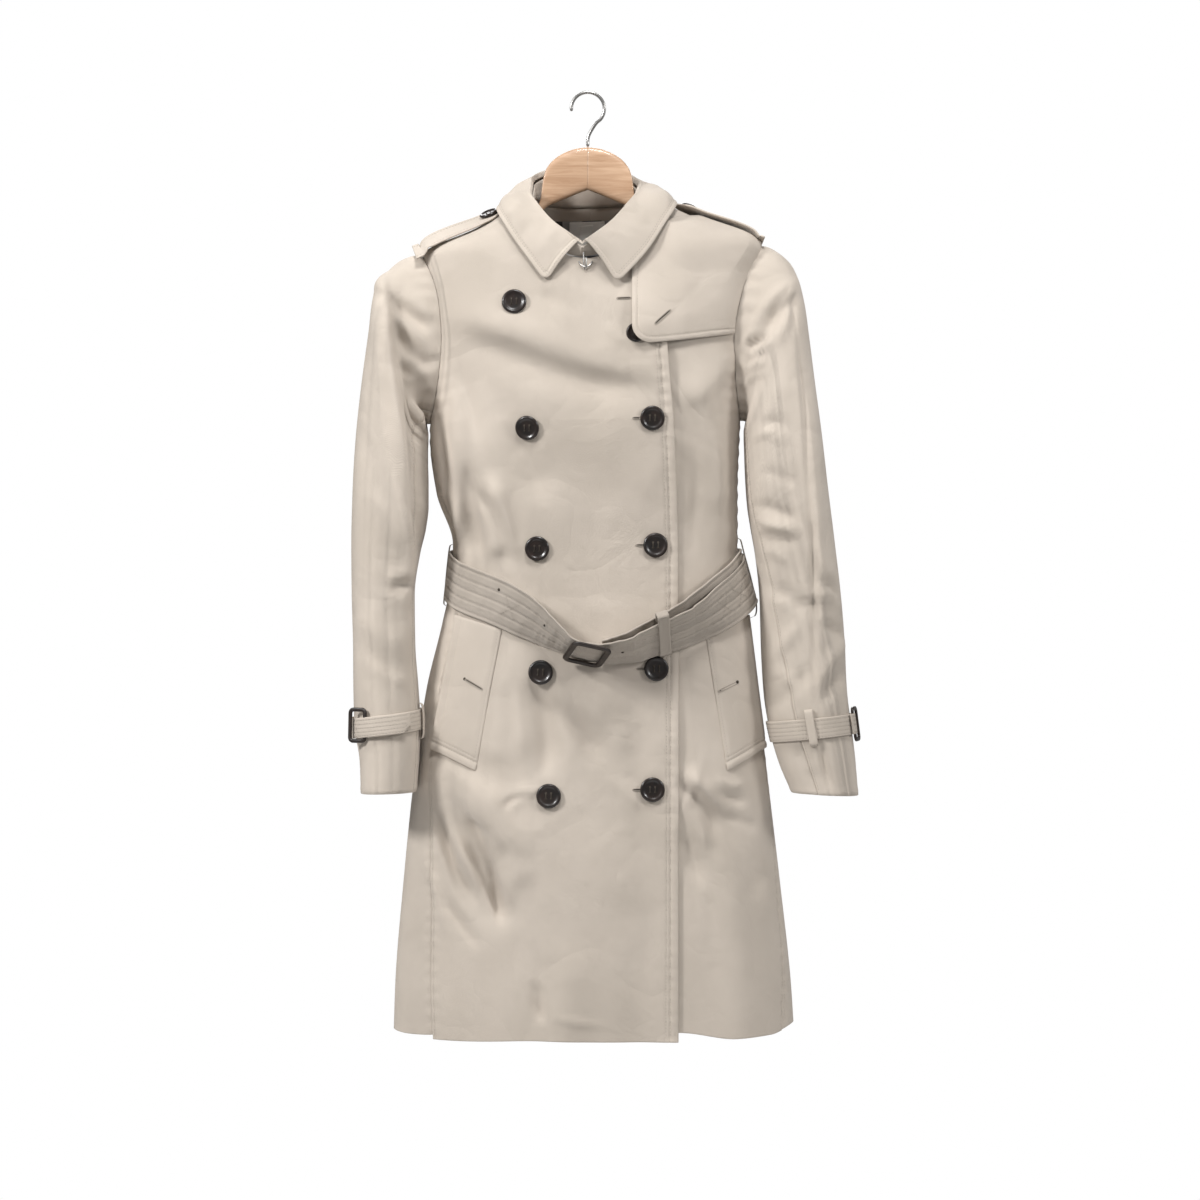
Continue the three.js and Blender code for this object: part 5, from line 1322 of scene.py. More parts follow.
def rounded_corners(points, to_edge, to_end, radius):
    """Draws the corners of a grid in, so that a square corner becomes a quarter circle."""
    from_edge, from_end = radius - to_edge, radius - to_end
    is_corner = (from_edge > 0) & (from_end > 0)
    size = np.maximum(np.hypot(from_edge, from_end), 1e-6)
    drawn = np.where(is_corner, 1 - np.maximum(from_edge, from_end) / size, 0)
    inward = -unit(np.gradient(points, axis=1))
    half = len(points) // 2
    along = unit(np.gradient(points, axis=0)) * np.where(np.arange(len(points)) < half, 1, -1)[:, None, None]
    return points + inward * (drawn * from_edge)[..., None] + along * (drawn * from_end)[..., None]


def make_collar(material):
    """The fall and the stand, each a wall on a grid of sections from the throat round the back."""
    share = np.concatenate([spaced((0.03, 14), (0.5, 66)), 1 - spaced((0.03, 14), (0.5, 66))[-2::-1]])
    t = spaced((0.3, 8), (0.84, 18), (1, 16))
    points = collar_fall_grid(share, t)
    normals = grid_normals(points)
    to_edge = np.cumsum(np.linalg.norm(np.diff(points, axis=1), axis=-1)[:, ::-1], axis=1)[:, ::-1]
    to_edge = np.pad(to_edge, ((0, 0), (0, 1)))
    along = np.cumsum(np.linalg.norm(np.diff(points[:, -6], axis=0), axis=-1))
    along = np.pad(along, (1, 0))
    to_end = np.minimum(along, along[-1] - along)[:, None]
    away = np.minimum(to_edge, to_end)
    points = rounded_corners(points, to_edge, to_end + 0 * to_edge, 11.0)
    on_leaf = smooth_step(0.3, 0.5, t)[None, :]
    relief = on_leaf * (0.4 * bump_at(away, 2.4, 1.8) - 0.55 * bump_at(away, 5.4, 1.1) - 0.3 * bump_at(away, 8.2, 1))
    relief = relief + on_leaf * (0.8 * ripple(points[..., 0] * 2, points[..., 2] * 2, 5)
                                 + creases(COLLAR_CREASES, points[..., 0], points[..., 2]))
    lifted = points + normals * relief[..., None]
    fall = wall("cloth_collar_fall", lifted, lifted - normals * CLOTH, material)
    cloth_piece(fall, (0.43, 0.085), "coat_cloth", "collar_fall", area=0.0282, rests_on=("cloth_collar_stand",))
    for inset in (5.4, 8.2):
        line, line_normals = inside_edge(lifted, normals, inset)
        sew("stitches_collar", line[4:-4] + 0.05 * line_normals[4:-4], line_normals[4:-4])
    for row in (4, -5):
        sew("stitches_collar", lifted[row, 14:-6], normals[row, 14:-6])
    _, base, _, _, stand_top, _ = collar_section(share)
    points = mix(base[:, None], stand_top[:, None], np.linspace(0, 1, 12)[None, :, None])
    normals = grid_normals(points)
    stand = wall("cloth_collar_stand", points, points + normals * CLOTH, material)
    cloth_piece(stand, (0.36, 0.042), "coat_cloth", "collar_stand", area=0.0097,
                rests_on=("cloth_back_left", "cloth_back_right"))


# Belt: it leaves its buckle to the right, goes round the back, and passes through the buckle again.
# Its lower edge lies on the coat, and lean tips its top edge out from the cloth below.
BELT = table("row angle low out lean over", [
    [0, 3, 427, 1.2, 67, 0],
    [1, 8, 430, 1.2, 63, 0],
    [2, 21, 442, 1, 51, 0],
    [3, 39, 460, 1.2, 35, 0],
    [4, 62, 482, 1.6, 13, 0],
    [5, 90, 502, 1.9, 0.5, 0],
    [6, 120, 503, 1.7, 1.5, 0],
    [7, 150, 503, 1.3, 1.5, 0],
    [8, 180, 503, 1.2, 1.2, 0],
    [9, 210, 503, 1.3, 1.5, 0],
    [10, 240, 502, 1.7, 1.5, 0],
    [11, 270, 498, 1.7, -0.5, 0],
    [12, 292, 487, 1.2, 1, 0],
    [13, 321, 470, 1, 10, 0],
    [14, 341, 450, 1, 36, 0],
    [15, 350, 440, 1, 58, 0.4],
    [16, 358, 431, 1.6, 72, 2],
    [17, 364, 427, 2.4, 68, 3],
    [18, 371, 428, 2.4, 61, 3],
    [19, 381, 437, 3.2, 52, 3],
    [20, 399, 451, 1.6, 37, 3],
    [21, 422, 470, 4, 9, 3.4],
    [22, 450, 492, 9.5, -10, 3.6],
    [23, 476, 500, 5, -4, 3.2],
])
BELT_ROWS = 23


def calm_body(angle, z, out):
    """A point off the body without its creases."""
    return body_point(angle, z) + body_normal(angle, z) * np.asarray(out)[..., None]


def belt_low_edge(row):
    angle, low = np.radians(curve(BELT, "angle", row)), curve(BELT, "low", row)
    return calm_body(angle, low, face_out(angle, low) + curve(BELT, "out", row) + BELT_THICKNESS / 2)


def belt_path(row):
    """The belt's centre line at a row, with its directions along, across and out of the face."""
    row = np.asarray(row, float)
    angle, low = np.radians(curve(BELT, "angle", row)), curve(BELT, "low", row)
    inside = np.clip(row, 0.1, BELT_ROWS - 0.1)
    along = unit(belt_low_edge(inside + 0.1) - belt_low_edge(inside - 0.1))
    normal = body_normal(angle, low + BELT_WIDTH / 2)
    outward = unit(normal - along * (normal * along).sum(axis=-1, keepdims=True))
    upright = np.cross(outward, along)
    tip = np.radians(curve(BELT, "lean", row))[..., None]
    across = upright * np.cos(tip) + outward * np.sin(tip)
    face = unit(np.cross(along, across))
    centre = belt_low_edge(row) + across * BELT_WIDTH / 2 + face * curve(BELT, "over", row)[..., None]
    return centre, along, across, face


# The belt's eyelets, by x and z of the front view
BELT_EYELETS = [(-141, 519), (-51, 467), (36, 437)]
BELT_STITCH_ROWS = (-22.5, -11.2, 0.0, 11.2, 22.5)


def belt_face(row, beside, out):
    """A point on the belt at a distance beside its centre line, with grooves under its stitch rows."""
    centre, _, across, face = belt_path(row)
    share = row / BELT_ROWS
    width = 1 - 0.8 * smooth_step(0.985, 1.002, share)
    relief = -sum(0.75 * bump_at(beside, line, 1.5) for line in BELT_STITCH_ROWS)
    relief = relief + 0.3 * bump_at(np.abs(beside), 25, 1.4)
    relief = relief + 0.3 * puckers(row * 56, 13, 8) * bump_at(np.cos(beside * math.pi / 11.2), -1, 0.9)
    wave = 0.35 * np.sin(row * 5.3 + beside * 0.05) + 0.25 * np.sin(row * 11.9 + 1 - beside * 0.09)
    sag = wave * smooth_step(0, 0.6, row)
    return centre + across * (beside * width)[..., None] + face * (out + relief + sag)[..., None]


def add_eyelet(frame, radius):
    """A small near-black disc, a little domed, that stands for a bound hole; its dark is painted shade of the hole."""
    turn = np.linspace(0, 2 * math.pi, 14, endpoint=False)
    rings = [
        stack(radius * size * np.cos(turn), radius * size * np.sin(turn), height)
        for size, height in ((0.01, -0.3), (1, -0.3), (1, 0.15), (0.7, 0.3), (0.01, 0.35))
    ]
    small_solids.setdefault("eyelets", []).append(placed(np.array(rings), frame, 0))


def make_belt(material):
    """One strip with five rows of stitching, and cross stitches near the sides."""
    row, beside = np.linspace(0, BELT_ROWS, 460)[:, None], np.linspace(-26, 26, 41)[None, :]
    row, beside = np.broadcast_arrays(row, beside)
    outer = belt_face(row, beside, np.full(row.shape, BELT_THICKNESS / 2))
    inner = belt_face(row, beside, np.full(row.shape, -BELT_THICKNESS / 2))
    piece = wall("cloth_belt", outer, inner, material)
    below = ("cloth_over_front", "cloth_under_front", "cloth_back_left", "cloth_back_right")
    cloth_piece(piece, (0.052, 1.21), "belt_cloth", "belt", rests_on=below)
    # Each of the belt's eyelets is a near-black disc: painted shade of its hole.
    for x, z in BELT_EYELETS:
        from_spot = np.hypot(outer[..., 0] - x, outer[..., 2] - z) + 1000 * ((outer[..., 1] > 0) | (row < 13))
        k, j = np.unravel_index(np.argmin(from_spot), from_spot.shape)
        frame = first_of(belt_path(row[k:k + 1, j]))
        add_eyelet([outer[k, j], *frame[1:]], 1.7)
    line = np.linspace(0.1, BELT_ROWS - 0.2, 1300)
    face = belt_path(line)[3]
    for offset in BELT_STITCH_ROWS:
        points = belt_face(line, np.full(line.shape, offset), np.full(line.shape, BELT_THICKNESS / 2 + 0.1))
        sew("stitches_belt", points, face)
    for start in (3.0, 3.6, 13.2, 20.6, 21.2):
        for first, last, lean in ((-11.2, 11.2, 0.35), (11.2, -11.2, 0.35)):
            t = np.linspace(0, 1, 12)
            at = start + lean * t
            points = belt_face(at, mix(first, last, t), np.full(12, BELT_THICKNESS / 2 + 0.4))
            sew("stitches_belt", points, belt_path(at)[3])


def make_belt_loop(name, degrees, low, high, height, taper, material):
    """A narrow strip sewn above and below the belt, which it stands over."""
    share, turn = np.meshgrid(np.linspace(0, 1, 60), np.linspace(-0.02, 0.02, 9), indexing="ij")
    angle, z = math.radians(degrees) + turn, mix(low, high, share)
    arch = height * (1 - taper * share) * np.maximum(0, np.sin(math.pi * share)) ** 0.25
    lift = CLOTH + 0.6 + arch - 0.25 * bump_at(np.abs(turn), 0.013, 0.003)
    outer, inner = calm_body(angle, z, lift + THIN_CLOTH), calm_body(angle, z, lift)
    piece = wall(f"cloth_belt_loop_{name}", outer, inner, material)
    length = METRE * (high - low + 1.2 * height)
    cloth_piece(piece, (0.01, length), "coat_cloth", f"belt_loop_{name}", area=0.006 * length, rests_on=("cloth_belt",))


# Rigid trimmings

def rounded_rectangle(width, height, radius, count):
    """Points round a rectangle with round corners, evenly spaced, with the unit directions away from it."""
    turn = np.linspace(0, 0.5 * math.pi, 9)
    corners = []
    for k, (sx, sy) in enumerate(((1, 1), (-1, 1), (-1, -1), (1, -1))):
        arc = turn + k * 0.5 * math.pi
        corner = np.array([sx * (width / 2 - radius), sy * (height / 2 - radius)])
        corners.append(corner + radius * np.stack([np.cos(arc), np.sin(arc)], axis=-1))
    outline = np.concatenate(corners + [corners[0][:1]])
    length = np.pad(np.cumsum(np.linalg.norm(np.diff(outline, axis=0), axis=-1)), (1, 0))
    at = np.linspace(0, length[-1], count, endpoint=False)
    points = np.stack([np.interp(at, length, outline[:, k]) for k in range(2)], axis=-1)
    tangent = unit(np.roll(points, -1, axis=0) - np.roll(points, 1, axis=0))
    return points, np.stack([tangent[:, 1], -tangent[:, 0]], axis=-1)


def placed(local, frame, out):
    """Local points along, across and up from the face of a frame, put where the frame is."""
    centre, along, across, face = frame
    return centre + face * out + local @ np.stack([along, across, face])


def make_frame(name, size, bar, thickness, radius, frame, out, material, slot):
    """A buckle's frame: a bar of flattened round section led round a rounded rectangle."""
    width, height = size
    line, away = rounded_rectangle(width - bar, height - bar, radius, 112)
    turn = np.linspace(0, 2 * math.pi, 18, endpoint=False)
    beside = bar / 2 * signed_power(np.cos(turn), 0.8)
    up = thickness / 2 * (1 + signed_power(np.sin(turn), 0.8))
    flat = line[:, None] + away[:, None] * beside[None, :, None]
    local = np.concatenate([flat, np.broadcast_to(up[None, :, None], flat.shape[:2] + (1,))], axis=-1)
    piece = loft(f"trim_{name}", placed(local, frame, out), material, closed_path=True)
    return own(piece, slot, name)


def first_of(frame):
    return [np.asarray(part).reshape(-1, 3)[0] for part in frame]


def make_belt_fittings(cloth, leather):
    centre, along, across, face = first_of(belt_path(np.array([16.25])))
    turned = along * math.cos(0.22) - across * math.sin(0.22)
    buckle = [centre + 3 * across, turned, np.cross(face, turned), face]
    make_frame("belt_buckle", (46, 62), 7, 4.2, 7, buckle, BELT_THICKNESS / 2 + 1.2, leather, "leather")
    centre, along, across, face = first_of(belt_path(np.array([19.1])))
    centre = centre + 5.2 * across - 1.5 * face
    outline, away = rounded_rectangle(8 + THIN_CLOTH, BELT_WIDTH + 12 + THIN_CLOTH, 2, 120)
    beside = np.linspace(-6.5, 6.5, 12)
    layers = []
    for half in (THIN_CLOTH / 2, -THIN_CLOTH / 2):
        rim = half + 0.25 * bump_at(np.abs(beside), 5, 1) * np.sign(half)
        at = outline[None] + away[None] * rim[:, None, None]
        layers.append(
            centre + face * at[..., :1] + across * at[..., 1:] + along * beside[:, None, None]
        )
    keeper = wall("cloth_belt_keeper", *layers, cloth, is_tube=True)
    cloth_piece(keeper, (0.013, 0.145), "belt_cloth", "belt_keeper", rests_on=("cloth_belt",))
    make_belt_loop("left", -92, 489, 560, 4.6, 0, cloth)
    make_belt_loop("right", 92, 474, 567, 17, 0.7, cloth)


BUTTONS = {
    "left_1": (-85, 834), "left_2": (-69, 692), "left_3": (-59, 554), "left_4": (-55, 414), "left_5": (-46, 275),
    "right_2": (70, 701), "right_3": (73.5, 558), "right_4": (74.5, 418), "right_5": (70, 282),
}
BUTTON_RADIUS, SMALL_BUTTON_RADIUS = 14.0, 11.0
FLAP_BUTTON = (52, 796)
BUTTON_PROFILE = np.array([
    [0, 0], [0.5, 0], [0.8, 0], [0.93, 0.5], [0.985, 1.2], [1, 1.9], [0.985, 2.6], [0.94, 3.3], [0.88, 3.75],
    [0.82, 3.8], [0.76, 3.5], [0.69, 2.9], [0.62, 2.5], [0.52, 2.35], [0.3, 2.3], [0, 2.3],
])


def make_button(name, frame, radius, materials):
    """A turned horn button with a dished middle, four near-black discs that are painted shade of its holes, and thread
    across them.
    """
    horn, dark, thread = materials
    turn = np.linspace(0, 2 * math.pi, 48, endpoint=False)
    reach = np.maximum(BUTTON_PROFILE[:, :1] * radius, 0.02)
    local = stack(reach * np.cos(turn), reach * np.sin(turn), BUTTON_PROFILE[:, 1:] + 0 * turn)
    own(loft(f"trim_button_{name}", placed(local, frame, 0), horn), "button", f"button_{name}")
    # The holes are not cut through: near-black discs on the dished middle are painted shade of them.
    hole, spread = 0.1 * radius, 0.21 * radius
    turn = turn[::4]
    rings = []
    for x, y in ((1, 1), (-1, 1), (-1, -1), (1, -1)):
        for size, height in ((0.01, 2.0), (1, 2.0), (1, 2.42), (0.01, 2.42)):
            rings.append(stack(x * spread + hole * size * np.cos(turn), y * spread + hole * size * np.sin(turn), height))
    holes = np.array(rings).reshape(4, 4, len(turn), 3)
    for k in range(4):
        small_solids.setdefault("button_hole_shade", []).append(placed(holes[k], frame, 0))
    for x in (-1, 1):
        ends = np.linspace(-1, 1, 7)
        path = stack(x * spread + 0 * ends, ends * spread, 2.3 + 0.75 * np.sqrt(np.maximum(0, 1 - ends**2)))
        small_solids.setdefault("button_threads", []).append(placed(tube_rings(path, 0.62, 8), frame, 0))


def joined_solids(name, material, slot):
    """Joins a group's small closed skins, each a set of rings, into one piece."""
    vertices, faces, start = [], [], 0
    for rings in small_solids.pop(name):
        count, sides = rings.shape[:2]
        index = np.arange(count * sides).reshape(count, sides)
        index = np.concatenate([index, index[:, :1]], axis=1)
        quads = np.stack([index[:-1, :-1], index[:-1, 1:], index[1:, 1:], index[1:, :-1]], axis=-1).reshape(-1, 4)
        points = rings.reshape(-1, 3)
        turned = facing_out(points, quads)
        caps = [index[0, :-1][::-1], index[-1, :-1]]
        if not np.array_equal(turned, quads):
            caps = [cap[::-1] for cap in caps]
        faces += (turned + start).tolist() + [(cap + start).tolist() for cap in caps]
        vertices.append(points)
        start += len(points)
    return own(new_object(name, np.concatenate(vertices), faces, material), slot)


def standing(angle, z, out):
    """The frame of something that stands on the body: its face is the body's normal."""
    angle, z = np.array([angle], float), np.array([z], float)
    centre, face = on_body(angle, z, np.array([out]))[0], body_normal(angle, z)[0]
    across = unit(UP - face * face[2])
    return [centre, np.cross(across, face), across, face]


def make_buttons(materials):
    for name, (x, z) in BUTTONS.items():
        angle = angle_at(x, z)
        out = float(over_lift(body_point(angle, z)[..., 0])) + CLOTH + 0.9
        make_button(name, standing(angle, z, out), BUTTON_RADIUS, materials)
    x, z = FLAP_BUTTON
    make_button("flap", standing(angle_at(x, z), z, LAP_OUT + CLOTH + 0.9), SMALL_BUTTON_RADIUS, materials)
    for name in SIDES:
        centre, along, across, face = first_of(epaulette_path(name, np.array([0.84])))
        if np.dot(np.cross(along, across), face) < 0:
            across = -across
        make_button(f"epaulette_{name}", [centre + face * (CLOTH + 0.9), along, across, face], SMALL_BUTTON_RADIUS, materials)


# Buttonholes: bound slits from x0, z0 to x1, z1
BUTTONHOLES = [
    [30, 835, 47, 835], [47.5, 701, 66, 701], [51, 558, 69.5, 558], [52, 418, 70.5, 418], [47.5, 282, 66, 282],
    [72.5, 804, 91, 820], [-140, 406, -118, 394], [144, 392, 167, 402.5],
]


def make_buttonholes(thread, dark):
    """A ring of close stitches round each slit, and inside it a thin near-black sheet, painted shade of the slit."""
    turn = np.linspace(0, 2 * math.pi, 40, endpoint=False)
    for x0, z0, x1, z1 in BUTTONHOLES:
        length = math.hypot(x1 - x0, z1 - z0)
        direction, aside = np.array([x1 - x0, z1 - z0]) / length, np.array([z0 - z1, x1 - x0]) / length
        middle = np.array([x0 + x1, z0 + z1]) / 2
        for group, half, lift in (("buttonhole_thread", 1.25, 0.25), ("buttonhole_slit_shade", 0.5, 0.1)):
            along = (length / 2 - 0.6) * signed_power(np.cos(turn), 0.35)
            spot = middle + along[:, None] * direction + (half * np.sin(turn))[:, None] * aside
            angle = angle_at(spot[:, 0], spot[:, 1])
            is_welt = z0 < 410 and abs(x0) > 100
            on_flap = z0 > 800 and x0 > 70
            top = face_out(angle, spot[:, 1]) + (2.5 if is_welt else 0)
            top = flap_lift(angle, spot[:, 1]) + CLOTH if on_flap else top
            line = on_body(angle, spot[:, 1], top + lift)
            if group == "buttonhole_thread":
                closed = np.concatenate([line[-3:], line, line[:3]])
                small_solids.setdefault(group, []).append(tube_rings(closed, 0.62, 7))
            else:
                # A thin near-black sheet in the slit: painted shade of the opening.
                normal = body_normal(angle, spot[:, 1])
                rings = np.stack([line.mean(axis=0) + (line - line.mean(axis=0)) * 0.01 - normal * 0.3,
                                  line - normal * 0.3, line + normal * 0.12,
                                  line.mean(axis=0) + (line - line.mean(axis=0)) * 0.01 + normal * 0.12])
                small_solids.setdefault(group, []).append(rings)
    # Near-black discs at the outer ends of the welts' buttonholes: painted shade of their round holes.
    for x, z, lift in ((-140, 406, 2.7), (165, 402.5, 3.6)):
        add_eyelet(standing(angle_at(x, z), z, float(face_out(angle_at(x, z), z)) + lift), 1.8)
    joined_solids("eyelets", dark, "belt_cloth")
    joined_solids("buttonhole_thread", thread, "coat_cloth")
    joined_solids("buttonhole_slit_shade", dark, "lining")


# Shoulder straps
EPAULETTES = {
    "left": {"loop_y": -5.4, "loop_half": 9, "loop_up": 0, "arm_x": 200, "neck_x": 98, "rise": 4.6, "arm_rise": 5,
             "arch": 2, "lean": 27, "neck_lean": 21, "shift": -9},
    "right": {"loop_y": 5, "loop_half": 5, "loop_up": 0.7, "arm_x": 197, "neck_x": 97, "rise": 3.6, "arm_rise": 4.4,
              "arch": 1.5, "lean": -13, "neck_lean": -13, "shift": 1},
}


def shoulder_ridge(side, x):
    """The highest line of one shoulder by x: the height is found by halving a span again and again."""
    x = np.asarray(x, float)
    low, high = np.full(x.shape, SHOULDER_Z), np.full(x.shape, NECK_Z)
    for _ in range(24):
        z = (low + high) / 2
        is_wider = half_at(side, z) > np.abs(x)
        low, high = np.where(is_wider, z, low), np.where(is_wider, high, z)
    ridge = body_point(np.full(x.shape, side * math.pi / 2), low)
    ridge[..., 2] -= np.maximum(0, np.abs(x) - half_at(side, low)) * 0.35
    ridge[..., 0] = x
    return ridge


def epaulette_path(name, t):
    e, side = EPAULETTES[name], SIDES[name]

    def at(share):
        lift = mix(e["arm_rise"], e["rise"], share) + e["arch"] * np.sin(math.pi * share)
        ridge = shoulder_ridge(side, side * mix(e["arm_x"], e["neck_x"], share))
        return ridge + stack(0, e["shift"], lift + CLOTH)

    along = unit(at(t + 0.02) - at(t - 0.02))
    lean = np.radians(mix(e["lean"], e["neck_lean"], t))
    backward = stack(0, np.cos(lean), np.sin(lean))
    across = unit(backward - along * (backward * along).sum(axis=-1, keepdims=True))
    face = unit(np.cross(along, across))
    return at(t), along, across, face * np.where(face[..., 2:] < 0, -1, 1)


def make_epaulettes(material):
    """Each strap, tapered towards the collar, and the small arch of cloth that it passes through."""
    for name, e in EPAULETTES.items():
        side = SIDES[name]
        t, u = spaced((0.94, 60), (1, 12)), spaced((0.16, 8), (0.84, 12), (1, 8)) - 0.5
        centre, _, across, face = (part[:, None] for part in epaulette_path(name, t))
        width = (mix(44, 36, t) * (1 - 0.72 * smooth_step(0.8, 1.03, t)))[:, None]
        away = np.minimum((0.5 - np.abs(u))[None] * width, (1 - t)[:, None] * 100)
        relief = 0.35 * bump_at(away, 2.4, 1.8) - 0.5 * bump_at(away, 5.4, 1.2)
        flat = centre + across * (u[None] * width)[..., None]
        piece = wall(f"cloth_epaulette_{name}", flat + face * (CLOTH + 0.4 + relief)[..., None], flat + 0 * face, material)
        cloth_piece(piece, (0.044, 0.108), "coat_cloth", f"epaulette_{name}", rests_on=("cloth_back_left",))
        for edge in (-1, 1):
            beside = edge * np.maximum(width[:, 0] / 2 - 5.4, 2)
            line = centre[:, 0] + across[:, 0] * beside[:, None] + face[:, 0] * (CLOTH + 0.1)
            sew("stitches_trim", line[:66], face[:66, 0])
        along, turn = np.linspace(-4, 4, 7)[:, None], np.linspace(0, math.pi, 30)[None, :]
        spot = shoulder_ridge(side, np.array(side * 170.0))
        layers = []
        for out in (THIN_CLOTH, 0):
            layers.append(stack(
                spot[0] + along + 0 * turn,
                spot[1] + e["loop_y"] - (e["loop_half"] + out) * np.cos(turn) + 0 * along,
                spot[2] - side * along * 0.5 + CLOTH + e["loop_up"] + (1.4 + out) * np.sin(turn),
            ))
        loop = wall(f"cloth_epaulette_loop_{name}", *layers, material)
        length = 0.026 if name == "left" else 0.017
        cloth_piece(loop, (0.01, length), "coat_cloth", f"epaulette_loop_{name}", area=0.008 * length,
                    rests_on=("cloth_back_left",))


# Cuff straps: one and a bit turns of a band round the sleeve, the tapered end outside
CUFFS = {
    "left": {"start": 14, "sweep": 475, "buckle": 43, "out": 5.0, "turn": 0.9, "loop": 166, "loop_out": 1.5},
    "right": {"start": -10, "sweep": 400, "buckle": 3, "out": 3.6, "turn": 0.25, "loop": 92, "loop_out": 0.4},
}


CUFF_STITCH_ROWS = (-0.8, -0.4, 0.0, 0.4, 0.8)


def cuff_face(name, t, v, extra):
    c = CUFFS[name]
    degrees = c["sweep"] * t
    turn = np.radians(c["start"] + degrees)
    out = 1.1 + 3.6 * smooth_step(300, 352, degrees) + extra
    taper = smooth_step(0.972, 1, t) * (v > 0) if name == "left" else 0
    rise = 0.1 * np.cos(turn - 0.5) if name == "left" else 0
    return on_sleeve(name, turn, CUFF_RING + rise + v * 0.27 * (1 - 0.8 * taper), out)


def make_cuffs(material, leather):
    """Each band with its rows of stitching, and its buckle."""
    for name, c in CUFFS.items():
        t, v = np.linspace(0, 1, 190)[:, None], np.linspace(-1, 1, 19)[None, :]
        t, v = np.broadcast_arrays(t, v)
        relief = -sum(0.4 * bump_at(v, line, 0.1) for line in CUFF_STITCH_ROWS)
        piece = wall(f"cloth_cuff_strap_{name}", cuff_face(name, t, v, CLOTH + relief), cuff_face(name, t, v, 0), material)
        cloth_piece(piece, (0.026, 0.32), "coat_cloth", f"cuff_strap_{name}", rests_on=(f"cloth_top_sleeve_{name}",))
        line = np.linspace(0.005, 0.99, 400)
        for row in CUFF_STITCH_ROWS:
            points = cuff_face(name, line, np.full(400, row), CLOTH + 0.05)
            sew("stitches_trim", points, points - cuff_face(name, line, np.full(400, row), -2))
        along, beside = np.meshgrid(np.linspace(-1, 1, 30), np.linspace(-1, 1, 7), indexing="ij")
        turn = math.radians(c["loop"]) + 0.07 * beside
        arch = 0.4 + 3.1 * np.sqrt(np.maximum(0, 1 - along**6)) + c["loop_out"]
        spot = CUFF_RING + 0.5 * along
        loop = wall(
            f"cloth_cuff_loop_{name}",
            on_sleeve(name, turn, spot, arch + THIN_CLOTH), on_sleeve(name, turn, spot, arch), material,
        )
        cloth_piece(loop, (0.01, 0.045), "coat_cloth", area=0.0003, rests_on=(f"cloth_cuff_strap_{name}",))
        turn, ring = math.radians(c["buckle"]), np.array([CUFF_RING])
        centre = on_sleeve(name, turn, ring, 0)[0]
        along = unit(on_sleeve(name, turn + 0.05, ring, 0)[0] - on_sleeve(name, turn - 0.05, ring, 0)[0])
        face = unit(on_sleeve(name, turn, ring, 5)[0] - centre)
        across = unit(np.cross(face, along))
        face = unit(face - c["turn"] * np.array([0.0, 1.0, 0.0]))
        across = unit(across - face * np.dot(across, face))
        frame = [centre, np.cross(across, face), across, face]
        make_frame(f"cuff_buckle_{name}", (24, 40), 4.6, 3.4, 4, frame, c["out"], leather, "leather")


# Hanger: two bent wooden arms mitred at the middle, and a steel hook
HANGER = table("reach top bottom", [
    [0, 1016.6, 967.6],
    [12, 1015.2, 963],
    [26, 1010.5, 957],
    [38, 1003, 952],
    [47, 992.5, 947.5],
    [50.5, 983, 944],
    [52.5, 970, 941],
    [54, 958, 938],
    [57, 950, 934],
    [66, 947, 925],
])
HANGER_END, HANGER_HALF_THICKNESS, ARM_HEIGHT = 178.0, 6.5, 25.0
HOOK_WIRE, HOOK_RADIUS, HOOK_FOOT = 1.9, 19.0, 1017.0


def make_hanger(wood, steel):
    """The arms follow the shoulders from inside; the hook goes up from the wood and over the rail."""
    for name, side in SIDES.items():
        reach = np.concatenate([np.linspace(0.02, 44, 40), np.linspace(45, 60, 40), np.linspace(61, HANGER_END, 80)])
        x = HANGER_X + side * reach
        under = shoulder_ridge(side, x)[..., 2] - mix(2.1, 2.3, smooth_step(110, 178, reach))
        blend = smooth_step(57, 70, reach)
        top = mix(curve(HANGER, "top", reach), under, blend)
        bottom = mix(curve(HANGER, "bottom", reach), under - ARM_HEIGHT, blend)
        half = HANGER_HALF_THICKNESS * mix(1, 0.75, smooth_step(90, HANGER_END, reach))
        half = half * np.sqrt(np.clip(1 - smooth_step(170, HANGER_END, reach) ** 2 * 0.6, 0.05, 1))
        rounding = 0.22 * smooth_step(166, HANGER_END, reach)
        turn = np.linspace(0, 2 * math.pi, 28, endpoint=False)[None, :]
        share = mix(rounding[:, None], 1 - rounding[:, None], 0.5 + 0.5 * signed_power(np.sin(turn), 0.45))
        forward = -SHOULDER_FORWARD * (np.sqrt(x * x + 900) - 30)
        y = forward[:, None] + half[:, None] * signed_power(np.cos(turn), 0.55)
        rings = stack(x[:, None] + 0 * y, y, mix(top[:, None], bottom[:, None], share))
        own(loft(f"wood_hanger_arm_{name}", rings, wood), "hanger_wood", f"hanger_arm_{name}")
    turn = np.radians(np.linspace(-58, 188, 15))
    centre_z = 1078.0 - HOOK_RADIUS
    arc = stack(HANGER_X + HOOK_RADIUS * np.cos(turn), 0, centre_z + HOOK_WIRE + HOOK_RADIUS * np.sin(turn))
    neck = stack(HANGER_X + np.array([0, 0, 1.5]), 0, HOOK_FOOT + np.array([0.0, 8, 14]))
    path = catmull_rom(np.concatenate([neck, arc]), np.linspace(0, 1, 150))
    ends = np.minimum(np.arange(150), np.arange(150)[::-1])
    radius = HOOK_WIRE * np.sqrt(np.clip(0.2 + ends / 3, 0, 1))
    own(loft("metal_hanger_hook", tube_rings(path, radius, 18), steel), "steel", "hanger_hook")


# Neck lining with its bare label, and the throat's hook and eye

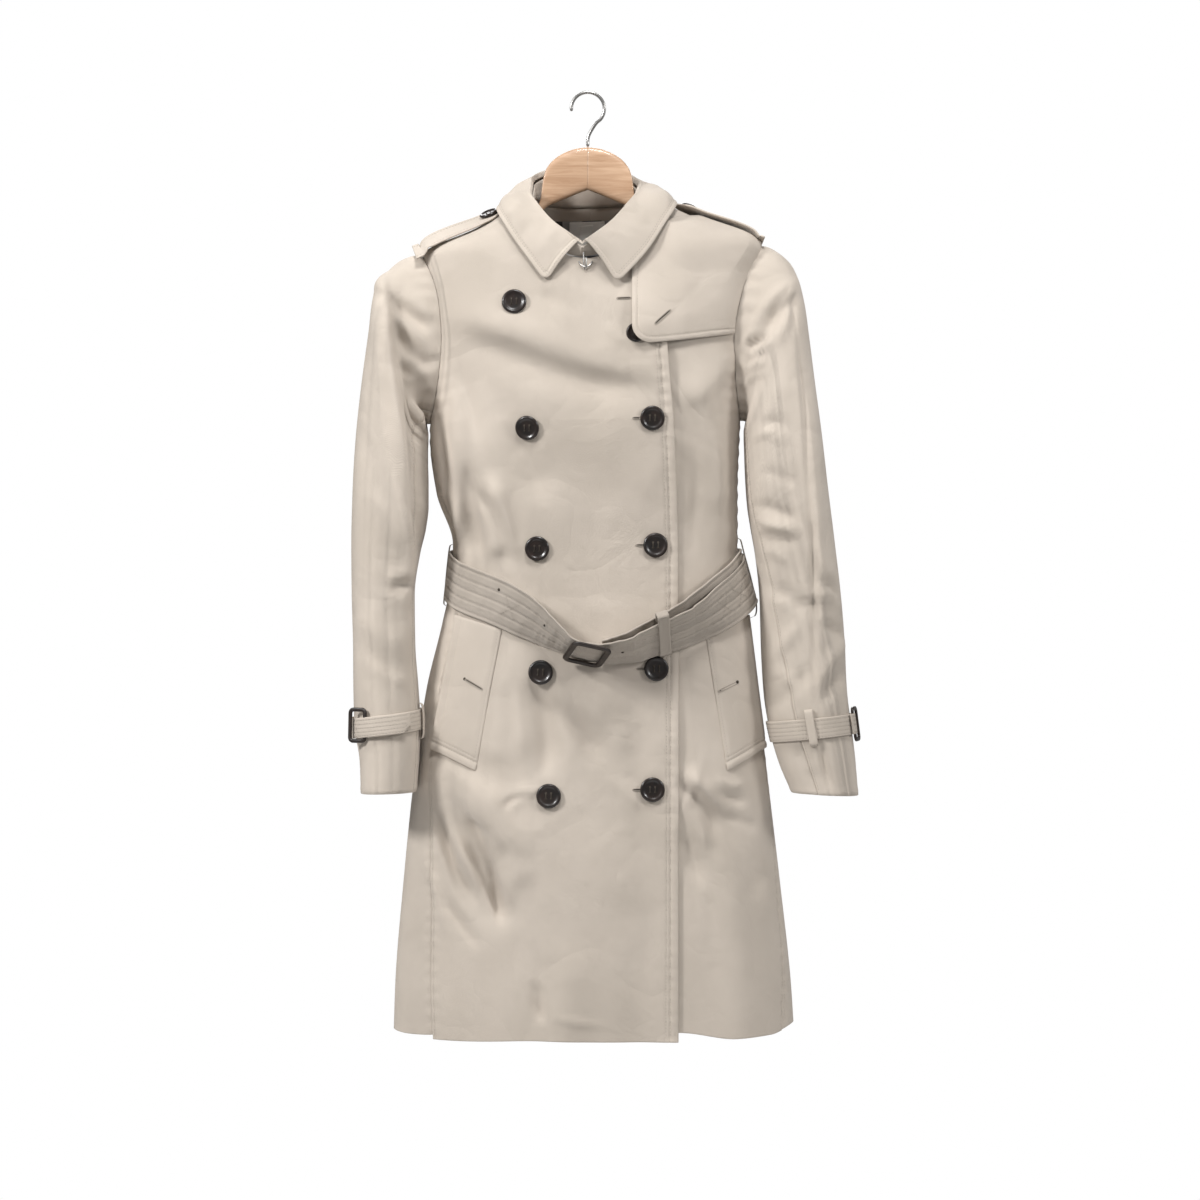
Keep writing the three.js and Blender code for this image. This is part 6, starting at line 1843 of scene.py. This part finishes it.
def make_neck_patch(name, box, out, thickness, steps_xz, flat, material, slot, *nodes):
    x0, x1, z0, z1 = box
    z, x = np.meshgrid(np.linspace(z0, z1, steps_xz[1]), np.linspace(x0, x1, steps_xz[0]), indexing="ij")
    angle = math.pi - angle_at(x, z)
    piece = wall(name, on_body(angle, z, out + thickness), on_body(angle, z, out), material)
    return cloth_piece(piece, flat, slot, *nodes, rests_on=("cloth_back_left", "cloth_back_right"))


def make_neck(lining, label, steel):
    make_neck_patch("lining_back_neck", (-66, 58, 862, 936), -2.1, THIN_CLOTH, (60, 36), (0.128, 0.076), lining,
                    "lining", "lining_neck")
    make_neck_patch("label_neck", (-24, 17, 905, 935), -3.5, 1, (24, 16), (0.042, 0.031), label, "label", "neck_label")
    make_neck_patch("label_small", (-13, 3, 913, 931), -4.1, 0.5, (12, 12), (0.016, 0.018), label, "label")
    front = on_body(angle_at(-5, 880), 880, LAP_OUT + CLOTH + 4)
    wires = {
        "throat_eye": [[-6, 2.6, -2], [-4, 0.2, -5.4], [0, -0.5, -7.2], [4, 0.2, -5.4], [6, 2.6, -2]],
        "throat_hook": [
            [-1.6, 1.8, 7], [-1.6, 1.4, -3], [-1, 1.5, -7.4], [0, -0.5, -9.6], [0.6, -2.8, -7.4], [0.8, -2.8, 1],
        ],
    }
    for name, points in wires.items():
        path = catmull_rom(front + 1.25 * np.array(points), np.linspace(0, 1, 60))
        own(loft(f"metal_{name}", tube_rings(path, 0.9, 12), steel), "steel", name)


# Materials

class Nodes:
    """Adds nodes to a tree. An input that is given as a socket is joined, and any other is set."""

    def __init__(self, tree):
        self.tree = tree

    def join(self, source, target):
        self.tree.links.new(source, target)

    def add(self, kind, inputs=None, **settings):
        node = self.tree.nodes.new(kind)
        for name, value in settings.items():
            setattr(node, name, value)
        for name, value in (inputs or {}).items():
            if isinstance(value, bpy.types.NodeSocket):
                self.join(value, node.inputs[name])
            else:
                node.inputs[name].default_value = value
        return node

    def maths(self, operation, a, b=0.0):
        return self.add("ShaderNodeMath", {0: a, 1: b}, operation=operation).outputs["Value"]

    def place(self):
        """The place in the object's own coordinates."""
        return self.add("ShaderNodeTexCoord").outputs["Object"]

    def flat(self):
        """The place on the cloth's flat cut, in metres."""
        return self.add("ShaderNodeUVMap", uv_map="cloth").outputs["UV"]

    def noise(self, scale, detail, roughness=0.5, distortion=0.0, at=None):
        """A soft noise at a place, with its size, detail and roughness."""
        return self.add("ShaderNodeTexNoise", {
            "Vector": at or self.place(), "Scale": scale, "Detail": detail, "Roughness": roughness,
            "Distortion": distortion,
        }).outputs["Fac"]


def new_group(name, *outputs):
    """An empty shader node group with the given colour or value outputs."""
    group = bpy.data.node_groups.new(name, "ShaderNodeTree")
    for label, kind in outputs:
        group.interface.new_socket(name=label, in_out="OUTPUT", socket_type=kind)
    return Nodes(group)


def make_weave_group():
    """Twill: fine slanted bands across the cloth's flat coordinates, with loose fibres."""
    nodes = new_group("Twill weave", ("Height", "NodeSocketFloat"), ("Twill bands", "NodeSocketFloat"))
    bands = nodes.add("ShaderNodeTexWave", {
        "Vector": nodes.flat(), "Scale": 820.0, "Distortion": 0.4, "Detail": 1.0,
    }, bands_direction="DIAGONAL").outputs["Fac"]
    height = nodes.maths("ADD", bands, nodes.noise(900.0, 2.0))
    nodes.add("NodeGroupOutput", {"Height": height, "Twill bands": bands})
    return nodes.tree


def make_crumple_group():
    """Small crumples left by wear: the thin lines where two soft noises pass their middle value."""
    nodes = new_group("Crumples", ("Height", "NodeSocketFloat"))
    lines = []
    for scale, strength in ((9.0, 1.0), (24.0, 0.22)):
        from_middle = nodes.maths("ABSOLUTE", nodes.maths("SUBTRACT", nodes.noise(scale, 2.0, 0.5, 0.7), 0.5))
        lines.append(nodes.maths("MULTIPLY", nodes.maths("MINIMUM", from_middle, 0.16), strength))
    nodes.add("NodeGroupOutput", {"Height": nodes.maths("ADD", *lines)})
    return nodes.tree


def make_handling_group():
    """Wear of a handled surface: broad clouds, and small worn patches."""
    nodes = new_group("Handled surface", ("Clouds", "NodeSocketFloat"), ("Patches", "NodeSocketFloat"))
    nodes.add("NodeGroupOutput", {"Clouds": nodes.noise(9.0, 4.0, 0.55), "Patches": nodes.noise(70.0, 3.0, 0.6)})
    return nodes.tree


def make_gingham_group(size):
    """A plain gingham: grey bands of one width over a light ground, and dark where two bands cross."""
    nodes = new_group("Gingham", ("Color", "NodeSocketColor"))
    axes = nodes.add("ShaderNodeSeparateXYZ", {"Vector": nodes.flat()})
    bands = []
    for axis in "XY":
        step = nodes.maths("PINGPONG", nodes.maths("MULTIPLY", axes.outputs[axis], 1 / size), 2.0)
        bands.append(nodes.maths("GREATER_THAN", step, 1.0))
    ramp = nodes.add("ShaderNodeValToRGB", {"Fac": nodes.maths("MULTIPLY", nodes.maths("ADD", *bands), 0.5)})
    ramp.color_ramp.interpolation = "CONSTANT"
    stops = ramp.color_ramp.elements
    stops[0].color = (0.86, 0.84, 0.8, 1)
    stops[1].position, stops[1].color = 0.4, (0.3, 0.29, 0.28, 1)
    stops.new(0.8).color = (0.03, 0.03, 0.032, 1)
    nodes.add("NodeGroupOutput", {"Color": ramp.outputs["Color"]})
    return nodes.tree


def new_material(name):
    material = bpy.data.materials.new(name)
    material.use_nodes = True
    nodes = Nodes(material.node_tree)
    return material, nodes, material.node_tree.nodes["Principled BSDF"]


def use_group(nodes, tree):
    return nodes.add("ShaderNodeGroup", node_tree=tree)


def two_tone(nodes, factor, low, high, start=0.3, end=0.7):
    """A colour that goes from one tone to another as a factor rises from start to end."""
    ramp = nodes.add("ShaderNodeValToRGB", {"Fac": factor})
    first, last = ramp.color_ramp.elements
    first.position, last.position = start, end
    first.color, last.color = (*low, 1), (*high, 1)
    return ramp.outputs["Color"]


def multiplied(nodes, a, b):
    return nodes.add("ShaderNodeMix", {"Factor": 1.0, 6: a, 7: b}, data_type="RGBA", blend_type="MULTIPLY").outputs[2]


def add_bump(nodes, target, height, distance, strength=1.0):
    """Raises a surface by a height, in front of what its normal input already has."""
    bump = nodes.add("ShaderNodeBump", {"Strength": strength, "Distance": distance, "Height": height})
    nodes.join(bump.outputs["Normal"], target.inputs["Normal"])
    return bump


def cloth_material(name, groups, dark, light, roughness, weave=0.00012, crumple=0.0):
    """Cloth of two near tones in soft clouds, with painted shade that makes it a little darker between its twill lines,
    where the weave's bump sinks.
    """
    material, nodes, shader = new_material(name)
    shader.inputs["Roughness"].default_value = roughness
    shader.inputs["Sheen Weight"].default_value = 0.12
    shader.inputs["Specular IOR Level"].default_value = 0.25
    twill, handled = use_group(nodes, groups["weave"]), use_group(nodes, groups["handling"])
    tone = two_tone(nodes, handled.outputs["Clouds"], dark, light, 0.35, 0.65)
    # Painted shade: up to 6 % darker where the twill's bands are low, in step with the weave's bump.
    thread = two_tone(nodes, twill.outputs["Twill bands"], (0.94, 0.94, 0.94), (1, 1, 1), 0, 1)
    nodes.join(multiplied(nodes, tone, thread), shader.inputs["Base Color"])
    bump = add_bump(nodes, shader, twill.outputs["Height"], weave)
    if crumple:
        add_bump(nodes, bump, use_group(nodes, groups["crumple"]).outputs["Height"], crumple)
    return material


def plain_material(name, groups, dark, light, roughness, **sockets):
    """A hard surface whose tone and gloss change with handling."""
    material, nodes, shader = new_material(name)
    handled = use_group(nodes, groups["handling"])
    nodes.join(two_tone(nodes, handled.outputs["Patches"], dark, light), shader.inputs["Base Color"])
    gloss = nodes.add("ShaderNodeMapRange", {
        "Value": handled.outputs["Clouds"], "From Min": 0.3, "From Max": 0.7,
        "To Min": roughness[0], "To Max": roughness[1],
    })
    nodes.join(gloss.outputs["Result"], shader.inputs["Roughness"])
    for socket, value in sockets.items():
        shader.inputs[socket.replace("_", " ")].default_value = value
    return material, nodes, shader


def wood_material():
    """Varnished wood: long grain that runs with the arm, under a thin coat."""
    material, nodes, shader = new_material("Varnished wood")
    stretch = nodes.add("ShaderNodeMapping", {"Vector": nodes.place(), "Scale": (4.0, 60.0, 60.0)})
    grain = nodes.noise(3.0, 5.0, 0.6, 0.6, stretch.outputs["Vector"])
    nodes.join(two_tone(nodes, grain, (0.36, 0.21, 0.12), (0.54, 0.36, 0.235)), shader.inputs["Base Color"])
    shader.inputs["Roughness"].default_value = 0.42
    shader.inputs["Coat Weight"].default_value = 0.3
    add_bump(nodes, shader, grain, 0.0003)
    return material


def leather_material(groups):
    """Dark leather with a fine grain."""
    material, nodes, shader = plain_material(
        "Dark leather", groups, (0.0077, 0.0042, 0.0028), (0.0210, 0.0112, 0.0070), (0.32, 0.55))
    grain = nodes.add("ShaderNodeTexVoronoi", {"Vector": nodes.place(), "Scale": 900.0})
    add_bump(nodes, shader, grain.outputs["Distance"], 0.0002, 0.6)
    return material


def lining_material(groups):
    """The neck lining's gingham, woven as fine as the coat."""
    material, nodes, shader = new_material("Gingham lining")
    shader.inputs["Roughness"].default_value = 0.6
    nodes.join(use_group(nodes, groups["gingham"]).outputs["Color"], shader.inputs["Base Color"])
    add_bump(nodes, shader, use_group(nodes, groups["weave"]).outputs["Height"], 0.00006)
    return material


def floor_material():
    """A pale matt floor with a very faint unevenness."""
    material, nodes, shader = new_material("Pale floor")
    tone = two_tone(nodes, nodes.noise(2.0, 3.0), (0.8, 0.8, 0.8), (0.84, 0.84, 0.84))
    nodes.join(tone, shader.inputs["Base Color"])
    shader.inputs["Roughness"].default_value = 0.9
    return material


GINGHAM_SIZE = 0.0115
materials = {}


def make_materials(tone):
    """All of the coat's finishes, made once."""
    groups = {
        "weave": make_weave_group(), "handling": make_handling_group(), "crumple": make_crumple_group(),
        "gingham": make_gingham_group(GINGHAM_SIZE),
    }
    beige, shade = np.array([0.50, 0.438, 0.372]) * tone, np.array([0.56, 0.492, 0.422]) * tone
    cloths = {
        "cloth": ("Cotton gabardine", beige, shade, 0.86, 0.00012, 0.006),
        # The belt's cloth is a little darker than the coat's, and it is darkened further as painted shade, for its face
        # that turns down away from the light above.
        "belt": ("Belt gabardine with painted shade", beige * 0.74, shade * 0.74, 0.86, 0.00012, 0.004),
        "thread": ("Sewing thread", beige * 0.6, beige * 0.75, 0.7, 0.00005, 0.0),
        "label": ("Satin label", (0.88, 0.86, 0.8), (0.92, 0.9, 0.85), 0.4, 0.00004, 0.0),
        # The near-black Slit shadow is painted shade in the buttons' holes, the buttonhole slits and the eyelets, and
        # the real colour of the dark thread on the buttons.
        "dark": ("Slit shadow", (0.03, 0.022, 0.016), (0.05, 0.04, 0.03), 0.9, 0.00004, 0.0),
    }
    for name, (title, dark, light, roughness, weave, crumple) in cloths.items():
        materials[name] = cloth_material(title, groups, dark, light, roughness, weave, crumple)
    materials["lining"] = lining_material(groups)
    materials["horn"] = plain_material(
        "Horn", groups, (0.005, 0.004, 0.0035), (0.02, 0.011, 0.008), (0.25, 0.4), Coat_Weight=0.1)[0]
    materials["steel"] = plain_material(
        "Steel", groups, (0.34, 0.33, 0.32), (0.5, 0.49, 0.47), (0.22, 0.36), Metallic=1.0)[0]
    materials["leather"] = leather_material(groups)
    materials["wood"] = wood_material()


# Stage

def make_stage(settings):
    """A pale floor below the coat, soft lamps round it, a light sky and the camera."""
    scene = bpy.context.scene
    turn = np.linspace(0, 2 * math.pi, 96, endpoint=False)
    rim = np.stack([1.3 * np.cos(turn), 1.3 * np.sin(turn), np.full(96, -1.62)], axis=-1)
    mesh = bpy.data.meshes.new("stage_floor")
    mesh.from_pydata(rim.tolist(), [], [list(range(96))])
    mesh.materials.append(floor_material())
    floor = bpy.data.objects.new("stage_floor", mesh)
    scene.collection.objects.link(floor)
    lamps = (
        ("upper_left", (-2.1, -1.5, 0.9), 0.5, 74),
        ("upper_right", (2.2, -1.3, 0.6), 0.5, 28),
        ("above", (0.1, -1.2, 1.6), 0.6, 38),
        ("behind", (0.0, 2.0, 0.8), 1.4, 34),
    )
    for name, place, size, power in lamps:
        lamp = bpy.data.lights.new(f"stage_{name}", "AREA")
        lamp.energy, lamp.size = power * settings.light_level, size
        holder = bpy.data.objects.new(f"stage_{name}", lamp)
        holder.location = place
        toward = mathutils.Vector((0, 0, -0.55)) - mathutils.Vector(place)
        holder.rotation_euler = toward.to_track_quat("-Z", "Y").to_euler()
        scene.collection.objects.link(holder)
    world = bpy.data.worlds.new("Studio")
    world.use_nodes = True
    back = world.node_tree.nodes["Background"]
    back.inputs["Color"].default_value = (1, 1, 1, 1)
    back.inputs["Strength"].default_value = settings.sky_level
    nodes = Nodes(world.node_tree)
    seen = nodes.add("ShaderNodeBackground", {"Color": (1, 1, 1, 1), "Strength": 1.0})
    choice = nodes.add("ShaderNodeMixShader", {
        "Fac": nodes.add("ShaderNodeLightPath").outputs["Is Camera Ray"],
        1: back.outputs["Background"], 2: seen.outputs["Background"],
    })
    nodes.join(choice.outputs["Shader"], world.node_tree.nodes["World Output"].inputs["Surface"])
    scene.world = world
    scene.view_settings.view_transform = "Standard"
    data = bpy.data.cameras.new("stage_camera")
    data.sensor_width, data.lens = 36, 18 / (0.69 / 4.0)
    camera = bpy.data.objects.new("stage_camera", data)
    camera.location, camera.rotation_euler = (0.014, -4.0, -0.582), (math.pi / 2, 0, 0)
    scene.collection.objects.link(camera)
    scene.camera = camera


# Settings and operators

class TrenchCoatSettings(bpy.types.PropertyGroup):
    """What can be changed before the pieces are made."""

    crease_depth: bpy.props.FloatProperty(
        name="Crease depth", description="How deep the creases are, 1 being as on the coat",
        default=1.0, min=0.0, max=2.0, subtype="FACTOR")
    cloth_tone: bpy.props.FloatProperty(
        name="Cloth tone", description="How light the cloth's colour is, 1 being as on the coat",
        default=1.0, min=0.2, max=1.2, subtype="FACTOR")
    light_level: bpy.props.FloatProperty(
        name="Lamps", description="How strong the lamps are", default=1.0, min=0.0, max=5.0, subtype="FACTOR")
    sky_level: bpy.props.FloatProperty(
        name="Sky", description="How strong the light from all sides is", default=0.3, min=0.0, max=5.0,
        subtype="FACTOR")


def settings_of(context):
    return context.scene.trench_coat


def material_of(context, name):
    if not materials:
        make_materials(settings_of(context).cloth_tone)
    return materials[name]


class TRENCH_OT_body(bpy.types.Operator):
    """Makes the two fronts and the two halves of the back, with their seams' stitches"""

    bl_idname = "trench.body"
    bl_label = "Fronts and back"

    def execute(self, context):
        cloth = material_of(context, "cloth")
        make_over_front(cloth)
        make_under_front(cloth)
        make_back(LEFT, "left", cloth)
        make_back(RIGHT, "right", cloth)
        sew_body()
        sewn_rows("stitches_body", material_of(context, "thread"), "coat_cloth")
        return {"FINISHED"}


class TRENCH_OT_sleeves(bpy.types.Operator):
    """Makes the two pieces of each sleeve"""

    bl_idname = "trench.sleeves"
    bl_label = "Sleeves"

    def execute(self, context):
        make_sleeves(material_of(context, "cloth"))
        sewn_rows("stitches_sleeves", material_of(context, "thread"), "coat_cloth")
        return {"FINISHED"}


class TRENCH_OT_collar(bpy.types.Operator):
    """Makes the collar's stand and its fall"""

    bl_idname = "trench.collar"
    bl_label = "Collar"

    def execute(self, context):
        make_collar(material_of(context, "cloth"))
        sewn_rows("stitches_collar", material_of(context, "thread"), "coat_cloth")
        return {"FINISHED"}


class TRENCH_OT_patches(bpy.types.Operator):
    """Makes the storm flap and the pocket welts"""

    bl_idname = "trench.patches"
    bl_label = "Storm flap and pocket welts"

    def execute(self, context):
        cloth = material_of(context, "cloth")
        make_storm_flap(cloth)
        make_welts(cloth)
        sewn_rows("stitches_patches", material_of(context, "thread"), "coat_cloth")
        return {"FINISHED"}


class TRENCH_OT_belt(bpy.types.Operator):
    """Makes the belt with its buckle, its keeper and the loops at the sides"""

    bl_idname = "trench.belt"
    bl_label = "Belt"

    def execute(self, context):
        make_belt(material_of(context, "belt"))
        sewn_rows("stitches_belt", material_of(context, "thread"), "belt_cloth")
        make_belt_fittings(material_of(context, "belt"), material_of(context, "leather"))
        return {"FINISHED"}


class TRENCH_OT_buttons(bpy.types.Operator):
    """Makes the buttons and the buttonholes"""

    bl_idname = "trench.buttons"
    bl_label = "Buttons and buttonholes"

    def execute(self, context):
        make_buttons([material_of(context, name) for name in ("horn", "dark", "thread")])
        # Near-black discs for the buttons' holes: painted shade.
        joined_solids("button_hole_shade", material_of(context, "dark"), "button")
        joined_solids("button_threads", material_of(context, "dark"), "coat_cloth")
        make_buttonholes(material_of(context, "thread"), material_of(context, "dark"))
        return {"FINISHED"}


class TRENCH_OT_straps(bpy.types.Operator):
    """Makes the shoulder straps and the cuff straps"""

    bl_idname = "trench.straps"
    bl_label = "Straps"

    def execute(self, context):
        make_epaulettes(material_of(context, "cloth"))
        make_cuffs(material_of(context, "cloth"), material_of(context, "leather"))
        sewn_rows("stitches_trim", material_of(context, "thread"), "coat_cloth")
        return {"FINISHED"}


class TRENCH_OT_neck(bpy.types.Operator):
    """Makes the neck lining, the bare label and the throat's hook and eye"""

    bl_idname = "trench.neck"
    bl_label = "Neck"

    def execute(self, context):
        make_neck(*(material_of(context, name) for name in ("lining", "label", "steel")))
        return {"FINISHED"}


class TRENCH_OT_hanger(bpy.types.Operator):
    """Makes the wooden hanger and its steel hook"""

    bl_idname = "trench.hanger"
    bl_label = "Hanger"

    def execute(self, context):
        make_hanger(material_of(context, "wood"), material_of(context, "steel"))
        return {"FINISHED"}


class TRENCH_OT_stage(bpy.types.Operator):
    """Makes the floor, the lamps, the sky and the camera"""

    bl_idname = "trench.stage"
    bl_label = "Stage"

    def execute(self, context):
        make_stage(settings_of(context))
        return {"FINISHED"}


operators = (
    TRENCH_OT_body, TRENCH_OT_sleeves, TRENCH_OT_collar, TRENCH_OT_patches, TRENCH_OT_belt, TRENCH_OT_buttons,
    TRENCH_OT_straps, TRENCH_OT_neck, TRENCH_OT_hanger, TRENCH_OT_stage,
)


class TRENCH_PT_panel(bpy.types.Panel):
    """Lists the settings and the pieces"""

    bl_label = "Trench coat"
    bl_space_type = "VIEW_3D"
    bl_region_type = "UI"
    bl_category = "Trench coat"

    def draw(self, context):
        for name in ("crease_depth", "cloth_tone", "light_level", "sky_level"):
            self.layout.prop(settings_of(context), name)
        for operator in operators:
            self.layout.operator(operator.bl_idname)


def register():
    for made in (TrenchCoatSettings, *operators, TRENCH_PT_panel):
        bpy.utils.register_class(made)
    bpy.types.Scene.trench_coat = bpy.props.PointerProperty(type=TrenchCoatSettings)


def unregister():
    del bpy.types.Scene.trench_coat
    for made in (TRENCH_PT_panel, *reversed(operators), TrenchCoatSettings):
        bpy.utils.unregister_class(made)


def main():
    register()
    for operator in operators:
        group, name = operator.bl_idname.split(".")
        getattr(getattr(bpy.ops, group), name)()


if __name__ == "__main__":
    main()
